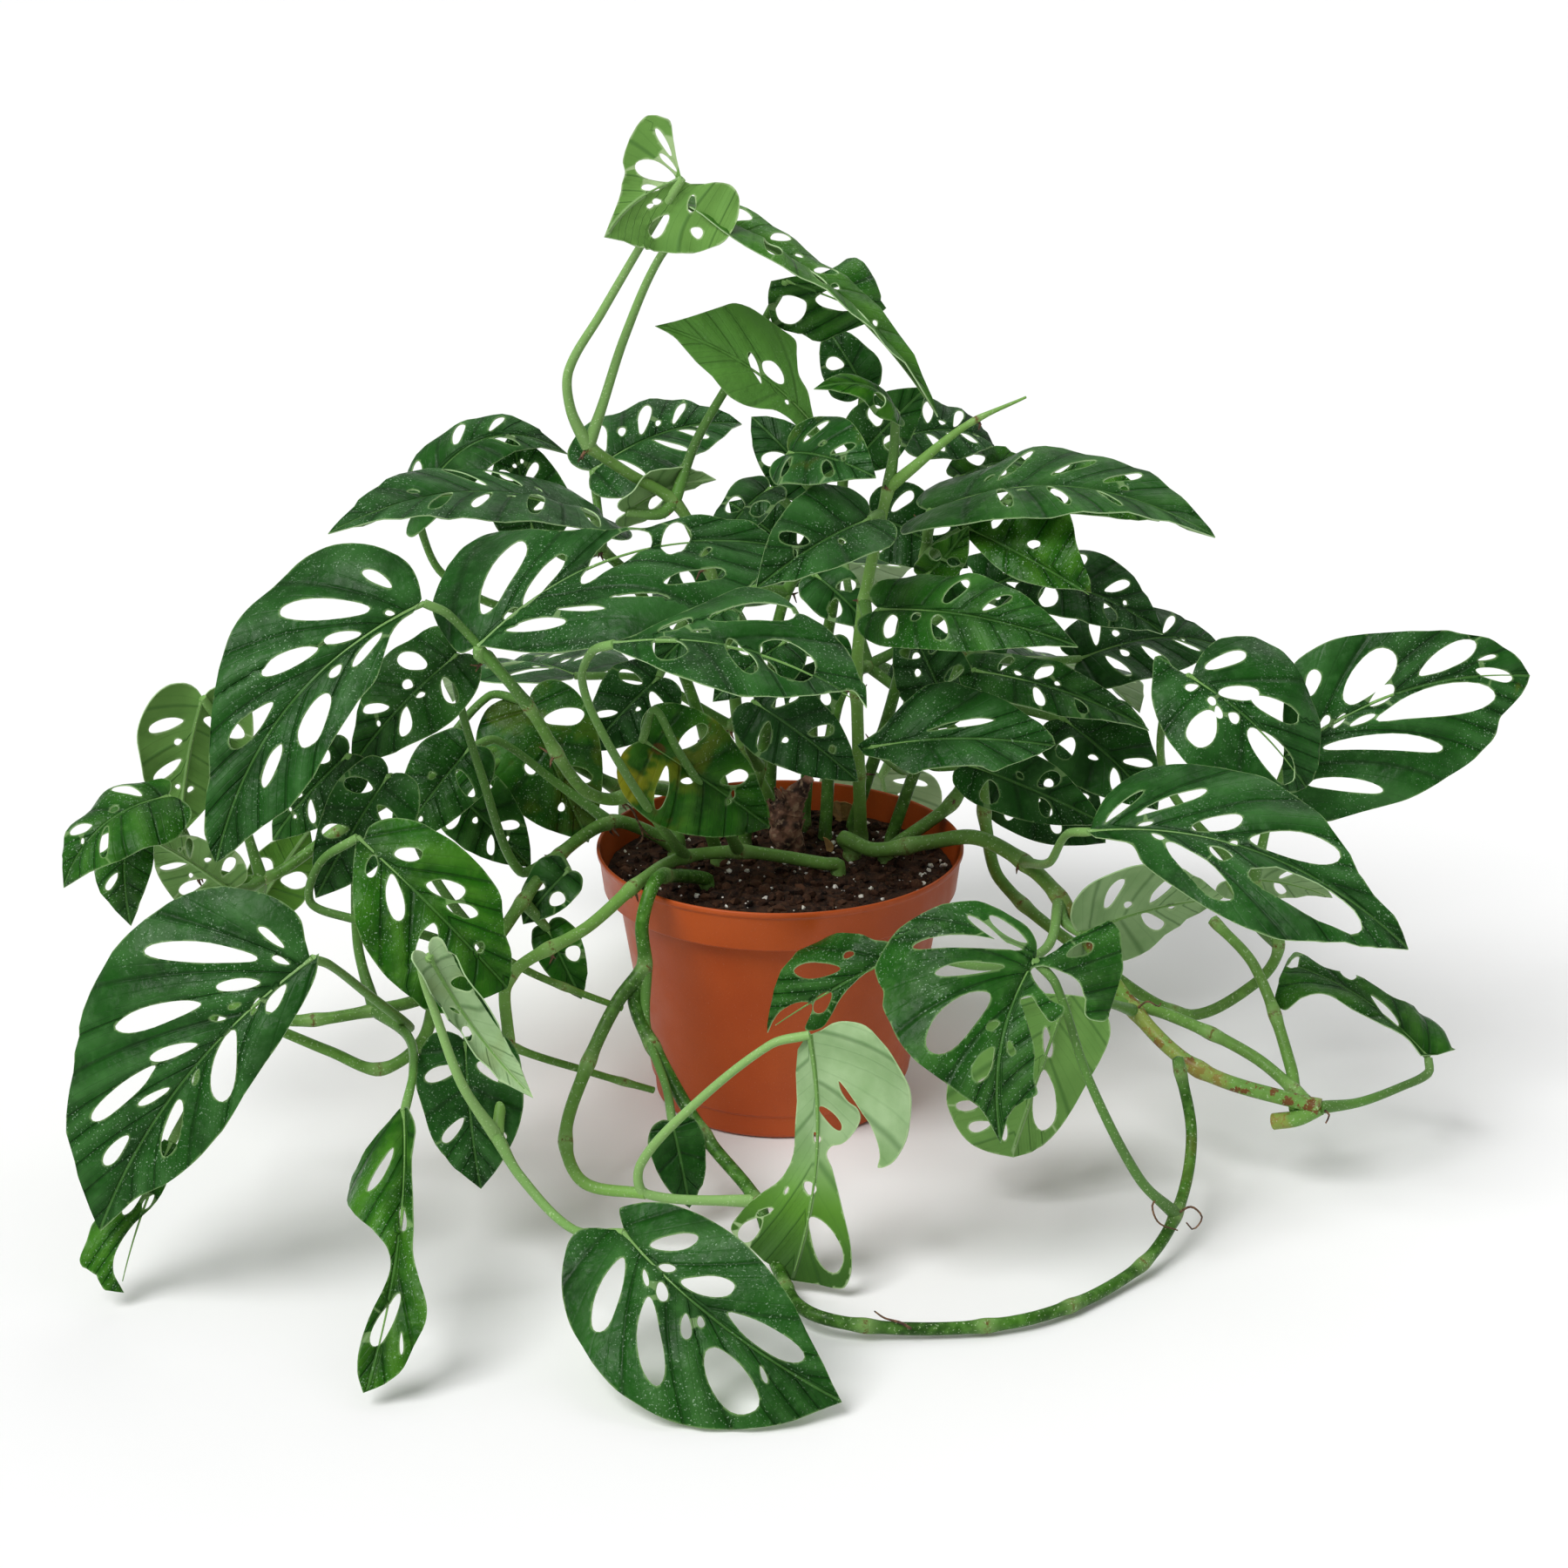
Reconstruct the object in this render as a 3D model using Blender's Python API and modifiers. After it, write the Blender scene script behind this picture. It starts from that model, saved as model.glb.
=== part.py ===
"""Swiss cheese vine in a terracotta-coloured plastic nursery pot.

Metres, +Z up. The pot's axis is the Z axis and its base stands on z = 0. The front of the plant faces -Y.
Tables below are in millimetres. A place on the plant is given as seen from the front: pixels across and
down a frame 1800 pixels wide, read by eye, with a chosen distance behind the pot's axis.
"""

import math
import random

import bmesh
import bpy
from mathutils import Vector
from mathutils.geometry import delaunay_2d_cdt
from mathutils.kdtree import KDTree

MM = 0.001

# Viewing frame that the tables are read in
PX = 0.3585
FRAME_MID = 900
EYE_FAR = 1500.0
EYE_SIN, EYE_COS = 0.350, 0.937
AIM_X, AIM_Z = 1.6, 136.5

# Pot, six inch
POT_OUTSIDE = (
    (0.0, 0.0), (51.0, 0.0), (52.4, 1.2), (53.2, 10.0), (54.4, 11.0), (67.5, 91.5),
    (73.2, 92.6), (75.0, 107.0), (76.0, 108.0), (76.0, 110.0),
)
POT_FLOOR = 2.2
POT_INSIDE = (
    (74.6, 110.0), (71.8, 94.4), (66.0, 93.0), (52.2, 10.0), (51.0, POT_FLOOR), (0.0, POT_FLOOR),
)
POT_SIDES = 32
DRAINS, DRAIN_SIDES, DRAIN_R, DRAIN_RING = 6, 8, 4.5, 38.0
DRAIN_LOW, DRAIN_HIGH = -1.0, 5.0

# Potting mix
SOIL_GAP = 0.3
SOIL_Z, SOIL_RING = 99.0, 38.0
SOIL_RIM = (72.1, 98.0)
SOIL_LUMP = 1.6
ROOT_Z = 58.0
ROOT_TOPS = (100.0, 103.0)
ROOT_GAP, BORE_SIDES = 0.3, 6
BORE_LOW, BORE_HIGH = 57.0, 108.0
STUMP_AT, STUMP_R = (4.0, 18.0), 6.4
STUMP_WAY = (
    (0, 0, 0, 6.0), (0, 0, 45, 6.2), (-2, -1, 51, 7.0), (-1, 2, 59, 7.6), (3, 1, 67, 4.6), (8, -2, 75, 2.4),
)

# Vine
STEM_R, STEM_END_R = 2.9, 2.2
PETIOLE_R, PETIOLE_END_R, STALK_ROUNDING = 2.1, 1.5, 0
RIB_R, RIB_REACH, RIB_UNDER = 0.3, 0.06, 0.25
BLADE = 0.8
WAVE, WAVES, WAVE_START, WAVE_LEFT = 1.5, 1.6, 0.13, 0.3
SEAM_NEAR, SEAM_BEND = 0.002, math.radians(20)
SHARP_FROM = math.radians(35)
WELD = 0.01
PATH_FINE, PATH_KEPT = 8, 2.2
EDGE_FINE, EDGE_KEPT = 5, 3.0

# Half of a leaf in leaf lengths: (along the midrib, out from it)
LEAF_SIDE = (
    (0.0, 0.0), (-0.045, 0.05), (-0.07, 0.13), (-0.045, 0.225), (0.06, 0.31), (0.21, 0.345),
    (0.38, 0.335), (0.55, 0.29), (0.71, 0.215), (0.84, 0.13), (0.93, 0.058), (1.0, 0.0),
)
LEAF_SIDE_W, LEAN = 0.345, 0.12
SPINE, SHORT_SPINE, SPINE_LONG = (0.0, 0.17, 0.36, 0.56, 0.78, 1.0), (0.0, 0.36, 0.56, 1.0), 80.0
HOLE_START, HOLE_END = 0.0, 0.62
HOLE_TURN, HOLE_END_TURN, HOLE_TURN_VARY = 82.0, 36.0, 5.0
HOLE_VARY, HOLE_NEAR, HOLE_FAR, HOLE_FAT, HOLE_EGG = 0.12, (0.12, 0.24), (0.76, 0.87), (0.14, 0.22), 0.25
HOLE_KEEP = 0.78
HOLE_SIZES = ((112.0, 4, 5), (100.0, 4, 4), (68.0, 3, 4), (42.0, 2, 4), (0.0, 1, 4))
HOLE_GROW = {4: 1.14, 5: 1.08, 6: 1.05}
GAP_LEAST, GAP_SMALL, GAP_MIDDLE, GAP_LONG = 2.4, 5.5, 7.0, 14.0
SPOT_START, SPOT_STEPS, SPOT_TRY, SPOT_STRIDE = (0.4, 0.0), 14, 0.002, 0.2
SLIT_REACH = 1.2


def seen(across, down, back):
    """The place seen `across` and `down` the frame in pixels, `back` mm behind the pot's axis."""
    k = (FRAME_MID - down) * PX / EYE_FAR
    up = (k * (EYE_FAR + EYE_COS * back) - EYE_SIN * back) / (EYE_COS + EYE_SIN * k)
    far = EYE_COS * back - EYE_SIN * up
    return Vector((AIM_X + (across - FRAME_MID) * PX * (EYE_FAR + far) / EYE_FAR, back, AIM_Z + up))


def lying(across, down, high):
    """The place seen `across` and `down` the frame in pixels, `high` mm above the surface."""
    k = (FRAME_MID - down) * PX / EYE_FAR
    up = high - AIM_Z
    back = (up * (EYE_COS + EYE_SIN * k) - k * EYE_FAR) / (EYE_COS * k - EYE_SIN)
    return seen(across, down, back)


def shown(place):
    """The pixels across and down the frame at which a place is seen."""
    up = place.z - AIM_Z
    far = EYE_COS * place.y - EYE_SIN * up
    k = (up * EYE_COS + EYE_SIN * place.y) / (EYE_FAR + far)
    across = FRAME_MID + (place.x - AIM_X) / PX * EYE_FAR / (EYE_FAR + far)
    return Vector((across, FRAME_MID - k * EYE_FAR / PX))


def root(x, y):
    """The sunk foot of a stem, upright to just above the soil."""
    return [Vector((x, y, z)) for z in (ROOT_Z, *ROOT_TOPS)]


def leaf(base, tip, face, width, arch, fold=14, curl=30, twist=0, sway=0.0, slits=0, **more):
    """A leaf from its base to its tip, its upper side turned to `face`. Angles are degrees.

    Its width, and how far it bows up by `arch` and to its right by `sway`, are shares of its length. Its
    first `slits` holes run out through the right edge, or through the left where the number is negative. A
    leaf with a row in LEAF_SEEN takes its outline and holes from there.
    """
    return dict(
        base=base, tip=tip, face=Vector(face), width=width, arch=arch, fold=math.radians(fold),
        curl=math.radians(curl), twist=math.radians(twist), sway=sway, slits=slits, **more,
    )


def branch(points, leaves=(), start=STEM_R, end=STEM_END_R):
    """A length of stem through `points`, with the leaves that leave it."""
    return dict(points=points, leaves=leaves, start=start, end=end)


# Leaves with an outline and holes of their own, in pixels of the viewing frame. An outline is its side from
# base to tip, then its side from tip to base. A hole is its inner end, its outer end and its full width.
LEAF_SEEN = {
    1: (
        (((484, 688), (480, 668), (470, 649), (448, 634), (418, 625), (380, 628), (342, 647), (310, 676),
          (284, 700), (264, 729), (251, 768), (244, 802), (240, 845), (239, 893), (235, 953), (247, 991)),
         ((247, 991), (263, 981), (301, 949), (332, 927), (356, 897), (373, 868), (391, 837),
          (411, 805), (431, 780), (441, 750), (449, 728), (460, 713), (474, 703))),
        ((427, 702, 320, 703, 24), (449, 676, 417, 656, 12), (453, 705, 442, 704, 6),
         (414, 728, 372, 736, 13), (364, 744, 302, 774, 19), (439, 727, 405, 765, 12),
         (391, 764, 379, 778, 9), (376, 796, 347, 858, 26), (313, 808, 265, 857, 22),
         (323, 855, 301, 903, 14)),
    ),
    2: (
        (((548, 741), (528, 750), (511, 731), (500, 711), (497, 697), (504, 672), (516, 648), (536, 627),
          (561, 613), (600, 609), (650, 609), (700, 608), (740, 606), (762, 599), (792, 592), (818, 591),
          (846, 595), (870, 602), (890, 622)),
         ((890, 622), (884, 648), (866, 668), (840, 684), (800, 706), (760, 722), (720, 736),
          (675, 745), (636, 749), (600, 747), (556, 742))),
        ((556, 709, 599, 624, 29), (578, 710, 595, 700, 7), (600, 697, 648, 637, 17),
         (668, 668, 744, 613, 24), (768, 640, 782, 601, 28), (804, 638, 816, 629, 4),
         (760, 672, 834, 656, 16), (700, 687, 768, 687, 6), (640, 700, 694, 699, 6),
         (580, 724, 649, 714, 12)),
    ),
    3: (
        (((703, 737), (730, 728), (748, 718), (770, 708), (795, 698), (822, 686), (848, 676), (871, 676),
          (896, 686), (918, 704), (950, 725), (971, 745), (982, 771), (992, 786), (996, 812)),
         ((996, 812), (979, 793), (951, 795), (926, 797), (898, 800), (857, 800), (829, 793),
          (801, 786), (765, 771), (742, 758), (704, 746))),
        ((756, 725, 794, 713, 10), (808, 713, 914, 706, 20), (756, 732, 778, 756, 27),
         (836, 734, 864, 776, 20), (876, 737, 930, 780, 34), (795, 725, 815, 725, 3)),
    ),
    42: (
        (((356, 1101), (350, 1080), (345, 1057), (333, 1042), (313, 1030), (283, 1022), (253, 1019),
          (220, 1025), (190, 1038), (167, 1057), (140, 1083), (120, 1112), (103, 1143), (93, 1180),
          (86, 1220), (77, 1267), (75, 1287), (87, 1340), (100, 1380), (114, 1414)),
         ((114, 1414), (130, 1400), (153, 1378), (190, 1360), (217, 1340), (240, 1317), (263, 1287),
          (280, 1257), (300, 1227), (320, 1198), (337, 1170), (350, 1147), (362, 1120), (366, 1095))),
        ((326, 1088, 297, 1065, 9), (332, 1107, 312, 1099, 7), (293, 1101, 168, 1092, 24),
         (299, 1128, 248, 1134, 14), (231, 1152, 134, 1182, 24), (276, 1153, 262, 1158, 6),
         (258, 1170, 241, 1170, 6), (227, 1198, 173, 1217, 14), (178, 1226, 105, 1288, 20),
         (195, 1249, 160, 1269, 9), (148, 1303, 119, 1338, 15), (328, 1131, 306, 1163, 14),
         (297, 1146, 288, 1165, 6), (268, 1180, 251, 1266, 27), (228, 1228, 221, 1246, 6),
         (208, 1262, 192, 1327, 20)),
    ),
    41: (
        (((716, 1413), (712, 1390), (722, 1386), (742, 1382), (766, 1382), (790, 1389), (810, 1398),
          (834, 1413), (856, 1429), (876, 1450), (896, 1476), (912, 1500), (926, 1530), (942, 1560),
          (956, 1590), (967, 1610)),
         ((967, 1610), (940, 1620), (910, 1632), (870, 1640), (830, 1642), (790, 1638), (760, 1628),
          (730, 1612), (704, 1594), (682, 1568), (668, 1546), (652, 1520), (645, 1492), (644, 1472),
          (648, 1444), (654, 1426), (666, 1413), (684, 1410), (702, 1412))),
        ((747, 1430, 803, 1424, 18), (755, 1454, 775, 1458, 9), (784, 1473, 844, 1480, 23),
         (838, 1509, 919, 1561, 27), (715, 1446, 684, 1530, 28), (739, 1458, 744, 1479, 6),
         (744, 1491, 754, 1592, 28), (758, 1472, 762, 1495, 13), (787, 1510, 789, 1540, 12),
         (803, 1512, 806, 1526, 8), (815, 1546, 861, 1623, 44), (873, 1569, 880, 1589, 6)),
    ),
    28: (
        (((1250, 955), (1263, 924), (1278, 905), (1298, 892), (1322, 883), (1357, 879), (1387, 879),
          (1416, 882), (1440, 889), (1460, 898), (1481, 910), (1499, 923), (1519, 942), (1537, 964),
          (1552, 985), (1564, 1008), (1584, 1033), (1605, 1058), (1618, 1090)),
         ((1618, 1090), (1575, 1088), (1543, 1083), (1505, 1082), (1469, 1078), (1440, 1069),
          (1413, 1057), (1387, 1044), (1363, 1029), (1343, 1016), (1325, 1002), (1310, 988),
          (1300, 971), (1278, 964), (1257, 961))),
        ((1270, 945, 1313, 911, 8), (1304, 939, 1387, 908, 13), (1306, 948, 1324, 945, 4),
         (1366, 952, 1428, 941, 18), (1434, 964, 1538, 983, 33), (1411, 968, 1421, 967, 5),
         (1323, 959, 1336, 967, 6), (1340, 970, 1411, 1034, 30), (1389, 973, 1413, 986, 12),
         (1428, 998, 1564, 1069, 42)),
    ),
    26: (
        (((1474, 862), (1473, 845), (1473, 815), (1478, 780), (1487, 761), (1508, 746), (1534, 734),
          (1564, 728), (1602, 725), (1637, 725), (1661, 724), (1676, 728), (1708, 733), (1726, 743),
          (1741, 753), (1757, 776)),
         ((1757, 776), (1752, 790), (1741, 805), (1729, 817), (1721, 827), (1718, 842), (1711, 852),
          (1693, 871), (1670, 887), (1643, 904), (1617, 917), (1584, 927), (1552, 936), (1522, 944),
          (1492, 936), (1476, 912), (1472, 885))),
        ((1503, 800, 1511, 770, 16), (1545, 811, 1600, 747, 38), (1573, 810, 1600, 788, 16),
         (1631, 774, 1692, 741, 25), (1697, 758, 1718, 753, 5), (1694, 770, 1737, 780, 13),
         (1582, 826, 1716, 798, 36), (1516, 838, 1526, 822, 9), (1531, 836, 1545, 820, 7),
         (1551, 833, 1578, 821, 8), (1518, 859, 1655, 860, 19), (1500, 900, 1586, 908, 17)),
    ),
    27: (
        (((1369, 774), (1375, 758), (1384, 745), (1399, 733), (1416, 730), (1440, 731), (1455, 739),
          (1469, 747), (1484, 762), (1496, 781), (1505, 802), (1511, 823), (1514, 846), (1513, 867),
          (1509, 888), (1500, 905)),
         ((1500, 905), (1478, 912), (1440, 915), (1400, 905), (1366, 880), (1349, 860), (1337, 843),
          (1328, 823), (1322, 799), (1323, 778), (1326, 754), (1336, 753), (1346, 764), (1360, 773))),
        ((1384, 768, 1431, 750, 16), (1399, 795, 1445, 798, 17), (1436, 803, 1488, 828, 20),
         (1410, 821, 1423, 827, 13), (1386, 805, 1396, 806, 11), (1397, 811, 1400, 826, 9),
         (1391, 817, 1371, 857, 32), (1376, 786, 1361, 791, 8), (1434, 838, 1484, 897, 32)),
    ),
    15: (
        (((1190, 1099), (1189, 1083), (1180, 1066), (1166, 1056), (1145, 1044), (1122, 1036),
          (1101, 1037), (1075, 1041), (1055, 1050), (1036, 1063), (1022, 1077), (1013, 1091),
          (1004, 1110), (1008, 1127), (1015, 1140), (1014, 1157), (1022, 1175), (1031, 1194),
          (1050, 1217), (1068, 1231), (1087, 1245), (1105, 1259), (1122, 1270), (1133, 1284),
          (1149, 1314)),
         ((1149, 1314), (1161, 1277), (1177, 1264), (1191, 1256), (1187, 1238), (1188, 1206),
          (1178, 1170), (1172, 1148), (1184, 1146), (1205, 1173), (1220, 1166), (1221, 1157),
          (1207, 1149), (1193, 1136), (1184, 1113), (1207, 1113), (1230, 1122), (1244, 1140),
          (1246, 1164), (1252, 1172), (1268, 1173), (1277, 1150), (1288, 1117), (1288, 1090),
          (1284, 1069), (1274, 1057), (1263, 1062), (1244, 1072), (1226, 1081), (1212, 1092),
          (1200, 1099))),
        ((1172, 1092, 1047, 1086, 14), (1178, 1084, 1135, 1055, 12), (1160, 1090, 1110, 1051, 8),
         (1150, 1112, 1075, 1119, 15), (1136, 1142, 1066, 1208, 40), (1147, 1174, 1133, 1181, 9),
         (1140, 1204, 1120, 1240, 20), (1158, 1196, 1163, 1212, 7), (1224, 1099, 1254, 1085, 13)),
    ),
    36: (
        (((1228, 1142), (1250, 1147), (1268, 1160), (1275, 1186), (1265, 1214), (1249, 1242),
          (1228, 1279), (1207, 1307), (1184, 1323), (1163, 1329)),
         ((1163, 1329), (1138, 1324), (1117, 1315), (1103, 1302), (1093, 1284), (1086, 1262),
          (1090, 1230), (1110, 1190), (1150, 1156), (1200, 1141))),
        ((1200, 1180, 1205, 1214, 10), (1198, 1230, 1200, 1296, 27), (1150, 1238, 1122, 1246, 12),
         (1138, 1290, 1112, 1296, 12), (1124, 1268, 1098, 1270, 12), (1155, 1292, 1153, 1310, 6)),
    ),
    37: (
        (((1036, 1093), (1020, 1082), (1004, 1080), (990, 1074), (969, 1072), (948, 1074), (930, 1083),
          (913, 1099), (899, 1117), (890, 1138), (883, 1164), (880, 1186)),
         ((880, 1186), (890, 1168), (902, 1157), (918, 1151), (931, 1153), (932, 1161), (925, 1182),
          (943, 1181), (953, 1168), (962, 1150), (975, 1134), (999, 1113), (1024, 1102))),
        ((966, 1113, 914, 1116, 16), (981, 1095, 968, 1098, 8), (954, 1140, 934, 1162, 16)),
    ),
    32: (
        (((926, 1190), (943, 1183), (957, 1175), (975, 1174), (993, 1179), (1011, 1194), (1025, 1210),
          (1036, 1230), (1043, 1255), (1044, 1282), (1043, 1305), (1034, 1325), (1023, 1337),
          (1008, 1341), (1011, 1328), (1009, 1310), (1002, 1291), (993, 1278), (982, 1262), (964, 1241),
          (966, 1251), (975, 1264), (986, 1272), (990, 1282), (986, 1293), (975, 1307), (966, 1314),
          (954, 1317), (949, 1326), (955, 1341), (962, 1369), (968, 1396), (975, 1425), (977, 1448),
          (975, 1466), (966, 1480), (939, 1475), (906, 1470)),
         ((906, 1470), (890, 1456), (875, 1446), (860, 1432), (839, 1412), (853, 1389), (873, 1371),
          (893, 1357), (906, 1339), (912, 1320), (913, 1290), (914, 1240), (916, 1205))),
        ((940, 1270, 966, 1298, 12), (935, 1300, 940, 1312, 8), (924, 1358, 935, 1370, 13),
         (932, 1399, 960, 1462, 29), (873, 1400, 850, 1424, 20), (905, 1363, 901, 1371, 4),
         (888, 1388, 868, 1396, 7)),
    ),
    47: (
        (((458, 1273), (440, 1294), (420, 1320), (404, 1344), (398, 1370), (408, 1395), (430, 1415),
          (445, 1435), (448, 1455), (440, 1480), (425, 1510), (413, 1545), (410, 1575), (417, 1600)),
         ((417, 1600), (440, 1590), (461, 1574), (475, 1546), (488, 1520), (490, 1500), (482, 1470),
          (475, 1440), (476, 1410), (474, 1370), (474, 1330), (476, 1290), (468, 1271))),
        ((452, 1320, 425, 1370, 9), (461, 1385, 465, 1415, 9), (458, 1486, 428, 1546, 18),
         (461, 1530, 461, 1556, 4)),
    ),
    43: (
        (((204, 1314), (196, 1340), (190, 1362), (175, 1385), (150, 1410), (132, 1440), (130, 1460),
          (136, 1474), (142, 1485)),
         ((142, 1485), (118, 1480), (110, 1465), (95, 1455), (92, 1446), (100, 1425), (107, 1403),
          (140, 1370), (168, 1330), (188, 1308))),
        ((166, 1360, 140, 1394, 12), (176, 1372, 164, 1388, 8)),
    ),
    44: (
        (((417, 963), (424, 950), (439, 942), (459, 940), (484, 945), (501, 955), (523, 969), (543, 987),
          (560, 1004), (572, 1021), (577, 1043), (579, 1068), (585, 1088), (587, 1107), (583, 1135)),
         ((583, 1135), (548, 1149), (513, 1163), (498, 1163), (485, 1158), (474, 1147), (461, 1137),
          (442, 1120), (427, 1100), (415, 1078), (407, 1053), (405, 1028), (405, 1001), (407, 977),
          (409, 966))),
        ((452, 980, 484, 982, 17), (489, 1016, 534, 1025, 21), (512, 1040, 548, 1050, 15),
         (545, 1086, 555, 1089, 12), (430, 982, 424, 1008, 13), (448, 1004, 458, 1058, 20),
         (498, 1060, 483, 1108, 22)),
    ),
    39: (
        (((1650, 1212), (1670, 1206), (1680, 1190), (1661, 1172), (1632, 1158), (1600, 1145),
          (1560, 1122), (1520, 1110), (1490, 1092), (1477, 1104)),
         ((1477, 1104), (1468, 1125), (1464, 1150), (1476, 1160), (1495, 1146), (1520, 1142),
          (1555, 1160), (1590, 1178), (1616, 1194), (1632, 1212))),
        ((1490, 1098, 1480, 1112, 9), (1539, 1115, 1556, 1124, 8), (1575, 1145, 1606, 1178, 7)),
    ),
    61: (
        (((783, 207), (777, 183), (773, 159), (770, 139), (760, 133), (749, 131), (739, 135), (726, 152),
          (719, 167), (715, 185), (717, 198), (714, 211), (711, 227), (702, 250), (693, 273)),
         ((693, 273), (715, 278), (736, 285), (752, 288), (775, 291), (796, 290), (819, 284),
          (835, 275), (845, 258), (849, 237), (847, 222), (838, 212), (822, 209), (809, 211), (793, 211))),
        ((771, 180, 753, 148, 7), (777, 197, 758, 177, 6), (775, 207, 729, 190, 21),
         (757, 217, 736, 215, 8), (759, 231, 749, 232, 7), (751, 235, 743, 238, 5),
         (768, 247, 748, 272, 15), (796, 224, 793, 244, 9), (793, 264, 806, 270, 11)),
    ),
    81: (
        (((947, 506), (936, 486), (930, 466), (926, 448), (917, 430), (915, 409), (913, 391), (897, 378),
          (877, 363), (861, 353), (843, 348), (825, 353), (801, 361), (778, 368), (752, 374)),
         ((752, 374), (767, 382), (780, 393), (796, 412), (817, 432), (835, 453), (853, 464),
          (871, 469), (890, 471), (905, 480), (921, 496))),
        ((874, 440, 859, 404, 8), (899, 440, 877, 415, 16), (901, 460, 906, 463, 5)),
    ),
    63: (
        (((906, 318), (920, 316), (940, 314), (960, 305), (976, 296), (989, 303), (1002, 318),
          (1009, 339), (1016, 354)),
         ((1016, 354), (1003, 367), (985, 375), (960, 385), (940, 392), (921, 383), (890, 373),
          (883, 357), (882, 336), (885, 323))),
        ((925, 348, 892, 361, 32), (936, 346, 987, 341, 27)),
    ),
    22: (
        (((1091, 594), (1093, 589), (1109, 583), (1133, 576), (1173, 572), (1216, 570), (1224, 583),
          (1232, 601), (1236, 625), (1243, 644), (1251, 665), (1253, 681)),
         ((1253, 681), (1237, 677), (1200, 675), (1173, 668), (1157, 660), (1141, 649), (1120, 628),
          (1106, 612), (1096, 602))),
        ((1141, 608, 1153, 577, 15), (1179, 624, 1194, 626, 11), (1167, 594, 1168, 581, 6)),
    ),
    31: (
        (((984, 856), (1008, 840), (1029, 815), (1048, 796), (1067, 783), (1088, 784), (1120, 791),
          (1147, 801), (1173, 817), (1195, 833), (1208, 846), (1212, 855)),
         ((1212, 855), (1200, 863), (1179, 873), (1157, 880), (1141, 887), (1125, 881), (1104, 880),
          (1083, 881), (1061, 884), (1048, 889), (1032, 881), (1016, 872), (992, 867))),
        ((1066, 839, 1140, 826, 7),),
    ),
}

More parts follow.
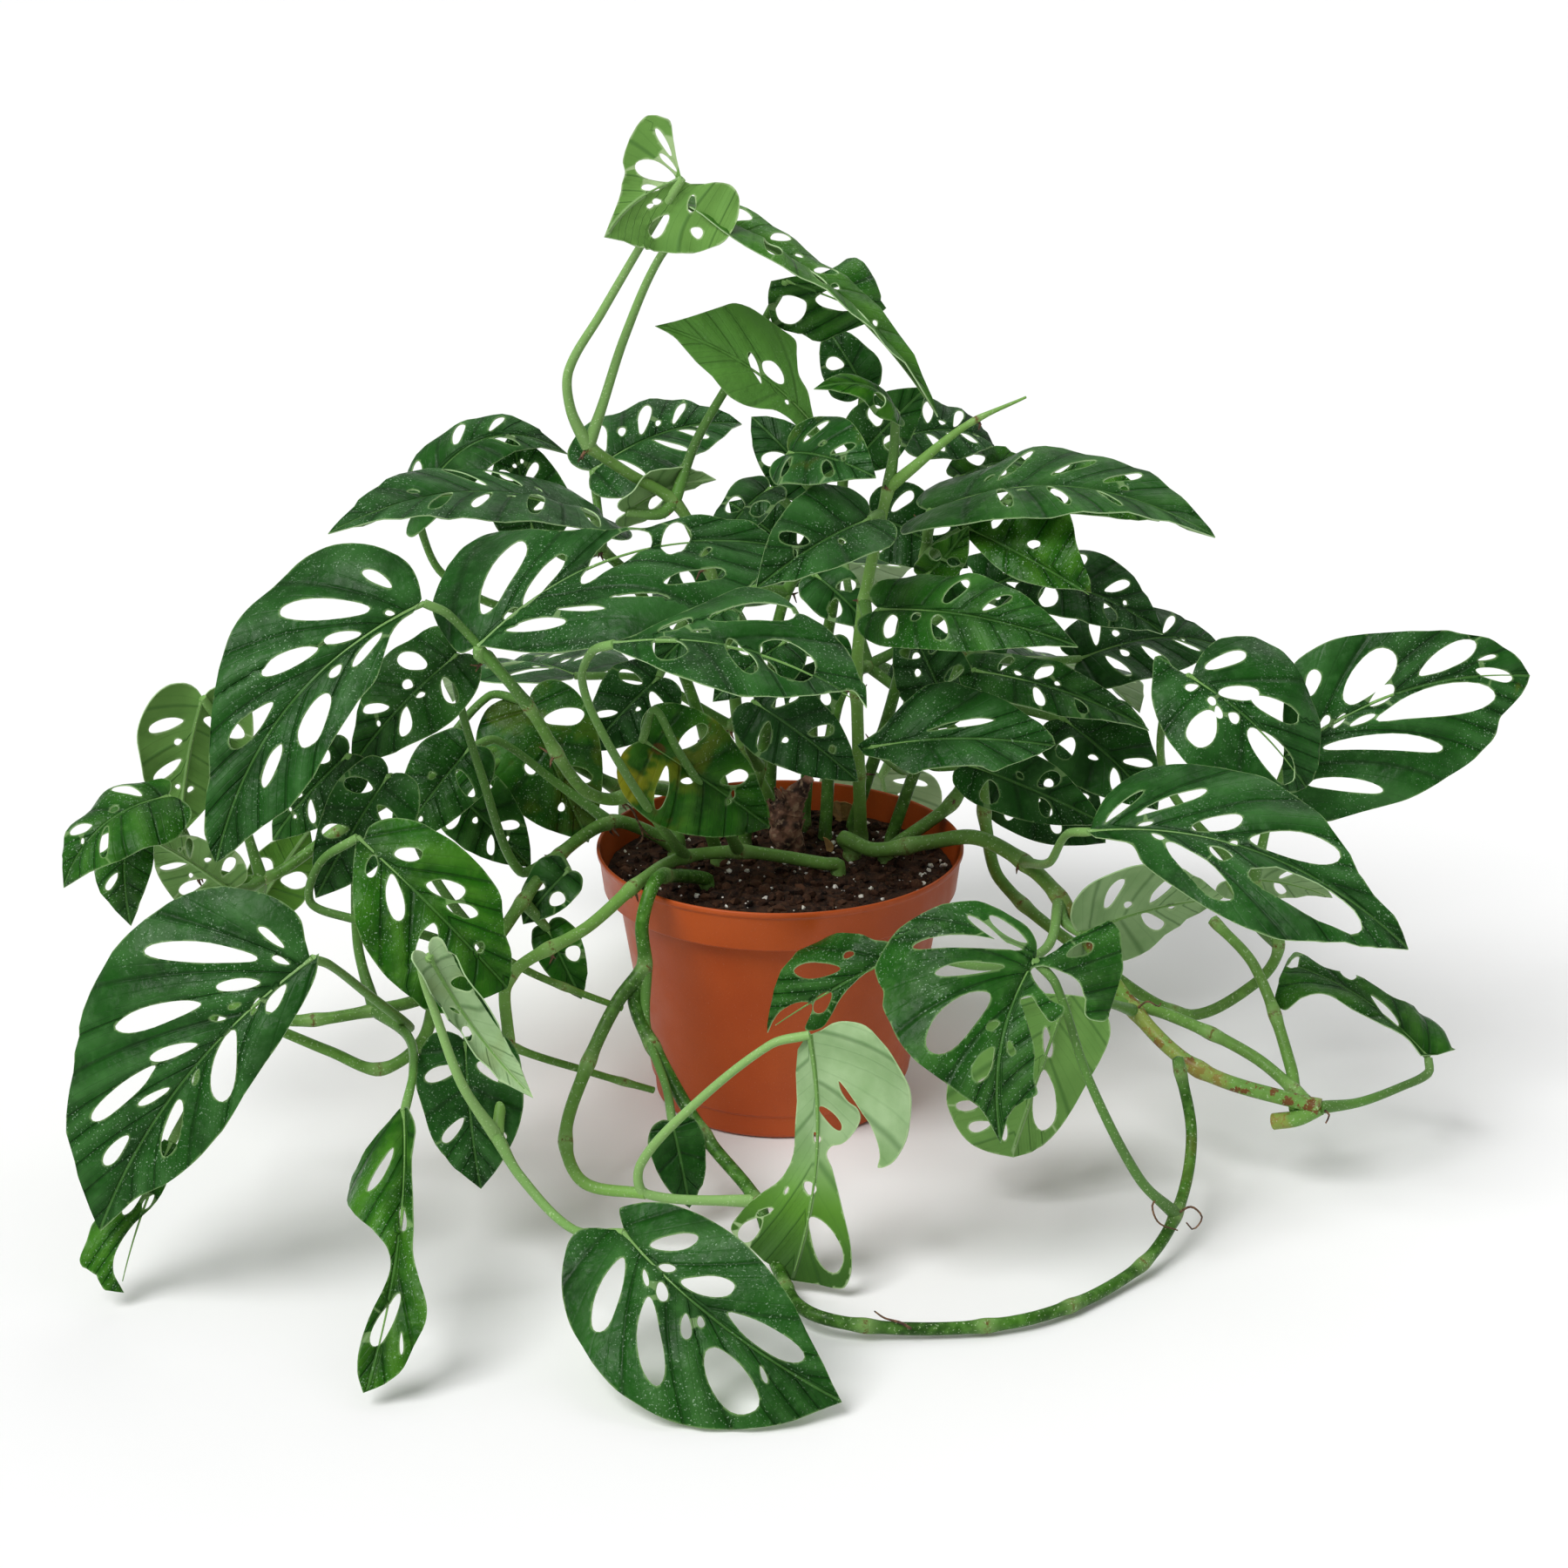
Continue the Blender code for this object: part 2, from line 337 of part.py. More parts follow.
# What grows: each vine is its stems, and each leaf names the point of its stem that its stalk leaves
VINES = dict(
    vine_front_left=[
        branch(
            [*root(24, -6), seen(948, 992, -8), seen(900, 984, -8), seen(848, 978, -9), seen(787, 984, -12),
             seen(735, 1012, -57), seen(674, 1065, -84), seen(585, 1122, -112), seen(583, 1200, -138),
             seen(570, 1305, -162)],
            [
                leaf(seen(704, 738, -126), seen(996, 812, -140), (0.05, -0.42, 0.9), 0.62, 0.14, seed=3,
                     at=6,
                     via=[seen(749, 936, -50), seen(691, 841, -84), seen(668, 780, -108),
                     seen(680, 748, -118)]),
                leaf(seen(738, 850, -44), seen(884, 950, -30), (0.1, -0.85, 0.5), 0.72, 0.05, seed=6, at=5,
                     via=[seen(825, 935, -30), seen(777, 860, -50), seen(752, 815, -56)]),
                leaf(seen(410, 961, -128), seen(583, 1135, -150), (0.05, -0.8, 0.6), 0.66, 0.1, seed=44,
                     at=9,
                     via=[seen(500, 1078, -128), seen(404, 1055, -128), seen(356, 1036, -126),
                          seen(368, 990, -126)]),
                leaf(seen(716, 1415, -226), seen(967, 1610, -275), (0.05, -0.8, 0.6), 0.8, 0.1, sway=0.06,
                     seed=41, at=11,
                     via=[seen(598, 1352, -186), seen(658, 1412, -212)]),
                leaf(seen(492, 1098, -178), seen(612, 1262, -196), (-0.5, 0.5, 0.3), 0.34, 0.16, 10, 110,
                     seed=46, at=11,
                     via=[seen(530, 1245, -168), seen(500, 1165, -168), seen(484, 1113, -172)]),
                leaf(seen(534, 1196, -146), seen(552, 1366, -154), (-0.2, -0.85, 0.4), 0.72, 0.06, seed=45,
                     at=10,
                     via=[seen(556, 1196, -138)]),
            ],
        ),
    ],
    vine_front_loop=[
        branch(
            [*root(-30, -22), seen(772, 1006, -44), seen(752, 1012, -62), seen(737, 1060, -72),
             seen(740, 1109, -74), seen(728, 1150, -80), seen(760, 1221, -96), seen(811, 1307, -122),
             seen(869, 1380, -150), seen(890, 1450, -176), lying(930, 1508, 8), lying(1046, 1526, 4),
             lying(1188, 1513, 4), lying(1303, 1459, 5), seen(1350, 1395, -150), seen(1368, 1306, -124),
             seen(1352, 1215, -112)],
            [
                leaf(seen(930, 1188, -158), seen(906, 1480, -184), (0.42, 0.82, 0.3), 0.84, 0.05, 10, 40,
                     10, slits=2,
                     sway=0.05, seed=32, at=10,
                     via=[seen(741, 1371, -150), seen(735, 1338, -150), seen(790, 1275, -152),
                                         seen(884, 1200, -158)]),
                leaf(seen(1188, 1102, -160), seen(1149, 1314, -196), (0.05, -0.78, 0.6), 1.2, 0.1, 14, 40,
                     sway=0.1,
                     seed=15, slits=2, at=16,
                     via=[seen(1307, 1352, -162), seen(1250, 1240, -166), seen(1212, 1130, -163)]),
            ],
        ),
        branch(
            [seen(741, 1110, -74), seen(708, 1152, -84), seen(671, 1231, -104), seen(649, 1307, -124),
             seen(670, 1358, -140), seen(741, 1371, -150)],
            [
                leaf(seen(772, 1290, -128), seen(792, 1388, -130), (0.2, -0.9, 0.3), 0.6, 0.05, seed=33,
                     at=0,
                     via=[seen(742, 1180, -86), seen(765, 1250, -112)]),
            ],
        ),
    ],
    vine_right=[
        branch(
            [*root(30, 12), seen(968, 962, 10), seen(1003, 976, 4), seen(1067, 967, -2),
             seen(1121, 962, -8),
             seen(1175, 990, -18), seen(1217, 1032, -36), seen(1303, 1161, -62), seen(1380, 1230, -84),
             seen(1515, 1272, -100)],
            [
                leaf(seen(1250, 954, -90), seen(1618, 1090, -134), (0.12, -0.5, 0.86), 0.6, 0.14,
                     sway=-0.03, seed=28, at=7,
                     via=[seen(1205, 990, -60), seen(1225, 958, -78)]),
                leaf(seen(1040, 1092, -108), seen(880, 1184, -98), (-0.1, -0.85, 0.5), 0.55, 0.12, 14, 60,
                     seed=37, at=8, via=[seen(1200, 1090, -66), seen(1130, 1110, -96)]),
                leaf(seen(1222, 1150, -104), seen(1160, 1330, -116), (0.15, 0.95, -0.1), 1.08, 0.04,
                     seed=36, at=9,
                     via=[seen(1262, 1150, -88)]),
                leaf(seen(1240, 1072, -52), seen(1404, 1030, -30), (0.1, 0.85, 0.3), 0.84, 0.06, seed=38,
                     at=8,
                     via=[seen(1222, 1058, -46)]),
                leaf(seen(1641, 1215, -70), seen(1478, 1106, -34), (0.1, -0.3, 0.9), 0.5, 0.1, 20, 50,
                     seed=39, at=11,
                     via=[seen(1560, 1266, -92), seen(1609, 1248, -82), seen(1640, 1232, -74)]),
            ],
            3.2, 3.0,
        ),
        branch([seen(1515, 1272, -100), seen(1490, 1284, -98), seen(1462, 1288, -94)], (), 3.2, 3.4),
        branch([seen(1276, 1149, -62), seen(1340, 1165, -60), seen(1437, 1212, -74), seen(1500, 1264, -95)],
               (), 2.4, 2.4),
        branch([seen(1487, 1274, -96), seen(1482, 1226, -80), seen(1441, 1111, -50), seen(1392, 1056, -34)],
               (), 2.6, 2.0),
    ],
    vine_far_right=[
        branch(
            [*root(44, 8), seen(1090, 925, 30), seen(1122, 880, 34), seen(1132, 950, 36),
             seen(1148, 1010, 30),
             seen(1240, 1090, 0), seen(1360, 1165, -10), seen(1440, 1130, -14), seen(1468, 1085, -18),
             seen(1440, 1010, -16)],
            [
                leaf(seen(1484, 862, -22), seen(1757, 776, -10), (-0.05, -0.9, 0.44), 0.8, 0.06, sway=-0.09,
                     seed=26, at=11,
                     via=[seen(1462, 920, -18)]),
                leaf(seen(1366, 776, -40), seen(1500, 905, -48), (0.2, -0.8, 0.58), 0.95, 0.14, 14, 45,
                     seed=27,
                     at=10, via=[seen(1420, 1000, -6), seen(1340, 900, -6), seen(1340, 800, -30)]),
                leaf(seen(1410, 1010, 10), seen(1530, 1030, 16), (0.1, 0.8, 0.45), 0.6, 0.08, seed=29,
                     at=10,
                     via=[seen(1440, 1060, 0)]),
            ],
        ),
    ],
    vine_left_high=[
        branch(
            [*root(-26, 6), seen(800, 925, -2), seen(745, 905, -30), seen(700, 918, -44),
             seen(663, 900, -56),
             seen(605, 809, -70), seen(560, 755, -74)],
            [
                leaf(seen(487, 692, -84), seen(248, 991, -128), (-0.3, -0.86, 0.42), 0.56, 0.08, sway=0.1,
                     seed=1, at=7,
                     via=[seen(575, 772, -78), seen(515, 706, -82)]),
                leaf(seen(548, 742, -82), seen(890, 626, -50), (0.0, -0.4, 0.92), 0.6, 0.12, sway=-0.06,
                     seed=2, at=8,
                     via=[seen(550, 752, -79)]),
            ],
        ),
    ],
    vine_left_low=[
        branch(
            [*root(-44, 12), seen(742, 954, 10), seen(700, 944, 2), seen(640, 984, -20),
             seen(600, 1035, -50),
             seen(560, 1090, -72), seen(500, 1140, -92), seen(430, 1160, -104), seen(330, 1172, -104),
             seen(250, 1150, -90)],
            [
                leaf(seen(358, 1101, -178), seen(114, 1414, -196), (-0.25, -0.92, 0.3), 0.6, 0.06,
                     sway=0.06, seed=42, at=9,
                     via=[seen(470, 1180, -112), seen(420, 1140, -140), seen(378, 1108, -168)]),
                leaf(seen(196, 1312, -168), lying(138, 1485, 6), (-0.2, -0.9, 0.3), 0.46, 0.1, 14, 50, 30,
                     seed=43, at=11, via=[seen(236, 1190, -104), seen(222, 1260, -144)]),
                leaf(seen(463, 1276, -190), lying(420, 1600, 6), (-0.45, -0.86, 0.2), 0.4, 0.04, 20, 50,
                     36, sway=-0.08,
                     seed=47, at=9, via=[seen(468, 1190, -128), seen(474, 1232, -168)]),
                leaf(seen(524, 752, -50), seen(404, 880, -60), (-0.2, -0.75, 0.6), 0.66, 0.08, seed=48,
                     at=5,
                     via=[seen(596, 1000, -28), seen(552, 888, -36), seen(524, 790, -44)]),
                leaf(seen(446, 890, -86), seen(362, 1032, -98), (-0.2, -0.9, 0.3), 0.62, 0.06, seed=49,
                     at=7,
                     via=[seen(500, 1010, -80), seen(462, 930, -82)]),
                leaf(seen(540, 858, -12), seen(452, 974, -30), (-0.1, -0.8, 0.55), 0.66, 0.06, seed=50,
                     at=4,
                     via=[seen(640, 900, 4), seen(570, 850, -4)]),
                leaf(seen(628, 1066, -44), seen(668, 1148, -50), (0.0, -0.9, 0.4), 0.6, 0.1, seed=66, at=6,
                     via=[]),
                leaf(seen(400, 866, -70), seen(312, 966, -74), (-0.2, -0.85, 0.45), 0.6, 0.1, seed=67, at=9,
                     via=[seen(410, 1080, -90), seen(408, 930, -78)]),
                leaf(seen(652, 1000, -36), seen(600, 1062, -46), (-0.2, -0.85, 0.5), 0.8, 0.1, seed=68, at=5,
                     via=[]),
            ],
        ),
        branch([seen(560, 1090, -72), seen(620, 1122, -64), seen(714, 1158, -54)], (), 1.7, 1.3),
        branch([seen(500, 1140, -92), seen(580, 1198, -96), seen(680, 1232, -84), seen(750, 1252, -74)],
               (), 1.8, 1.4),
        branch([seen(500, 1140, -92), seen(484, 1196, -96), seen(436, 1228, -100), seen(380, 1208, -98),
                seen(322, 1184, -94)], (), 2.6, 2.0),
    ],
    vine_far_left=[
        branch(
            [*root(-43, 24), seen(742, 930, 34), seen(700, 900, 30), seen(600, 858, 24), seen(480, 900, 8),
             seen(380, 960, -10), seen(300, 1010, -20), seen(230, 1000, -30)],
            [
                leaf(seen(192, 914, -50), seen(72, 1020, -72), (-0.4, -0.5, 0.75), 0.8, 0.2, 14, 60,
                     seed=51,
                     at=9, via=[seen(215, 965, -38)]),
                leaf(seen(150, 930, -30), seen(150, 1064, -52), (-0.3, -0.85, 0.4), 0.66, 0.12, 14, 50,
                     seed=52,
                     at=9, via=[seen(204, 968, -28)]),
                leaf(seen(232, 800, -14), seen(206, 960, -20), (-0.35, 0.9, 0.1), 0.8, 0.1, 14, 40, seed=53,
                     at=8, via=[seen(282, 950, -16), seen(256, 840, -10)]),
                leaf(seen(262, 1020, -44), seen(176, 965, -66), (0.1, 0.9, -0.2), 0.7, 0.05, seed=54, at=8,
                     via=[seen(285, 1020, -30)]),
                leaf(seen(300, 1034, 0), seen(356, 952, 14), (-0.1, 0.95, 0.1), 0.8, 0.05, seed=55, at=8,
                     via=[seen(298, 1040, -10)]),
                leaf(seen(606, 806, 30), seen(676, 968, 14), (-0.1, -0.85, 0.5), 0.8, 0.12, seed=56, at=6,
                     via=[seen(560, 800, 30)]),
                leaf(seen(520, 906, 4), seen(610, 996, -6), (-0.1, -0.85, 0.5), 0.7, 0.1, seed=60, at=5,
                     via=[]),
            ],
        ),
    ],
    vine_top=[
        branch(
            [*root(2, 34), seen(852, 850, 34), seen(835, 720, 30), seen(800, 620, 24), seen(774, 576, 20),
             seen(720, 543, 12), seen(675, 513, 6)],
            [
                leaf(seen(783, 205, -4), seen(694, 274, -20), (0.2, 0.97, 0.0), 1.5, 0.1, 10, 20,
                     sway=-0.1, seed=61, at=8,
                     via=[seen(655, 470, 4), seen(653, 425, 2), seen(690, 360, 0), seen(738, 278, -2)]),
                leaf(seen(800, 244, 10), seen(1078, 478, -18), (0.5, -0.1, 0.85), 0.3, 0.09, 34, 50,
                     seed=62,
                     at=8, via=[seen(690, 470, 8), seen(717, 387, 12), seen(756, 298, 12)]),
                leaf(seen(902, 323, 34), seen(1014, 372, 44), (0.0, -0.85, 0.5), 0.85, 0.12, 14, 60,
                     seed=63,
                     at=6, via=[seen(800, 505, 28), seen(844, 428, 32)]),
                leaf(seen(718, 588, 12), seen(822, 550, 30), (0.0, 0.8, 0.5), 0.62, 0.1, seed=64, at=6,
                     via=[seen(758, 590, 16)]),
            ],
        ),
    ],
    vine_spike=[
        branch(
            [*root(34, 30), seen(985, 850, 8), seen(984, 760, -4), seen(992, 690, -14),
             seen(1008, 610, -16),
             seen(1020, 560, -14)],
            [
                leaf(seen(1030, 472, -10), seen(934, 446, -28), (-0.2, -0.5, 0.8), 0.5, 0.2, 14, 80,
                     seed=71,
                     at=7, via=[seen(1026, 520, -12)]),
                leaf(seen(905, 520, -22), seen(1006, 548, -50), (-0.1, -0.7, 0.7), 0.85, 0.12, seed=72,
                     at=6,
                     via=[seen(965, 590, -18), seen(920, 550, -18)]),
                leaf(seen(1010, 700, -34), seen(1238, 742, -74), (0.0, -0.7, 0.7), 0.46, 0.1, 24, 60,
                     seed=73,
                     at=5, via=[seen(998, 712, -26)]),
                leaf(seen(998, 596, -40), seen(868, 676, -84), (-0.1, -0.75, 0.65), 0.62, 0.08, 24, 30,
                     seed=74,
                     at=6, via=[seen(1010, 590, -30)]),
            ],
        ),
        branch([seen(1020, 560, -14), seen(1042, 542, -16), seen(1110, 488, -18), seen(1178, 456, -20)],
               (), 2.6, 0.5),
    ],
    vine_core=[
        branch(
            [*root(-15, 24), seen(872, 880, 22), seen(885, 800, 22), seen(890, 730, 26),
             seen(902, 680, 32)],
            [
                leaf(seen(866, 806, -30), seen(986, 898, -46), (0.1, -0.85, 0.5), 0.66, 0.1, seed=101, at=3,
                     via=[seen(858, 850, -8)]),
                leaf(seen(900, 738, 6), seen(818, 806, -16), (-0.2, -0.8, 0.55), 0.72, 0.1, seed=102, at=5,
                     via=[]),
                leaf(seen(950, 735, 14), seen(918, 850, 0), (0.1, -0.85, 0.5), 0.66, 0.1, seed=103, at=5,
                     via=[seen(925, 715, 20)]),
                leaf(seen(830, 700, 12), seen(752, 768, -4), (-0.2, -0.7, 0.6), 0.72, 0.1, seed=104, at=6,
                     via=[seen(868, 676, 20)]),
                leaf(seen(936, 660, 22), seen(1002, 724, 10), (0.1, -0.8, 0.6), 0.72, 0.1, seed=105, at=6,
                     via=[seen(915, 662, 28)]),
            ],
        ),
    ],
    vine_back_left=[
        branch(
            [*root(-5, 48), Vector((-4, 60, 138)), Vector((-8, 82, 142)), Vector((-22, 106, 124)),
             Vector((-34, 122, 92))],
            [
                leaf(Vector((-90, 106, 148)), Vector((-152, 186, 108)), (-0.3, 0.4, 0.85), 0.64, 0.1,
                     seed=111,
                     at=5, via=[Vector((-58, 104, 146))]),
                leaf(Vector((-40, 128, 84)), Vector((-56, 170, 12)), (0.0, 0.85, 0.4), 0.7, 0.1, seed=112,
                     at=6,
                     via=[]),
                leaf(Vector((-20, 112, 178)), Vector((-36, 196, 150)), (-0.1, 0.2, 0.95), 0.64, 0.1,
                     seed=113,
                     at=4, via=[Vector((-14, 96, 170))]),
            ],
        ),
    ],
    vine_back_right=[
        branch(
            [*root(19, 33), Vector((24, 58, 150)), Vector((38, 88, 158)), Vector((56, 112, 140)),
             Vector((52, 140, 100))],
            [
                leaf(Vector((28, 120, 196)), Vector((46, 208, 150)), (0.1, 0.4, 0.9), 0.64, 0.1, seed=121,
                     at=4,
                     via=[Vector((30, 100, 186))]),
                leaf(Vector((96, 118, 150)), Vector((166, 182, 104)), (0.3, 0.4, 0.85), 0.64, 0.1, seed=122,
                     at=5,
                     via=[]),
                leaf(Vector((46, 152, 84)), Vector((54, 186, 10)), (0.1, 0.9, 0.4), 0.7, 0.1, seed=123,
                     at=6,
                     via=[]),
                leaf(seen(1040, 800, 84), seen(1160, 734, 100), (0.0, -0.8, 0.6), 0.74, 0.1, seed=124, at=4,
                     via=[]),
                leaf(seen(1090, 700, 100), seen(1214, 640, 116), (0.1, -0.8, 0.6), 0.7, 0.1, seed=125, at=4,
                     via=[seen(1040, 740, 94)]),
                leaf(seen(1150, 880, 74), seen(1270, 968, 64), (0.1, -0.85, 0.5), 0.8, 0.1, seed=126, at=5,
                     via=[seen(1110, 850, 96)]),
            ],
        ),
    ],
    vine_crown=[
        branch(
            [*root(10, 46), seen(935, 800, 56), seen(955, 700, 52), seen(965, 600, 44), seen(968, 540, 38)],
            [
                leaf(seen(948, 506, 24), seen(756, 374, 10), (-0.2, -0.8, 0.56), 0.5, 0.06, sway=0.07,
                     seed=81, at=6,
                     via=[seen(958, 530, 32)]),
                leaf(seen(992, 446, 50), seen(948, 376, 64), (0.1, -0.9, 0.3), 0.8, 0.1, seed=82, at=6,
                     via=[seen(985, 500, 46)]),
                leaf(seen(1040, 500, 54), seen(1142, 512, 76), (0.1, -0.5, 0.85), 0.75, 0.14, seed=83, at=6,
                     via=[seen(1000, 525, 46)]),
                leaf(seen(884, 560, 54), seen(820, 640, 30), (-0.3, -0.6, 0.7), 0.6, 0.12, seed=84, at=5,
                     via=[seen(920, 590, 54)]),
                leaf(seen(1000, 590, 54), seen(1112, 652, 46), (0.1, -0.8, 0.6), 0.8, 0.1, seed=85, at=5,
                     via=[]),
                leaf(seen(930, 650, 66), seen(836, 576, 80), (-0.1, -0.8, 0.6), 0.74, 0.1, seed=86, at=5,
                     via=[]),
                leaf(seen(990, 520, 30), seen(1064, 444, 24), (0.1, -0.85, 0.5), 0.7, 0.1, seed=87, at=6,
                     via=[]),
                leaf(seen(936, 556, 62), seen(862, 478, 80), (-0.1, -0.8, 0.6), 0.7, 0.1, seed=88, at=6,
                     via=[]),
            ],
        ),
    ],
    vine_left_back=[
        branch(
            [*root(-20, 44), seen(812, 850, 66), seen(770, 740, 74), seen(720, 660, 72),
             seen(690, 630, 66)],
            [
                leaf(seen(682, 592, 40), seen(376, 612, -12), (-0.05, -0.1, 1.0), 0.6, 0.12, seed=91, at=6,
                     via=[seen(690, 612, 54)]),
                leaf(seen(474, 586, 60), seen(652, 520, 84), (-0.2, -0.5, 0.85), 0.5, 0.34, 14, 40, seed=92,
                     at=5,
                     via=[seen(600, 700, 70), seen(509, 660, 64)]),
                leaf(seen(612, 610, 76), seen(588, 494, 84), (-0.1, -0.95, 0.2), 0.8, 0.1, seed=93, at=6,
                     via=[seen(650, 640, 74)]),
                leaf(seen(680, 540, 90), seen(852, 486, 120), (0.0, -0.4, 0.9), 0.72, 0.12, seed=94, at=6,
                     via=[seen(688, 600, 78)]),
                leaf(seen(790, 704, 90), seen(872, 610, 110), (0.0, -0.8, 0.6), 0.74, 0.1, seed=95, at=4,
                     via=[]),
                leaf(seen(756, 778, 60), seen(676, 864, 48), (-0.1, -0.85, 0.5), 0.8, 0.1, seed=96, at=4,
                     via=[]),
            ],
        ),
    ],
    vine_right_high=[
        branch(
            [*root(31, 42), seen(1020, 820, 44), seen(1050, 700, 30), seen(1062, 640, 24),
             seen(1066, 600, 26)],
            [
                leaf(seen(1068, 586, 20), seen(1396, 616, -16), (0.1, -0.22, 0.97), 0.56, 0.14, seed=21,
                     at=6,
                     via=[]),
                leaf(seen(1110, 606, 2), seen(1262, 690, -28), (-0.1, -0.85, 0.5), 0.76, 0.1, seed=22, at=5,
                     via=[seen(1088, 618, 12)]),
                leaf(seen(1064, 660, 6), seen(1112, 604, -4), (0.2, -0.95, 0.2), 0.6, 0.1, seed=23, at=4,
                     via=[seen(1052, 680, 18)]),
                leaf(seen(1100, 548, 64), seen(1180, 530, 84), (0.1, -0.4, 0.9), 0.6, 0.1, seed=24, at=6,
                     via=[seen(1080, 570, 46)]),
                leaf(seen(1185, 552, 60), seen(1332, 598, 66), (0.1, -0.6, 0.8), 0.56, 0.12, seed=25, at=5,
                     via=[seen(1120, 610, 50), seen(1160, 570, 58)]),
            ],
        ),
    ],
    vine_right_mid=[
        branch(
            [*root(47, 26), seen(1060, 860, 26), seen(1088, 800, 30), seen(1110, 750, 40),
             seen(1150, 705, 44)],
            [
                leaf(seen(1000, 858, -44), seen(1208, 856, -62), (0.0, -0.7, 0.7), 0.62, 0.1, seed=31, at=3,
                     via=[seen(1040, 885, -6), seen(1018, 872, -30)]),
                leaf(seen(1112, 878, -22), seen(1268, 946, -30), (-0.2, -0.7, 0.65), 0.5, 0.06, seed=34,
                     at=3,
                     via=[seen(1070, 880, 0)]),
                leaf(seen(1120, 770, 10), seen(1320, 838, 0), (0.0, -0.55, 0.84), 0.36, 0.08, seed=35, at=4,
                     via=[seen(1104, 775, 18)]),
                leaf(seen(1184, 664, 34), seen(1336, 728, 22), (0.1, -0.6, 0.8), 0.66, 0.12, seed=57, at=6,
                     via=[]),
                leaf(seen(1240, 756, 60), seen(1404, 744, 90), (0.1, -0.5, 0.85), 0.6, 0.14, seed=58, at=5,
                     via=[seen(1180, 760, 52)]),
                leaf(seen(1222, 826, 24), seen(1330, 930, 6), (0.1, -0.8, 0.6), 0.8, 0.1, seed=59, at=4,
                     via=[seen(1150, 810, 34)]),
                leaf(seen(1082, 800, 10), seen(1034, 696, 4), (-0.1, -0.85, 0.5), 0.7, 0.1, seed=65, at=4,
                     via=[]),
            ],
        ),
    ],
)


def settled(points, fine):
    """A smooth curve through the points, `fine` steps to each length between them."""
    count = len(points)
    gaps = [(b - a).length for a, b in zip(points, points[1:])]
    slopes = [(points[1] - points[0]) / gaps[0]]
    for i in range(1, count - 1):
        slopes.append((points[i + 1] - points[i - 1]) / (gaps[i - 1] + gaps[i]))
    slopes.append((points[-1] - points[-2]) / gaps[-1])
    curve = []
    for i, gap in enumerate(gaps):
        for k in range(fine):
            t = k / fine
            a, b = points[i], points[i + 1]
            into, out = slopes[i] * gap, slopes[i + 1] * gap
            curve.append(
                a * (2 * t**3 - 3 * t * t + 1) + into * (t**3 - 2 * t * t + t)
                + b * (3 * t * t - 2 * t**3) + out * (t**3 - t * t)
            )
    curve.append(points[-1])
    return curve


def thinned(curve, keep):
    """The curve's own points that hold its shape to within `keep`."""
    if len(curve) < 3:
        return curve
    start, end = curve[0], curve[-1]
    along = end - start
    worst, where = 0.0, 0
    for i in range(1, len(curve) - 1):
        share = max(0.0, min(1.0, (curve[i] - start).dot(along) / max(along.length_squared, 1e-12)))
        away = (curve[i] - start - along * share).length
        if away > worst:
            worst, where = away, i
    if worst <= keep:
        return [start, end]
    return thinned(curve[: where + 1], keep)[:-1] + thinned(curve[where:], keep)


def tapered(points, start, end):
    """(point, radius) pairs, the radius running from start to end along the way."""
    lengths = [0.0]
    for a, b in zip(points, points[1:]):
        lengths.append(lengths[-1] + (b - a).length)
    return [(p, start + (end - start) * d / lengths[-1]) for p, d in zip(points, lengths)]


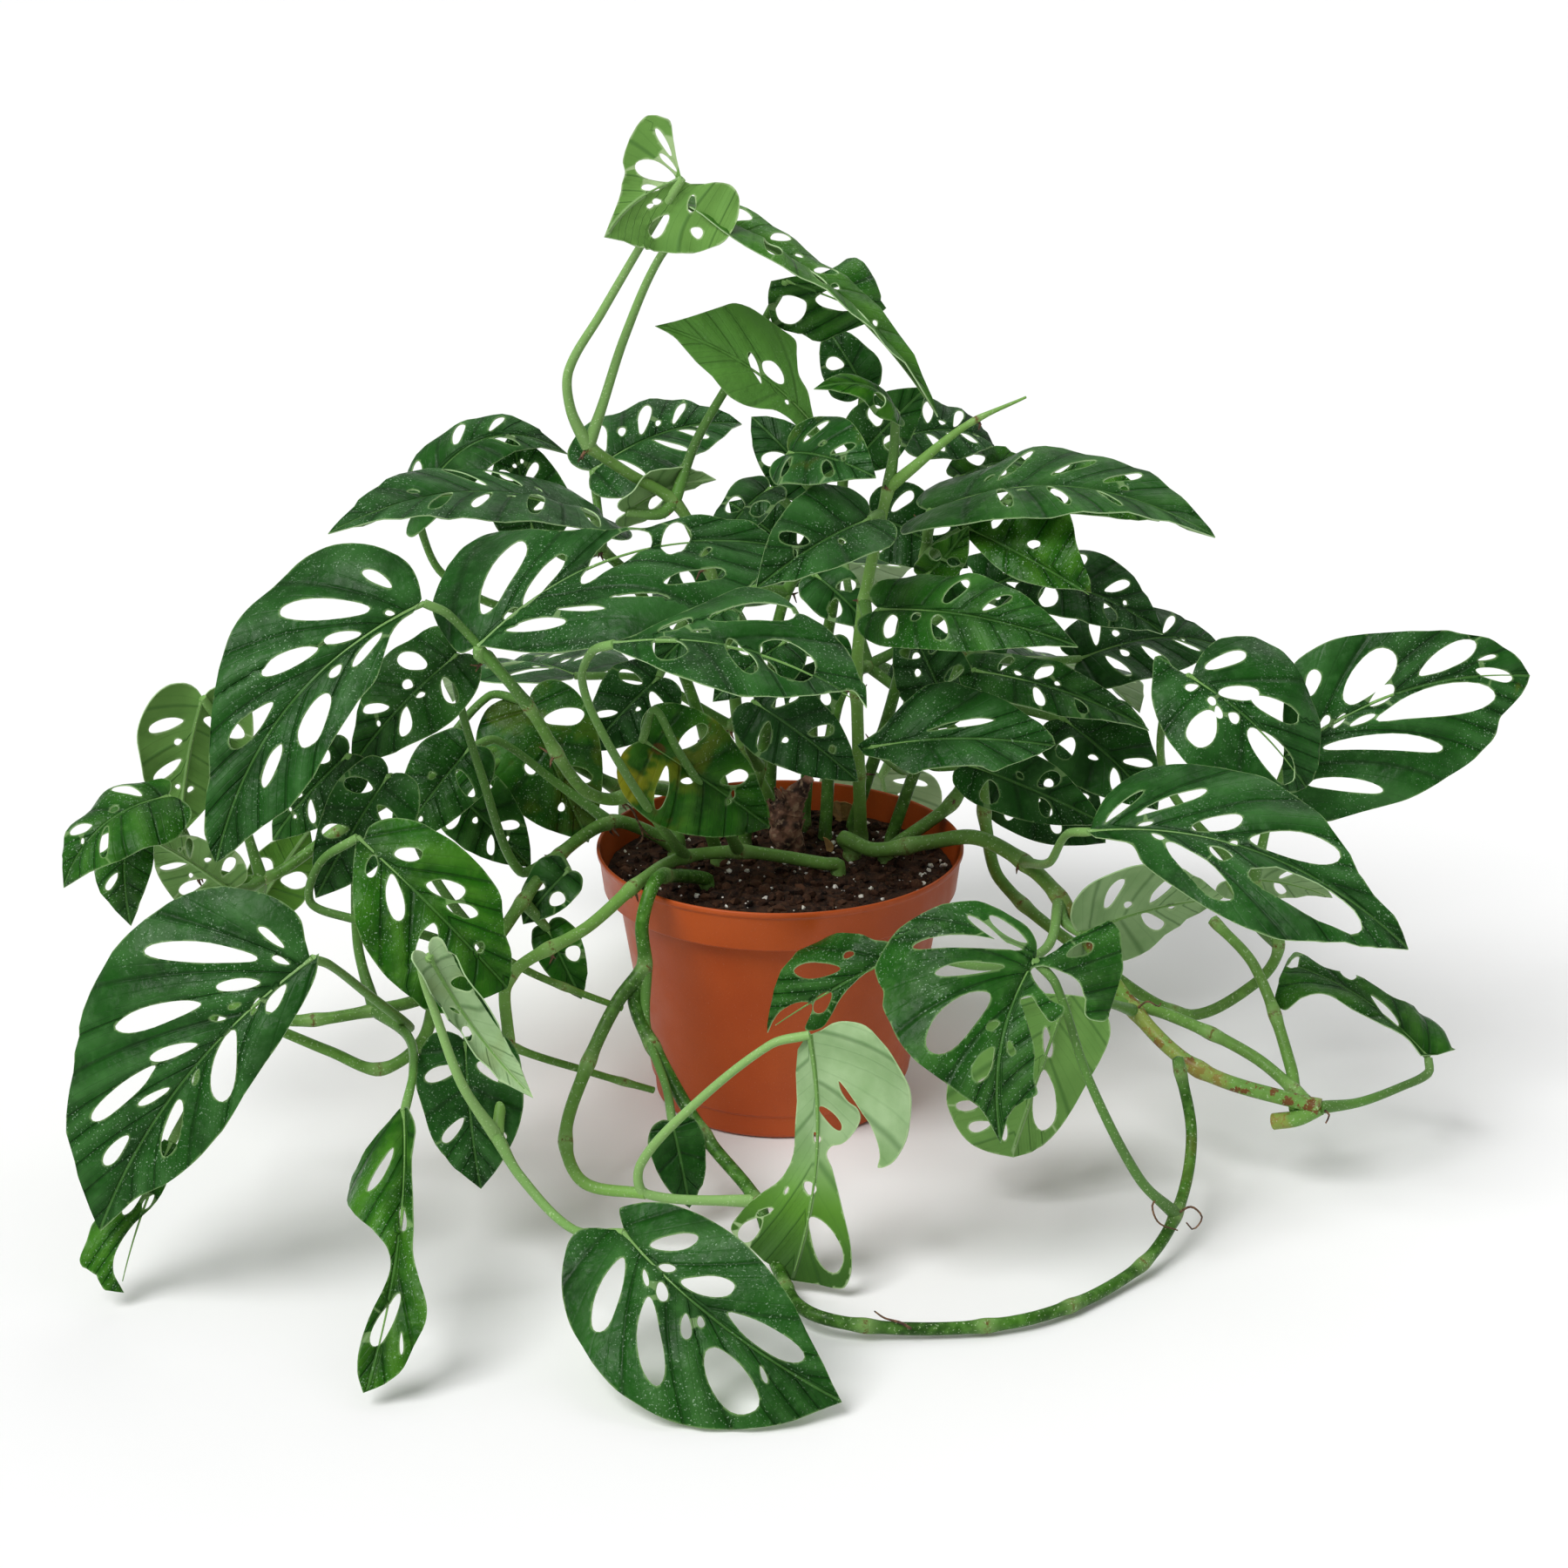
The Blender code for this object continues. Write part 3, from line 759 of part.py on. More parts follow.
class Blade:
    """One leaf's surface: where it lies, how it bends, and where its holes are."""

    def __init__(self, spec):
        self.spec = spec
        self.base = spec["base"]
        along = spec["tip"] - self.base
        self.length = along.length
        self.along = along.normalized()
        self.up = (spec["face"] - self.along * spec["face"].dot(self.along)).normalized()
        self.side = self.along.cross(self.up)
        self.wide = spec["width"] / (2 * LEAF_SIDE_W)
        self.lean = 1 + random.Random(spec["seed"]).uniform(-LEAN, LEAN)

    def spot(self, across, down):
        """The flat leaf's (u, v) that is seen at these pixels."""
        want, at = Vector((across, down)), Vector(SPOT_START)
        for _ in range(SPOT_STEPS):
            here = shown(self.place(at.x, at.y))
            along = (shown(self.place(at.x + SPOT_TRY, at.y)) - here) / SPOT_TRY
            out = (shown(self.place(at.x, at.y + SPOT_TRY)) - here) / SPOT_TRY
            miss = want - here
            area = along.x * out.y - along.y * out.x
            step = Vector((miss.x * out.y - miss.y * out.x, along.x * miss.y - along.y * miss.x)) / area
            at += step * min(1.0, SPOT_STRIDE / max(step.length, 1e-9))
        return at

    def edge(self, keep):
        """The outline in leaf lengths: out along one side and back along the other."""
        if self.spec["seed"] in LEAF_SEEN:
            out, back = LEAF_SEEN[self.spec["seed"]][0]
            out = thinned(settled([self.spot(*p) for p in out], EDGE_FINE), keep / self.length)
            back = thinned(settled([self.spot(*p) for p in back], EDGE_FINE), keep / self.length)
            return out[:-1] + back
        half = [Vector((u, v * self.wide)) for u, v in LEAF_SIDE]
        right = [Vector((u, v * self.lean)) for u, v in half]
        left = [Vector((u, -v * (2 - self.lean))) for u, v in half]
        right = thinned(settled(right, EDGE_FINE), keep / self.length)
        left = thinned(settled(left, EDGE_FINE), keep / self.length)
        return right[:-1] + left[:0:-1]

    def midrib(self, u):
        """(place, tangent, normal, side) of the midrib at u."""
        bow = (self.up * self.spec["arch"] + self.side * self.spec["sway"]) * 4
        rise = u * (1 - u) if u > 0 else u
        slope = 1 - 2 * u if u > 0 else 1
        place = self.base + (self.along * u + bow * rise) * self.length
        tangent = (self.along + bow * slope).normalized()
        side = tangent.cross(self.up).normalized()
        normal = side.cross(tangent)
        turn = self.spec["twist"] * u
        turned_side = side * math.cos(turn) + normal * math.sin(turn)
        return place, tangent, normal * math.cos(turn) - side * math.sin(turn), turned_side

    def place(self, u, v):
        """Where the flat leaf's (u, v) lies in the plant, in mm."""
        spot, _, normal, side = self.midrib(u)
        reach = LEAF_SIDE_W * self.wide * self.length
        out = abs(v) * self.length
        fold, curl = self.spec["fold"], max(self.spec["curl"], 0.01)
        bend = curl / reach
        across = (math.sin(fold) - math.sin(fold - bend * out)) / bend
        rise = (math.cos(fold - bend * out) - math.cos(fold)) / bend
        turns = WAVES * u + WAVE_START * self.spec["seed"] + (WAVE_LEFT if v > 0 else 0.0)
        ripple = math.sin(2 * math.pi * turns)
        rise += WAVE * ripple * (out / reach) ** 2
        return spot + side * math.copysign(across, v) + normal * rise

    def reach(self, u, turn, edge):
        """How far the edge is from the midrib at u, in the direction `turn`."""
        ray = Vector((math.cos(turn), math.sin(turn)))
        best = 1.0
        for a, b in zip(edge, edge[1:] + edge[:1]):
            step = b - a
            cross = ray.x * step.y - ray.y * step.x
            if abs(cross) < 1e-9:
                continue
            gap = a - Vector((u, 0.0))
            far = (gap.x * step.y - gap.y * step.x) / cross
            share = (gap.x * ray.y - gap.y * ray.x) / cross
            if far > 0.01 and 0 <= share <= 1:
                best = min(best, far)
        return best

    def gap(self, row):
        """A row's hole, as holes gives it, with no corners where the hole is too small to keep."""
        x1, y1, x2, y2, wide = row
        inner, outer = self.spot(x1, y1), self.spot(x2, y2)
        across = Vector((y1 - y2, x2 - x1)).normalized() * wide / 2
        middle = self.spot((x1 + x2) / 2, (y1 + y2) / 2)
        half = (self.spot((x1 + x2) / 2 + across.x, (y1 + y2) / 2 + across.y) - middle).length
        way = outer - inner
        long, broad = way.length * self.length, 2 * half * self.length
        corners = 0
        if min(long, broad) > GAP_LEAST or long > GAP_MIDDLE:
            corners = 4 if long < GAP_SMALL or broad < GAP_LEAST else 6 if long > GAP_LONG else 5
        return (inner + outer) / 2, way.length / 2, half, math.atan2(way.y, way.x), corners

    def holes(self):
        """(centre, half length, half width, turn, corners) of each hole, in leaf lengths."""
        if self.spec["seed"] in LEAF_SEEN:
            return [hole for hole in map(self.gap, LEAF_SEEN[self.spec["seed"]][1]) if hole[4]]
        draw = random.Random(self.spec["seed"])
        edge = self.edge(0.0)
        rows, corners = next((n, c) for size, n, c in HOLE_SIZES if self.length >= size)
        gap = (HOLE_END - HOLE_START) / rows
        found = []
        for hand in (1, -1):
            for k in range(rows):
                share = (k + 0.5 + draw.uniform(-HOLE_VARY, HOLE_VARY)) / rows
                start = HOLE_START + (HOLE_END - HOLE_START) * share
                turn = HOLE_TURN + (HOLE_END_TURN - HOLE_TURN) * share
                turn = math.radians(turn + draw.uniform(-HOLE_TURN_VARY, HOLE_TURN_VARY))
                far = self.reach(start, hand * turn, edge)
                near, last = draw.uniform(*HOLE_NEAR), draw.uniform(*HOLE_FAR)
                fat = gap * math.sin(turn) * draw.uniform(*HOLE_FAT)
                kept = draw.random() < HOLE_KEEP
                if k < hand * self.spec["slits"]:
                    last, kept = SLIT_REACH, True
                mid = Vector((math.cos(turn), hand * math.sin(turn))) * far * (near + last) / 2
                if kept:
                    middle, half = Vector((start, 0.0)) + mid, far * (last - near) / 2
                    found.append((middle, half, fat, hand * turn, corners))
        return found


def hole_ring(centre, long, wide, turn, corners):
    """An egg-shaped ring, its blunt end towards the leaf's edge."""
    ring = []
    long, wide = long * HOLE_GROW[corners], wide * HOLE_GROW[corners]
    for k in range(corners):
        angle = 2 * math.pi * k / corners
        along, across = long * math.cos(angle), wide * math.sin(angle) * (1 + HOLE_EGG * math.cos(angle))
        ring.append(centre + Vector((
            along * math.cos(turn) - across * math.sin(turn), along * math.sin(turn) + across * math.cos(turn)
        )))
    return ring


def inside(point, ring):
    """Whether a flat point lies in a closed ring."""
    hit = False
    for a, b in zip(ring, ring[1:] + ring[:1]):
        if (a.y > point.y) != (b.y > point.y):
            if point.x < a.x + (b.x - a.x) * (point.y - a.y) / (b.y - a.y):
                hit = not hit
    return hit


def flat_blade(blade):
    """The leaf flat, in leaf lengths, as (points, triangles), with its holes left out."""
    edge = blade.edge(EDGE_KEPT)
    rings = [hole_ring(*hole) for hole in blade.holes()]
    spine = [Vector((u, 0.0)) for u in (SPINE if blade.length > SPINE_LONG else SHORT_SPINE)]
    points, lines = [], []
    for ring in [edge] + rings:
        first = len(points)
        points += ring
        lines += [(first + i, first + (i + 1) % len(ring)) for i in range(len(ring))]
    first = len(points)
    points += spine
    lines += [(first + i, first + i + 1) for i in range(len(spine) - 1)]
    flat, _, faces, _, _, _ = delaunay_2d_cdt(points, lines, [], 0, 1e-6)
    kept = []
    for face in faces:
        middle = sum((flat[i] for i in face), Vector((0.0, 0.0))) / 3
        if inside(middle, edge) and not any(inside(middle, ring) for ring in rings):
            kept.append(tuple(face))
    return flat, kept


def new_material(name, colour, roughness):
    """A Principled material of one colour."""
    material = bpy.data.materials.new(name)
    material.use_nodes = True
    shader = material.node_tree.nodes["Principled BSDF"]
    shader.inputs["Base Color"].default_value = (*colour, 1.0)
    shader.inputs["Roughness"].default_value = roughness
    return material


def meshed(name, data, group):
    """A new object that shows `data`, in the collection `group`."""
    thing = bpy.data.objects.new(name, data)
    group.objects.link(thing)
    return thing


def solid_mesh(thing):
    """Turns the object, with its modifiers, into a plain welded mesh object of the same name."""
    bpy.context.view_layer.update()
    made = bpy.data.meshes.new_from_object(thing.evaluated_get(bpy.context.evaluated_depsgraph_get()))
    form = bmesh.new()
    form.from_mesh(made)
    bmesh.ops.remove_doubles(form, verts=form.verts, dist=WELD * MM)
    bmesh.ops.triangulate(form, faces=form.faces)
    bmesh.ops.recalc_face_normals(form, faces=form.faces)
    form.to_mesh(made)
    form.free()
    name, group = thing.name, thing.users_collection[0]
    bpy.data.objects.remove(thing)
    return meshed(name, made, group)


def tube(name, path, group, rounding=1):
    """A solid tube along (point, radius) pairs in mm, with 4 + 2 x rounding sides."""
    curve = bpy.data.curves.new(name, "CURVE")
    curve.dimensions = "3D"
    curve.bevel_depth = MM
    curve.bevel_resolution = rounding
    curve.use_fill_caps = True
    spline = curve.splines.new("POLY")
    spline.points.add(len(path) - 1)
    for knot, (point, radius) in zip(spline.points, path):
        knot.co = (*(point * MM), 1.0)
        knot.radius = radius
    return solid_mesh(meshed(name, curve, group))


def blade_solid(name, blade, group):
    """The leaf's surface, bent into place and given its thickness."""
    flat, faces = flat_blade(blade)
    surface = bpy.data.meshes.new(name)
    surface.from_pydata([blade.place(p.x, p.y) * MM for p in flat], [], faces)
    form = bmesh.new()
    form.from_mesh(surface)
    bmesh.ops.delete(form, geom=[v for v in form.verts if not v.link_faces], context="VERTS")
    form.to_mesh(surface)
    form.free()
    thing = meshed(name, surface, group)
    shell = thing.modifiers.new("Thickness", "SOLIDIFY")
    shell.thickness = BLADE * MM
    shell.offset = 0.0
    return solid_mesh(thing)


def stalk_path(stem, spec, blade):
    """The leaf stalk from its stem to the leaf's base and on beneath the blade as its midrib."""
    _, _, upper, _ = blade.midrib(0.0)
    under = spec["base"] - upper * (PETIOLE_END_R + BLADE / 2 + RIB_UNDER)
    stalk = settled([stem[spec["at"]], *spec["via"], under], PATH_FINE)
    path = tapered(thinned(stalk, PATH_KEPT), PETIOLE_R, PETIOLE_END_R)
    return path + [(blade.midrib(RIB_REACH)[0], RIB_R)]


def cleaned(thing, corners=None):
    """Leaves the object as one body without loose scraps or sealed hollows, shaded smooth between its edges.

    `corners` holds the points of the pieces that it is made from. Other points go where their seam runs on
    straight.
    """
    form = bmesh.new()
    form.from_mesh(thing.data)
    if corners:
        seams = [v for v in form.verts if corners.find(v.co)[2] > SEAM_NEAR * MM]
        edges = list({edge for vert in seams for edge in vert.link_edges})
        bmesh.ops.dissolve_limit(form, angle_limit=SEAM_BEND, verts=seams, edges=edges)
    left, pieces = set(form.verts), []
    while left:
        piece, edge = set(), [left.pop()]
        while edge:
            vert = edge.pop()
            piece.add(vert)
            for link in vert.link_edges:
                other = link.other_vert(vert)
                if other in left:
                    left.remove(other)
                    edge.append(other)
        pieces.append(piece)
    keep = max(pieces, key=len)
    bmesh.ops.delete(form, geom=[v for v in form.verts if v not in keep], context="VERTS")
    bmesh.ops.triangulate(form, faces=form.faces)
    form.to_mesh(thing.data)
    form.free()
    thing.data.shade_smooth()
    thing.data.set_sharp_from_angle(angle=SHARP_FROM)


def fused(name, pieces, material, group):
    """One object from overlapping pieces, by a union on the collection that holds the others."""
    body = pieces[0]
    corners = KDTree(sum(len(piece.data.vertices) for piece in pieces))
    for piece in pieces:
        for vert in piece.data.vertices:
            corners.insert(vert.co, 0)
    corners.balance()
    others = bpy.data.collections.new(name + " pieces")
    bpy.context.scene.collection.children.link(others)
    for piece in pieces[1:]:
        group.objects.unlink(piece)
        others.objects.link(piece)
    union = body.modifiers.new("Union", "BOOLEAN")
    union.operation = "UNION"
    union.solver = "MANIFOLD"
    union.operand_type = "COLLECTION"
    union.collection = others
    whole = solid_mesh(body)
    for piece in list(others.objects):
        bpy.data.objects.remove(piece)
    bpy.data.collections.remove(others)
    cleaned(whole, corners)
    whole.name = name
    whole.data.materials.clear()
    whole.data.materials.append(material)
    return whole


def vine(name, branches, material, group):
    """One vine: its stems, leaf stalks and leaves, fused."""
    pieces = []
    for stem in branches:
        curve = settled(stem["points"], PATH_FINE)
        sunk = 2 * PATH_FINE if stem["points"][0].z == ROOT_Z else 0
        curve = curve[:sunk:PATH_FINE] + thinned(curve[sunk:], PATH_KEPT)
        pieces.append(tube("stem", tapered(curve, stem["start"], stem["end"]), group))
        for spec in stem["leaves"]:
            blade = Blade(spec)
            pieces.append(tube("stalk", stalk_path(stem["points"], spec, blade), group, STALK_ROUNDING))
            pieces.append(blade_solid("blade", blade, group))
    return fused(name, pieces, material, group)


def turned(name, profile, sides, group):
    """A solid turned about the Z axis from a profile of (radius, height) in mm, down its outer side first."""
    outline = bpy.data.meshes.new(name)
    outline.from_pydata([(r * MM, 0.0, z * MM) for r, z in profile],
                        [(i, i + 1) for i in range(len(profile) - 1)], [])
    thing = meshed(name, outline, group)
    screw = thing.modifiers.new("Turn", "SCREW")
    screw.steps = sides
    screw.render_steps = sides
    screw.use_merge_vertices = True
    screw.merge_threshold = 0.0001
    return solid_mesh(thing)


def cut(thing, cutters, group):
    """Cuts every cutter out of the object and returns the plain result."""
    others = bpy.data.collections.new(thing.name + " cutters")
    bpy.context.scene.collection.children.link(others)
    for cutter in cutters:
        group.objects.unlink(cutter)
        others.objects.link(cutter)
    bite = thing.modifiers.new("Cut", "BOOLEAN")
    bite.operation = "DIFFERENCE"
    bite.solver = "EXACT"
    bite.operand_type = "COLLECTION"
    bite.collection = others
    name = thing.name
    whole = solid_mesh(thing)
    for cutter in list(others.objects):
        bpy.data.objects.remove(cutter)
    bpy.data.collections.remove(others)
    cleaned(whole)
    whole.name = name
    return whole


def peg(x, y, radius, low, high, sides, group):
    """An upright cylinder in mm."""
    form = bmesh.new()
    bmesh.ops.create_cone(form, cap_ends=True, segments=sides, radius1=radius * MM, radius2=radius * MM,
                          depth=(high - low) * MM)
    data = bpy.data.meshes.new("peg")
    bmesh.ops.translate(form, verts=form.verts, vec=Vector((x, y, (low + high) / 2)) * MM)
    form.to_mesh(data)
    form.free()
    return meshed("peg", data, group)


def make_pot(group):
    profile = POT_INSIDE[::-1] + POT_OUTSIDE[::-1]
    pot = turned("pot", profile, POT_SIDES, group)
    drains = []
    for k in range(DRAINS):
        angle = 2 * math.pi * (k + 0.5) / DRAINS
        x, y = DRAIN_RING * math.cos(angle), DRAIN_RING * math.sin(angle)
        drains.append(peg(x, y, DRAIN_R, DRAIN_LOW, DRAIN_HIGH, DRAIN_SIDES, group))
    return cut(pot, drains, group)


def make_soil(group):
    """Potting mix that fills the pot, with a lumpy top and a plain hole for everything that stands in it."""
    top = [(0.0, SOIL_Z), (SOIL_RING, SOIL_Z), SOIL_RIM]
    wall = [(r - SOIL_GAP, z) for r, z in POT_INSIDE if POT_FLOOR < z < SOIL_Z]
    foot = [(POT_INSIDE[-2][0] - SOIL_GAP, POT_FLOOR + SOIL_GAP), (0.0, POT_FLOOR + SOIL_GAP)]
    soil = turned("soil", top + wall + foot, POT_SIDES, group)
    draw = random.Random(5)
    for vert in soil.data.vertices:
        if vert.co.z > SOIL_RIM[1] * MM + MM / 2:
            vert.co.z += draw.uniform(-SOIL_LUMP, SOIL_LUMP) * MM
    pegs = []
    for branches in VINES.values():
        x, y = branches[0]["points"][0].xy
        bore = (branches[0]["start"] + ROOT_GAP) / math.cos(math.pi / BORE_SIDES)
        pegs.append(peg(x, y, bore, BORE_LOW, BORE_HIGH, BORE_SIDES, group))
    pegs.append(peg(*STUMP_AT, STUMP_R + ROOT_GAP, BORE_LOW, BORE_HIGH, 2 * BORE_SIDES, group))
    return cut(soil, pegs, group)


def make_stump(group):
    """The dried foot of an old stem: a crooked brown stub that stands in its own hole."""
    x, y = STUMP_AT
    foot = Vector((x, y, ROOT_Z))
    path = [(foot + Vector((dx, dy, dz)), r) for dx, dy, dz, r in STUMP_WAY]
    stump = tube("dry_stump", path, group)
    cleaned(stump)
    return stump


def clear_scene():
    for thing in list(bpy.data.objects):
        bpy.data.objects.remove(thing)


def main():
    clear_scene()
    group = bpy.data.collections.new("swiss cheese vine")
    bpy.context.scene.collection.children.link(group)
    plastic = new_material("terracotta plastic", (0.45, 0.10, 0.035), 0.45)
    mix = new_material("potting mix", (0.03, 0.018, 0.012), 0.95)
    husk = new_material("dry husk", (0.12, 0.06, 0.035), 0.9)
    green = new_material("vine green", (0.03, 0.11, 0.03), 0.45)
    for thing, material in (
        (make_pot(group), plastic), (make_soil(group), mix), (make_stump(group), husk),
    ):
        thing.data.materials.clear()
        thing.data.materials.append(material)
    for name, branches in VINES.items():
        vine(name, branches, green, group)


main()
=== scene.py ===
"""Swiss cheese vine in a terracotta-coloured plastic nursery pot: its looks.

Metres, +Z up, the pot's axis on Z and its base on z = 0. The front of the plant faces -Y. Tables are in
millimetres. A place on the plant is given as seen from the front: pixels across and down a frame 1800 pixels
wide, as read, with a chosen distance behind the pot's axis.
"""

import math
import random

import bmesh
import bpy
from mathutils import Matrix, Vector, noise
from mathutils.geometry import delaunay_2d_cdt
from mathutils.kdtree import KDTree


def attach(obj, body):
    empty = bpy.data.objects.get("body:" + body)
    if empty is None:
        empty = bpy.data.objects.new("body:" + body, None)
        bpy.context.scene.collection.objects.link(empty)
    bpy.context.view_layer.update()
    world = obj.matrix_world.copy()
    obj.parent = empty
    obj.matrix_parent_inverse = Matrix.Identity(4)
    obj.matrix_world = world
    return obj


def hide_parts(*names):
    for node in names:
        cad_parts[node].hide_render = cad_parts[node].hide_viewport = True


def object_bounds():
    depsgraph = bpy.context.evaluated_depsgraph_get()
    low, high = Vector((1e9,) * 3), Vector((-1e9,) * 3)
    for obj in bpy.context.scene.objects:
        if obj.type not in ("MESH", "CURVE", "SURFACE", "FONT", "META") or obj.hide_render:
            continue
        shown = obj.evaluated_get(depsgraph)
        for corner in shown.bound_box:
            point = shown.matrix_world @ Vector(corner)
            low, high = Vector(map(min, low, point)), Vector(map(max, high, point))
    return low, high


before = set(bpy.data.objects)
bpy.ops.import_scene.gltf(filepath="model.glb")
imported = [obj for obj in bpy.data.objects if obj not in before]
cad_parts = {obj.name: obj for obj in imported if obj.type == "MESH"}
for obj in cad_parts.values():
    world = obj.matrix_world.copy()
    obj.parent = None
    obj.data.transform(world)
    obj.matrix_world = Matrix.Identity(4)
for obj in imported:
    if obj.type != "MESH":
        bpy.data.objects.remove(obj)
CAD_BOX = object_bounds()

MM = 0.001
PLAIN = (0.0, 0.0, 0.0)

# Viewing frame that the tables are read in
PX = 0.3585
FRAME_MID = 900
FRAME_WIDE = 1800
EYE_FAR = 1500.0
EYE_SIN, EYE_COS = 0.350, 0.937
AIM_X, AIM_Z = 1.6, 136.5
SENSOR = 36.0

# Pot, six inch: profiles of (radius, height)
POT_OUTSIDE = (
    (0.0, 0.0), (51.0, 0.0), (52.4, 1.2), (53.2, 10.0), (54.4, 11.0), (67.5, 91.5),
    (73.2, 92.6), (75.0, 107.0), (76.0, 108.0), (76.0, 110.0),
)
POT_FLOOR = 2.2
POT_INSIDE = (
    (74.6, 110.0), (71.8, 94.4), (66.0, 93.0), (52.2, 10.0), (51.0, POT_FLOOR), (0.0, POT_FLOOR),
)
POT_SIDES, POT_BEND, BEND_STEPS = 144, 0.8, 4
DRAINS, DRAIN_SIDES, DRAIN_R, DRAIN_RING = 6, 24, 4.5, 38.0
DRAIN_LOW, DRAIN_HIGH = -1.0, 5.0

# Potting mix, with lumps of (size, height)
SOIL_GAP = 0.3
SOIL_Z, SOIL_EDGE, SOIL_EDGE_Z = 99.0, 72.0, 97.8
SOIL_RINGS, SOIL_SIDES, SOIL_TONE = 34, 150, 0.2
SOIL_LUMPS = ((14.0, 1.3), (4.5, 0.9), (1.8, 0.45))
# What lies loose on it: (how many, least and greatest half size, material slot, how drawn out)
LOOSE = ((900, (0.5, 2.8), 0, 1.2), (260, (0.3, 1.6), 1, 1.1), (60, (0.5, 1.1), 0, 4.0))
LOOSE_SEED, LOOSE_IN, LOOSE_UP = 12, 3.0, 0.3
LUMP_ROUGH, LUMP_FINE, LUMP_FLAT = 0.45, 1.3, 0.75
ROOT_Z = 58.0
ROOT_TOPS = (100.0, 103.0)

# Dry foot of an old stem: where it stands, its line with its radii, and its flakes
STUMP_AT, STUMP_SEED, STUMP_SIDES, STUMP_STEP, STUMP_UNEVEN = (4.0, 18.0), 3, 28, 1.2, (0.9, 0.12, 0.35)
STUMP_WAY = (
    (0, 0, 30, 6.0), (0, 0, 45, 6.2), (-2, -1, 51, 7.0), (-1, 2, 59, 7.6), (3, 1, 67, 4.6), (8, -2, 75, 2.4),
)
HUSKS, HUSK_LONG, HUSK_WIDE, HUSK_CURL, HUSK_STEPS = 22, (6.0, 13.0), (1.8, 3.2), 2.4, 5
HUSK_CRUMPLE = ((1.5, 0.28), (0.7, 0.7))
HUSK_THICK, HUSK_CUP, HUSK_CREST = 0.35, 0.5, 0.25

# Stems and leaf stalks
STEM_R, STEM_END_R = 2.9, 2.2
PETIOLE_R, PETIOLE_END_R = 2.1, 1.5
STEM_SIDES, STALK_SIDES, RIB_SIDES, CAP = 14, 10, 6, 0.4
TUBE_STEP, PATH_FINE = 1.6, 10
NODE_GAP, NODE_REACH, NODE_SWELL, NODE_APART, NODE_SHIFT = 42.0, 4.0, 0.24, 0.55, 5.0
SCAR_HALF, WORN_FADE = 0.9, 0.1
NUB_BARE, NUB_LONG, NUB_R, NUB_SIDES, NUB_LEAST_Z = 0.25, (2.0, 6.0), (0.75, 0.55, 0.2), 6, 1.5
ROOT_R, ROOT_END_R, ROOT_TONE = 0.55, 0.28, (0.5, 0.0, 0.0)
KNEE_LONG, KNEE_SWELL, FOOT_LONG, FOOT_SWELL = 9.0, 0.2, 12.0, 0.3
RIB_START, RIB_END, RIB_R, RIB_END_R, RIB_STEP, RIB_UNDER = 0.0, 0.93, 0.85, 0.2, 4.0, 0.65
RIB_FULL, RIB_LEAST, RIB_MOST, RIB_TAPER = 90.0, 0.35, 1.3, 0.7

# Leaves
BLADE = 0.5
WAVE, WAVES, WAVE_START, WAVE_LEFT = 1.5, 1.6, 0.13, 0.3
SHARP_FROM = math.radians(42)
EDGE_FINE, EDGE_KEPT = 8, 0.06
GRID, GRID_ROW, GRID_CLEAR = 2.3, 0.866, 0.45
# Half of a leaf in leaf lengths: (along the midrib, out from it)
LEAF_SIDE = (
    (0.0, 0.0), (-0.045, 0.05), (-0.07, 0.13), (-0.045, 0.225), (0.06, 0.31), (0.21, 0.345),
    (0.38, 0.335), (0.55, 0.29), (0.71, 0.215), (0.84, 0.13), (0.93, 0.058), (1.0, 0.0),
)
LEAF_SIDE_W, LEAN = 0.345, 0.12
HOLE_START, HOLE_END = 0.0, 0.62
HOLE_TURN, HOLE_END_TURN, HOLE_TURN_VARY = 82.0, 36.0, 5.0
HOLE_VARY, HOLE_NEAR, HOLE_FAR, HOLE_FAT, HOLE_EGG = 0.12, (0.12, 0.24), (0.76, 0.87), (0.14, 0.22), 0.25
HOLE_KEEP = 0.78
# Holes to a side: (for a leaf this long or longer, how many)
HOLE_SIZES = ((100.0, 4), (68.0, 3), (42.0, 2), (0.0, 1))
HOLE_CORNERS, HOLE_WOBBLE = 26, 0.07
SMALL_HOLES, SMALL_NEAR, SMALL_LONG, SMALL_FAT, SMALL_CLEAR = 0.4, (0.1, 0.3), (0.05, 0.11), (0.16, 0.3), 1.3
SPOT_START, SPOT_STEPS, SPOT_TRY, SPOT_STRIDE = (0.4, 0.0), 14, 0.002, 0.2
SLIT_REACH = 1.2

# Relief of a leaf's upper side, in mm
GROOVE, GROOVE_WIDE = 0.6, 1.6
QUILT, QUILT_FADE = 0.62, 6.0
UNEVEN = ((30.0, 1.7), (11.0, 0.55), (5.0, 0.16))
TILT_STEP = 0.4
# Side veins run between the large holes. RAILS are the lines of a leaf that has none: (start, turn)
VEIN_FROM, VEIN_LEAST, VEIN_MOST = 9.0, math.radians(24), 2.6
VEIN_SPAN, VEIN_HALVINGS = 1.2, 14
RAILS = ((0.15, math.radians(HOLE_TURN)), (0.5, math.radians(HOLE_END_TURN)))
RAIL_BEFORE, RAIL_AFTER = (0.2, 0.5), (0.18, 0.15)
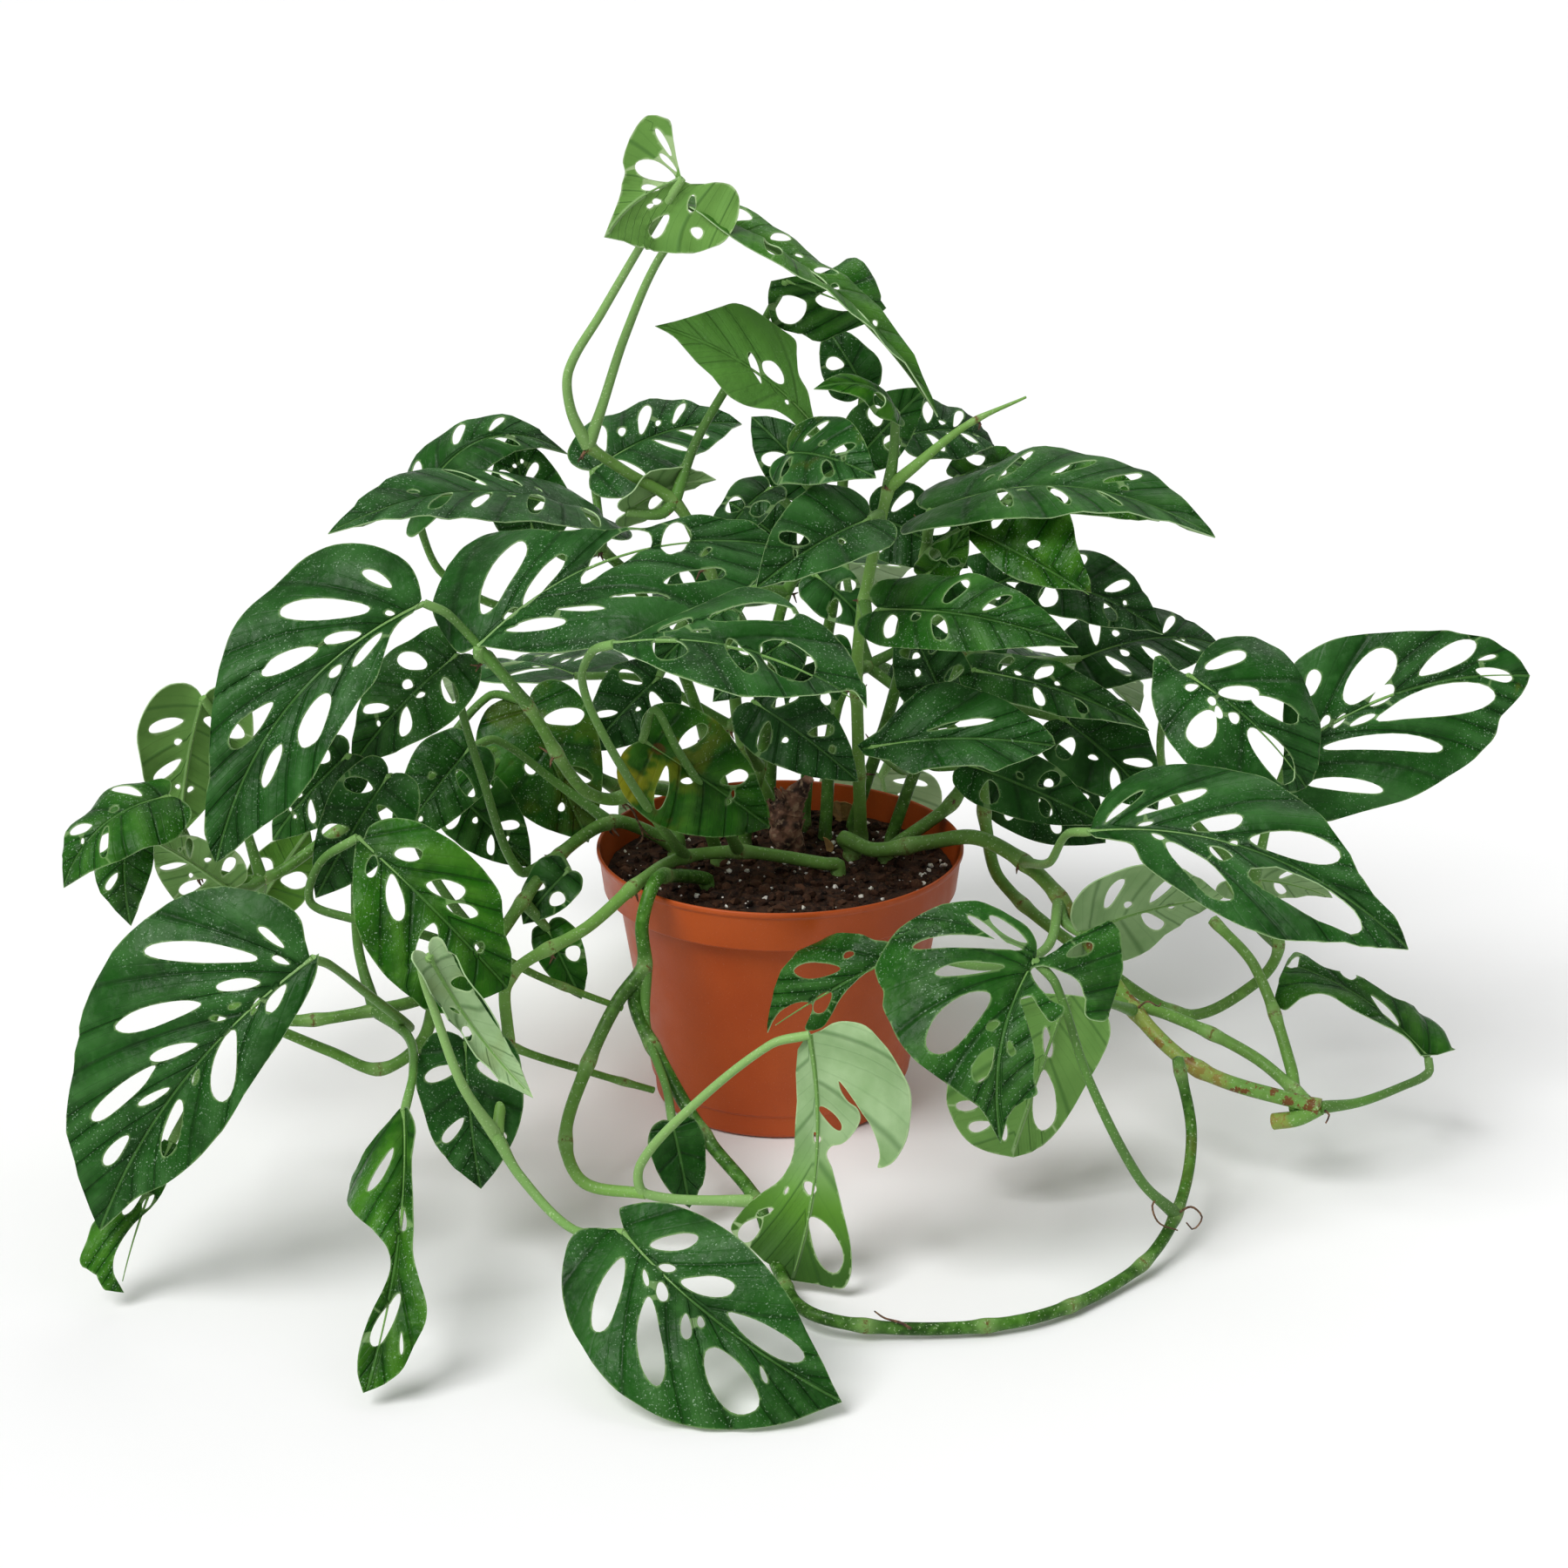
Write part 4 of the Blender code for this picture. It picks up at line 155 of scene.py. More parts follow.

# How each leaf is coloured, from dark 0 by bright 1 to pale 2. The others are drawn about TONE_MID.
# Leaf 81's pale tone is painted light: the leaf is coloured pale where it stands lit in the crown
TONES = {
    1: 0.05, 2: 0.0, 3: 0.1, 26: 0.0, 27: 0.0, 28: 0.05, 42: 0.12, 41: 0.2, 21: 0.3, 91: 0.4, 44: 0.8,
    43: 0.8, 47: 0.9, 15: 0.35, 22: 0.9, 25: 1.0, 92: 0.6, 72: 0.0, 6: 0.7, 56: 0.5, 34: 0.6, 31: 0.45,
    71: 0.9, 81: 2.4, 53: 0.7, 36: 0.7, 32: 0.0, 67: 0.3, 68: 0.25, 96: 0.2, 46: 0.1, 51: 0.55, 52: 0.5,
    64: 0.5, 62: 1.35, 61: 0.75, 45: 0.1, 48: 0.3, 49: 0.2, 74: 0.1, 73: 0.4, 37: 0.3, 82: 0.8, 87: 0.9,
    63: 0.5, 83: 0.3, 24: 0.9, 35: 0.7, 57: 0.3, 58: 0.2, 59: 0.6, 66: 0.6, 60: 0.4,
}
TONE_MID, TONE_VARY, TONE_MOST = 0.5, 0.22, 2.4
# A leaf that turns to another tone along it: (from, to, tone)
# Leaf 81's turn belongs to the same painted light and keeps it pale towards its tip
TURNS = {32: (0.3, 0.9, 1.45), 81: (0.7, 1.2, 1.6)}
# How much of a leaf has browned
BROWNED = {72: 0.1, 56: 0.12, 46: 0.1}
# A leaf that has aged from one end: (where it is sound, where it is fully aged)
AGED = {26: (0.93, 1.0), 6: (0.5, -0.05), 22: (0.9, 1.1), 74: (0.96, 1.06)}
# Painted shade: how much darker the leaves inside the crown are coloured, for the shade that falls there
CROWN_PAINTED_SHADE = dict(
    vine_core=0.85, vine_back_left=0.65, vine_back_right=0.65, vine_crown=0.6, vine_left_back=0.4,
    vine_right_mid=0.4,
)
# How pale the stalk of a leaf and the stems of a vine are, and those that aren't listed
PALE_STALKS = {46: 1.0, 32: 1.0, 61: 0.8, 62: 0.7, 41: 0.6, 28: 0.5, 42: 0.3, 3: 0.4, 37: 0.6}
STALK_PALE, STEM_PALE = 0.25, 0.2
PALE_STEMS = dict(
    vine_front_left=0.55, vine_front_loop=0.0, vine_right=0.6, vine_far_right=0.4, vine_spike=0.8,
    vine_left_low=0.4, vine_left_high=0.45, vine_top=0.6,
)
# By vine and branch: how pale a stem is at its end, and where it has brown scars in shares of its length
PALE_ENDS = {("vine_front_loop", 1): 1.15, ("vine_front_left", 0): 0.9}
WORN_STEMS = {
    ("vine_right", 0): (0.5, 1.1), ("vine_front_loop", 0): (0.88, 0.97), ("vine_right", 1): (0.55, 1.4),
}
UNWORN = (2.0, 2.0)

# Studio: (name, where it shines from, softness in degrees, strength)
WORLD_LIGHT = 0.38
LIGHTS = (
    ("key light", (-0.9, -0.8, 1.5), 34.0, 2.6),
    ("back light", (0.5, 1.2, 1.6), 50.0, 0.6),
)
FLOOR_HALF, FLOOR_Z = 30.0, -0.0003


def seen(across, down, back):
    """The place seen `across` and `down` the frame in pixels, `back` mm behind the pot's axis."""
    k = (FRAME_MID - down) * PX / EYE_FAR
    up = (k * (EYE_FAR + EYE_COS * back) - EYE_SIN * back) / (EYE_COS + EYE_SIN * k)
    far = EYE_COS * back - EYE_SIN * up
    return Vector((AIM_X + (across - FRAME_MID) * PX * (EYE_FAR + far) / EYE_FAR, back, AIM_Z + up))


def lying(across, down, high):
    """The place seen `across` and `down` the frame in pixels, `high` mm above the surface."""
    k = (FRAME_MID - down) * PX / EYE_FAR
    up = high - AIM_Z
    back = (up * (EYE_COS + EYE_SIN * k) - k * EYE_FAR) / (EYE_COS * k - EYE_SIN)
    return seen(across, down, back)


def shown(place):
    """The pixels across and down the frame at which a place is seen."""
    up = place.z - AIM_Z
    far = EYE_COS * place.y - EYE_SIN * up
    k = (up * EYE_COS + EYE_SIN * place.y) / (EYE_FAR + far)
    across = FRAME_MID + (place.x - AIM_X) / PX * EYE_FAR / (EYE_FAR + far)
    return Vector((across, FRAME_MID - k * EYE_FAR / PX))


def root(x, y):
    """The sunk foot of a stem, upright to just above the soil."""
    return [Vector((x, y, z)) for z in (ROOT_Z, *ROOT_TOPS)]


def placed(rows):
    """The rows as places in the plant: each is one already, or three numbers as `seen` takes them."""
    return [row if isinstance(row, Vector) else seen(*row) for row in rows]


def leaf(seed, at, base, tip, face, width, arch, via=(), fold=14, curl=30, twist=0, sway=0.0, slits=0):
    """A leaf from its base to its tip, its upper side turned to `face`. Angles are degrees.

    Its stalk leaves point `at` of its stem and runs through `via`. Its width, and how far it bows up by
    `arch` and to its right by `sway`, are shares of its length. Its first `slits` holes run out through the
    right edge. `seed` is its number. One with a row in LEAF_SEEN takes its outline and holes from there.
    """
    base, tip = placed((base, tip))
    return dict(
        seed=seed, at=at, base=base, tip=tip, face=Vector(face), width=width, arch=arch, via=placed(via),
        fold=math.radians(fold), curl=math.radians(curl), twist=math.radians(twist), sway=sway, slits=slits,
    )


def branch(points, leaves=(), start=STEM_R, end=STEM_END_R):
    """A length of stem through `points`, with the leaves that leave it and its radii at both ends."""
    return dict(points=placed(points), leaves=leaves, start=start, end=end)


# Leaves with an outline and holes of their own, in pixels of the viewing frame: its side from base to tip
# and its side from tip to base, each across, down, across, down and so on, then its holes. A hole is its
# inner end, its outer end and its full width.
LEAF_SEEN = {
    1: ((484, 688, 480, 668, 470, 649, 448, 634, 418, 625, 380, 628, 342, 647, 310, 676, 284, 700, 264, 729,
        251, 768, 244, 802, 240, 845, 239, 893, 235, 953, 247, 991),
        (247, 991, 263, 981, 301, 949, 332, 927, 356, 897, 373, 868, 391, 837, 411, 805, 431, 780, 441, 750,
        449, 728, 460, 713, 474, 703),
        ((427, 702, 320, 703, 24), (449, 676, 417, 656, 12), (453, 705, 442, 704, 6),
        (414, 728, 372, 736, 13), (364, 744, 302, 774, 19), (439, 727, 405, 765, 12),
        (391, 764, 379, 778, 9), (376, 796, 347, 858, 26), (313, 808, 265, 857, 22),
        (323, 855, 301, 903, 14))),
    2: ((548, 741, 528, 750, 511, 731, 500, 711, 497, 697, 504, 672, 516, 648, 536, 627, 561, 613, 600, 609,
        650, 609, 700, 608, 740, 606, 762, 599, 792, 592, 818, 591, 846, 595, 870, 602, 890, 622),
        (890, 622, 884, 648, 866, 668, 840, 684, 800, 706, 760, 722, 720, 736, 675, 745, 636, 749, 600, 747,
        556, 742),
        ((556, 709, 599, 624, 29), (578, 710, 595, 700, 7), (600, 697, 648, 637, 17),
        (668, 668, 744, 613, 24), (768, 640, 782, 601, 28), (804, 638, 816, 629, 4),
        (760, 672, 834, 656, 16), (700, 687, 768, 687, 6), (640, 700, 694, 699, 6),
        (580, 724, 649, 714, 12))),
    3: ((703, 737, 730, 728, 748, 718, 770, 708, 795, 698, 822, 686, 848, 676, 871, 676, 896, 686, 918, 704,
        950, 725, 971, 745, 982, 771, 992, 786, 996, 812),
        (996, 812, 979, 793, 951, 795, 926, 797, 898, 800, 857, 800, 829, 793, 801, 786, 765, 771, 742, 758,
        704, 746),
        ((756, 725, 794, 713, 10), (808, 713, 914, 706, 20), (756, 732, 778, 756, 27),
        (836, 734, 864, 776, 20), (876, 737, 930, 780, 34), (795, 725, 815, 725, 3))),
    42: ((356, 1101, 350, 1080, 345, 1057, 333, 1042, 313, 1030, 283, 1022, 253, 1019, 220, 1025, 190, 1038,
        167, 1057, 140, 1083, 120, 1112, 103, 1143, 93, 1180, 86, 1220, 77, 1267, 75, 1287, 87, 1340, 100,
        1380, 114, 1414),
        (114, 1414, 130, 1400, 153, 1378, 190, 1360, 217, 1340, 240, 1317, 263, 1287, 280, 1257, 300, 1227,
        320, 1198, 337, 1170, 350, 1147, 362, 1120, 366, 1095),
        ((326, 1088, 297, 1065, 9), (332, 1107, 312, 1099, 7), (293, 1101, 168, 1092, 24),
        (299, 1128, 248, 1134, 14), (231, 1152, 134, 1182, 24), (276, 1153, 262, 1158, 6),
        (258, 1170, 241, 1170, 6), (227, 1198, 173, 1217, 14), (178, 1226, 105, 1288, 20),
        (195, 1249, 160, 1269, 9), (148, 1303, 119, 1338, 15), (328, 1131, 306, 1163, 14),
        (297, 1146, 288, 1165, 6), (268, 1180, 251, 1266, 27), (228, 1228, 221, 1246, 6),
        (208, 1262, 192, 1327, 20))),
    41: ((716, 1413, 712, 1390, 722, 1386, 742, 1382, 766, 1382, 790, 1389, 810, 1398, 834, 1413, 856, 1429,
        876, 1450, 896, 1476, 912, 1500, 926, 1530, 942, 1560, 956, 1590, 967, 1610),
        (967, 1610, 940, 1620, 910, 1632, 870, 1640, 830, 1642, 790, 1638, 760, 1628, 730, 1612, 704, 1594,
        682, 1568, 668, 1546, 652, 1520, 645, 1492, 644, 1472, 648, 1444, 654, 1426, 666, 1413, 684, 1410,
        702, 1412),
        ((747, 1430, 803, 1424, 18), (755, 1454, 775, 1458, 9), (784, 1473, 844, 1480, 23),
        (838, 1509, 919, 1561, 27), (715, 1446, 684, 1530, 28), (739, 1458, 744, 1479, 6),
        (744, 1491, 754, 1592, 28), (758, 1472, 762, 1495, 13), (787, 1510, 789, 1540, 12),
        (803, 1512, 806, 1526, 8), (815, 1546, 861, 1623, 44), (873, 1569, 880, 1589, 6))),
    28: ((1250, 955, 1263, 924, 1278, 905, 1298, 892, 1322, 883, 1357, 879, 1387, 879, 1416, 882, 1440, 889,
        1460, 898, 1481, 910, 1499, 923, 1519, 942, 1537, 964, 1552, 985, 1564, 1008, 1584, 1033, 1605,
        1058, 1618, 1090),
        (1618, 1090, 1575, 1088, 1543, 1083, 1505, 1082, 1469, 1078, 1440, 1069, 1413, 1057, 1387, 1044,
        1363, 1029, 1343, 1016, 1325, 1002, 1310, 988, 1300, 971, 1278, 964, 1257, 961),
        ((1270, 945, 1313, 911, 8), (1304, 939, 1387, 908, 13), (1306, 948, 1324, 945, 4),
        (1366, 952, 1428, 941, 18), (1434, 964, 1538, 983, 33), (1411, 968, 1421, 967, 5),
        (1323, 959, 1336, 967, 6), (1340, 970, 1411, 1034, 30), (1389, 973, 1413, 986, 12),
        (1428, 998, 1564, 1069, 42))),
    26: ((1474, 862, 1473, 845, 1473, 815, 1478, 780, 1487, 761, 1508, 746, 1534, 734, 1564, 728, 1602, 725,
        1637, 725, 1661, 724, 1676, 728, 1708, 733, 1726, 743, 1741, 753, 1757, 776),
        (1757, 776, 1752, 790, 1741, 805, 1729, 817, 1721, 827, 1718, 842, 1711, 852, 1693, 871, 1670, 887,
        1643, 904, 1617, 917, 1584, 927, 1552, 936, 1522, 944, 1492, 936, 1476, 912, 1472, 885),
        ((1503, 800, 1511, 770, 16), (1545, 811, 1600, 747, 38), (1573, 810, 1600, 788, 16),
        (1631, 774, 1692, 741, 25), (1697, 758, 1718, 753, 5), (1694, 770, 1737, 780, 13),
        (1582, 826, 1716, 798, 36), (1516, 838, 1526, 822, 9), (1531, 836, 1545, 820, 7),
        (1551, 833, 1578, 821, 8), (1518, 859, 1655, 860, 19), (1500, 900, 1586, 908, 17))),
    27: ((1369, 774, 1375, 758, 1384, 745, 1399, 733, 1416, 730, 1440, 731, 1455, 739, 1469, 747, 1484, 762,
        1496, 781, 1505, 802, 1511, 823, 1514, 846, 1513, 867, 1509, 888, 1500, 905),
        (1500, 905, 1478, 912, 1440, 915, 1400, 905, 1366, 880, 1349, 860, 1337, 843, 1328, 823, 1322, 799,
        1323, 778, 1326, 754, 1336, 753, 1346, 764, 1360, 773),
        ((1384, 768, 1431, 750, 16), (1399, 795, 1445, 798, 17), (1436, 803, 1488, 828, 20),
        (1410, 821, 1423, 827, 13), (1386, 805, 1396, 806, 11), (1397, 811, 1400, 826, 9),
        (1391, 817, 1371, 857, 32), (1376, 786, 1361, 791, 8), (1434, 838, 1484, 897, 32))),
    15: ((1190, 1099, 1189, 1083, 1180, 1066, 1166, 1056, 1145, 1044, 1122, 1036, 1101, 1037, 1075, 1041,
        1055, 1050, 1036, 1063, 1022, 1077, 1013, 1091, 1004, 1110, 1008, 1127, 1015, 1140, 1014, 1157,
        1022, 1175, 1031, 1194, 1050, 1217, 1068, 1231, 1087, 1245, 1105, 1259, 1122, 1270, 1133, 1284,
        1149, 1314),
        (1149, 1314, 1161, 1277, 1177, 1264, 1191, 1256, 1187, 1238, 1188, 1206, 1178, 1170, 1172, 1148,
        1184, 1146, 1205, 1173, 1220, 1166, 1221, 1157, 1207, 1149, 1193, 1136, 1184, 1113, 1207, 1113,
        1230, 1122, 1244, 1140, 1246, 1164, 1252, 1172, 1268, 1173, 1277, 1150, 1288, 1117, 1288, 1090,
        1284, 1069, 1274, 1057, 1263, 1062, 1244, 1072, 1226, 1081, 1212, 1092, 1200, 1099),
        ((1172, 1092, 1047, 1086, 14), (1178, 1084, 1135, 1055, 12), (1160, 1090, 1110, 1051, 8),
        (1150, 1112, 1075, 1119, 15), (1136, 1142, 1066, 1208, 40), (1147, 1174, 1133, 1181, 9),
        (1140, 1204, 1120, 1240, 20), (1158, 1196, 1163, 1212, 7), (1224, 1099, 1254, 1085, 13))),
    36: ((1228, 1142, 1250, 1147, 1268, 1160, 1275, 1186, 1265, 1214, 1249, 1242, 1228, 1279, 1207, 1307,
        1184, 1323, 1163, 1329),
        (1163, 1329, 1138, 1324, 1117, 1315, 1103, 1302, 1093, 1284, 1086, 1262, 1090, 1230, 1110, 1190,
        1150, 1156, 1200, 1141),
        ((1200, 1180, 1205, 1214, 10), (1198, 1230, 1200, 1296, 27), (1150, 1238, 1122, 1246, 12),
        (1138, 1290, 1112, 1296, 12), (1124, 1268, 1098, 1270, 12), (1155, 1292, 1153, 1310, 6))),
    37: ((1036, 1093, 1020, 1082, 1004, 1080, 990, 1074, 969, 1072, 948, 1074, 930, 1083, 913, 1099, 899,
        1117, 890, 1138, 883, 1164, 880, 1186),
        (880, 1186, 890, 1168, 902, 1157, 918, 1151, 931, 1153, 932, 1161, 925, 1182, 943, 1181, 953, 1168,
        962, 1150, 975, 1134, 999, 1113, 1024, 1102),
        ((966, 1113, 914, 1116, 16), (981, 1095, 968, 1098, 8), (954, 1140, 934, 1162, 16))),
    32: ((926, 1190, 943, 1183, 957, 1175, 975, 1174, 993, 1179, 1011, 1194, 1025, 1210, 1036, 1230, 1043,
        1255, 1044, 1282, 1043, 1305, 1034, 1325, 1023, 1337, 1008, 1341, 1011, 1328, 1009, 1310, 1002,
        1291, 993, 1278, 982, 1262, 964, 1241, 966, 1251, 975, 1264, 986, 1272, 990, 1282, 986, 1293, 975,
        1307, 966, 1314, 954, 1317, 949, 1326, 955, 1341, 962, 1369, 968, 1396, 975, 1425, 977, 1448, 975,
        1466, 966, 1480, 939, 1475, 906, 1470),
        (906, 1470, 890, 1456, 875, 1446, 860, 1432, 839, 1412, 853, 1389, 873, 1371, 893, 1357, 906, 1339,
        912, 1320, 913, 1290, 914, 1240, 916, 1205),
        ((940, 1270, 966, 1298, 12), (935, 1300, 940, 1312, 8), (924, 1358, 935, 1370, 13),
        (932, 1399, 960, 1462, 29), (873, 1400, 850, 1424, 20), (905, 1363, 901, 1371, 4),
        (888, 1388, 868, 1396, 7))),
    47: ((458, 1273, 440, 1294, 420, 1320, 404, 1344, 398, 1370, 408, 1395, 430, 1415, 445, 1435, 448, 1455,
        440, 1480, 425, 1510, 413, 1545, 410, 1575, 417, 1600),
        (417, 1600, 440, 1590, 461, 1574, 475, 1546, 488, 1520, 490, 1500, 482, 1470, 475, 1440, 476, 1410,
        474, 1370, 474, 1330, 476, 1290, 468, 1271),
        ((452, 1320, 425, 1370, 9), (461, 1385, 465, 1415, 9), (458, 1486, 428, 1546, 18),
        (461, 1530, 461, 1556, 4))),
    43: ((204, 1314, 196, 1340, 190, 1362, 175, 1385, 150, 1410, 132, 1440, 130, 1460, 136, 1474, 142,
        1485),
        (142, 1485, 118, 1480, 110, 1465, 95, 1455, 92, 1446, 100, 1425, 107, 1403, 140, 1370, 168, 1330,
        188, 1308),
        ((166, 1360, 140, 1394, 12), (176, 1372, 164, 1388, 8))),
    44: ((417, 963, 424, 950, 439, 942, 459, 940, 484, 945, 501, 955, 523, 969, 543, 987, 560, 1004, 572,
        1021, 577, 1043, 579, 1068, 585, 1088, 587, 1107, 583, 1135),
        (583, 1135, 548, 1149, 513, 1163, 498, 1163, 485, 1158, 474, 1147, 461, 1137, 442, 1120, 427, 1100,
        415, 1078, 407, 1053, 405, 1028, 405, 1001, 407, 977, 409, 966),
        ((452, 980, 484, 982, 17), (489, 1016, 534, 1025, 21), (512, 1040, 548, 1050, 15),
        (545, 1086, 555, 1089, 12), (430, 982, 424, 1008, 13), (448, 1004, 458, 1058, 20),
        (498, 1060, 483, 1108, 22))),
    39: ((1650, 1212, 1670, 1206, 1680, 1190, 1661, 1172, 1632, 1158, 1600, 1145, 1560, 1122, 1520, 1110,
        1490, 1092, 1477, 1104),
        (1477, 1104, 1468, 1125, 1464, 1150, 1476, 1160, 1495, 1146, 1520, 1142, 1555, 1160, 1590, 1178,
        1616, 1194, 1632, 1212),
        ((1490, 1098, 1480, 1112, 9), (1539, 1115, 1556, 1124, 8), (1575, 1145, 1606, 1178, 7))),
    61: ((783, 207, 777, 183, 773, 159, 770, 139, 760, 133, 749, 131, 739, 135, 726, 152, 719, 167, 715,
        185, 717, 198, 714, 211, 711, 227, 702, 250, 693, 273),
        (693, 273, 715, 278, 736, 285, 752, 288, 775, 291, 796, 290, 819, 284, 835, 275, 845, 258, 849, 237,
        847, 222, 838, 212, 822, 209, 809, 211, 793, 211),
        ((771, 180, 753, 148, 7), (777, 197, 758, 177, 6), (775, 207, 729, 190, 21),
        (757, 217, 736, 215, 8), (759, 231, 749, 232, 7), (751, 235, 743, 238, 5), (768, 247, 748, 272, 15),
        (796, 224, 793, 244, 9), (793, 264, 806, 270, 11))),
    81: ((947, 506, 936, 486, 930, 466, 926, 448, 917, 430, 915, 409, 913, 391, 897, 378, 877, 363, 861,
        353, 843, 348, 825, 353, 801, 361, 778, 368, 752, 374),
        (752, 374, 767, 382, 780, 393, 796, 412, 817, 432, 835, 453, 853, 464, 871, 469, 890, 471, 905, 480,
        921, 496),
        ((874, 440, 859, 404, 8), (899, 440, 877, 415, 16), (901, 460, 906, 463, 5))),
    63: ((906, 318, 920, 316, 940, 314, 960, 305, 976, 296, 989, 303, 1002, 318, 1009, 339, 1016, 354),
        (1016, 354, 1003, 367, 985, 375, 960, 385, 940, 392, 921, 383, 890, 373, 883, 357, 882, 336, 885,
        323),
        ((925, 348, 892, 361, 32), (936, 346, 987, 341, 27))),
    22: ((1091, 594, 1093, 589, 1109, 583, 1133, 576, 1173, 572, 1216, 570, 1224, 583, 1232, 601, 1236, 625,
        1243, 644, 1251, 665, 1253, 681),
        (1253, 681, 1237, 677, 1200, 675, 1173, 668, 1157, 660, 1141, 649, 1120, 628, 1106, 612, 1096, 602),
        ((1141, 608, 1153, 577, 15), (1179, 624, 1194, 626, 11), (1167, 594, 1168, 581, 6))),
    31: ((984, 856, 1008, 840, 1029, 815, 1048, 796, 1067, 783, 1088, 784, 1120, 791, 1147, 801, 1173, 817,
        1195, 833, 1208, 846, 1212, 855),
        (1212, 855, 1200, 863, 1179, 873, 1157, 880, 1141, 887, 1125, 881, 1104, 880, 1083, 881, 1061, 884,
        1048, 889, 1032, 881, 1016, 872, 992, 867),
        ((1066, 839, 1140, 826, 7),)),
}

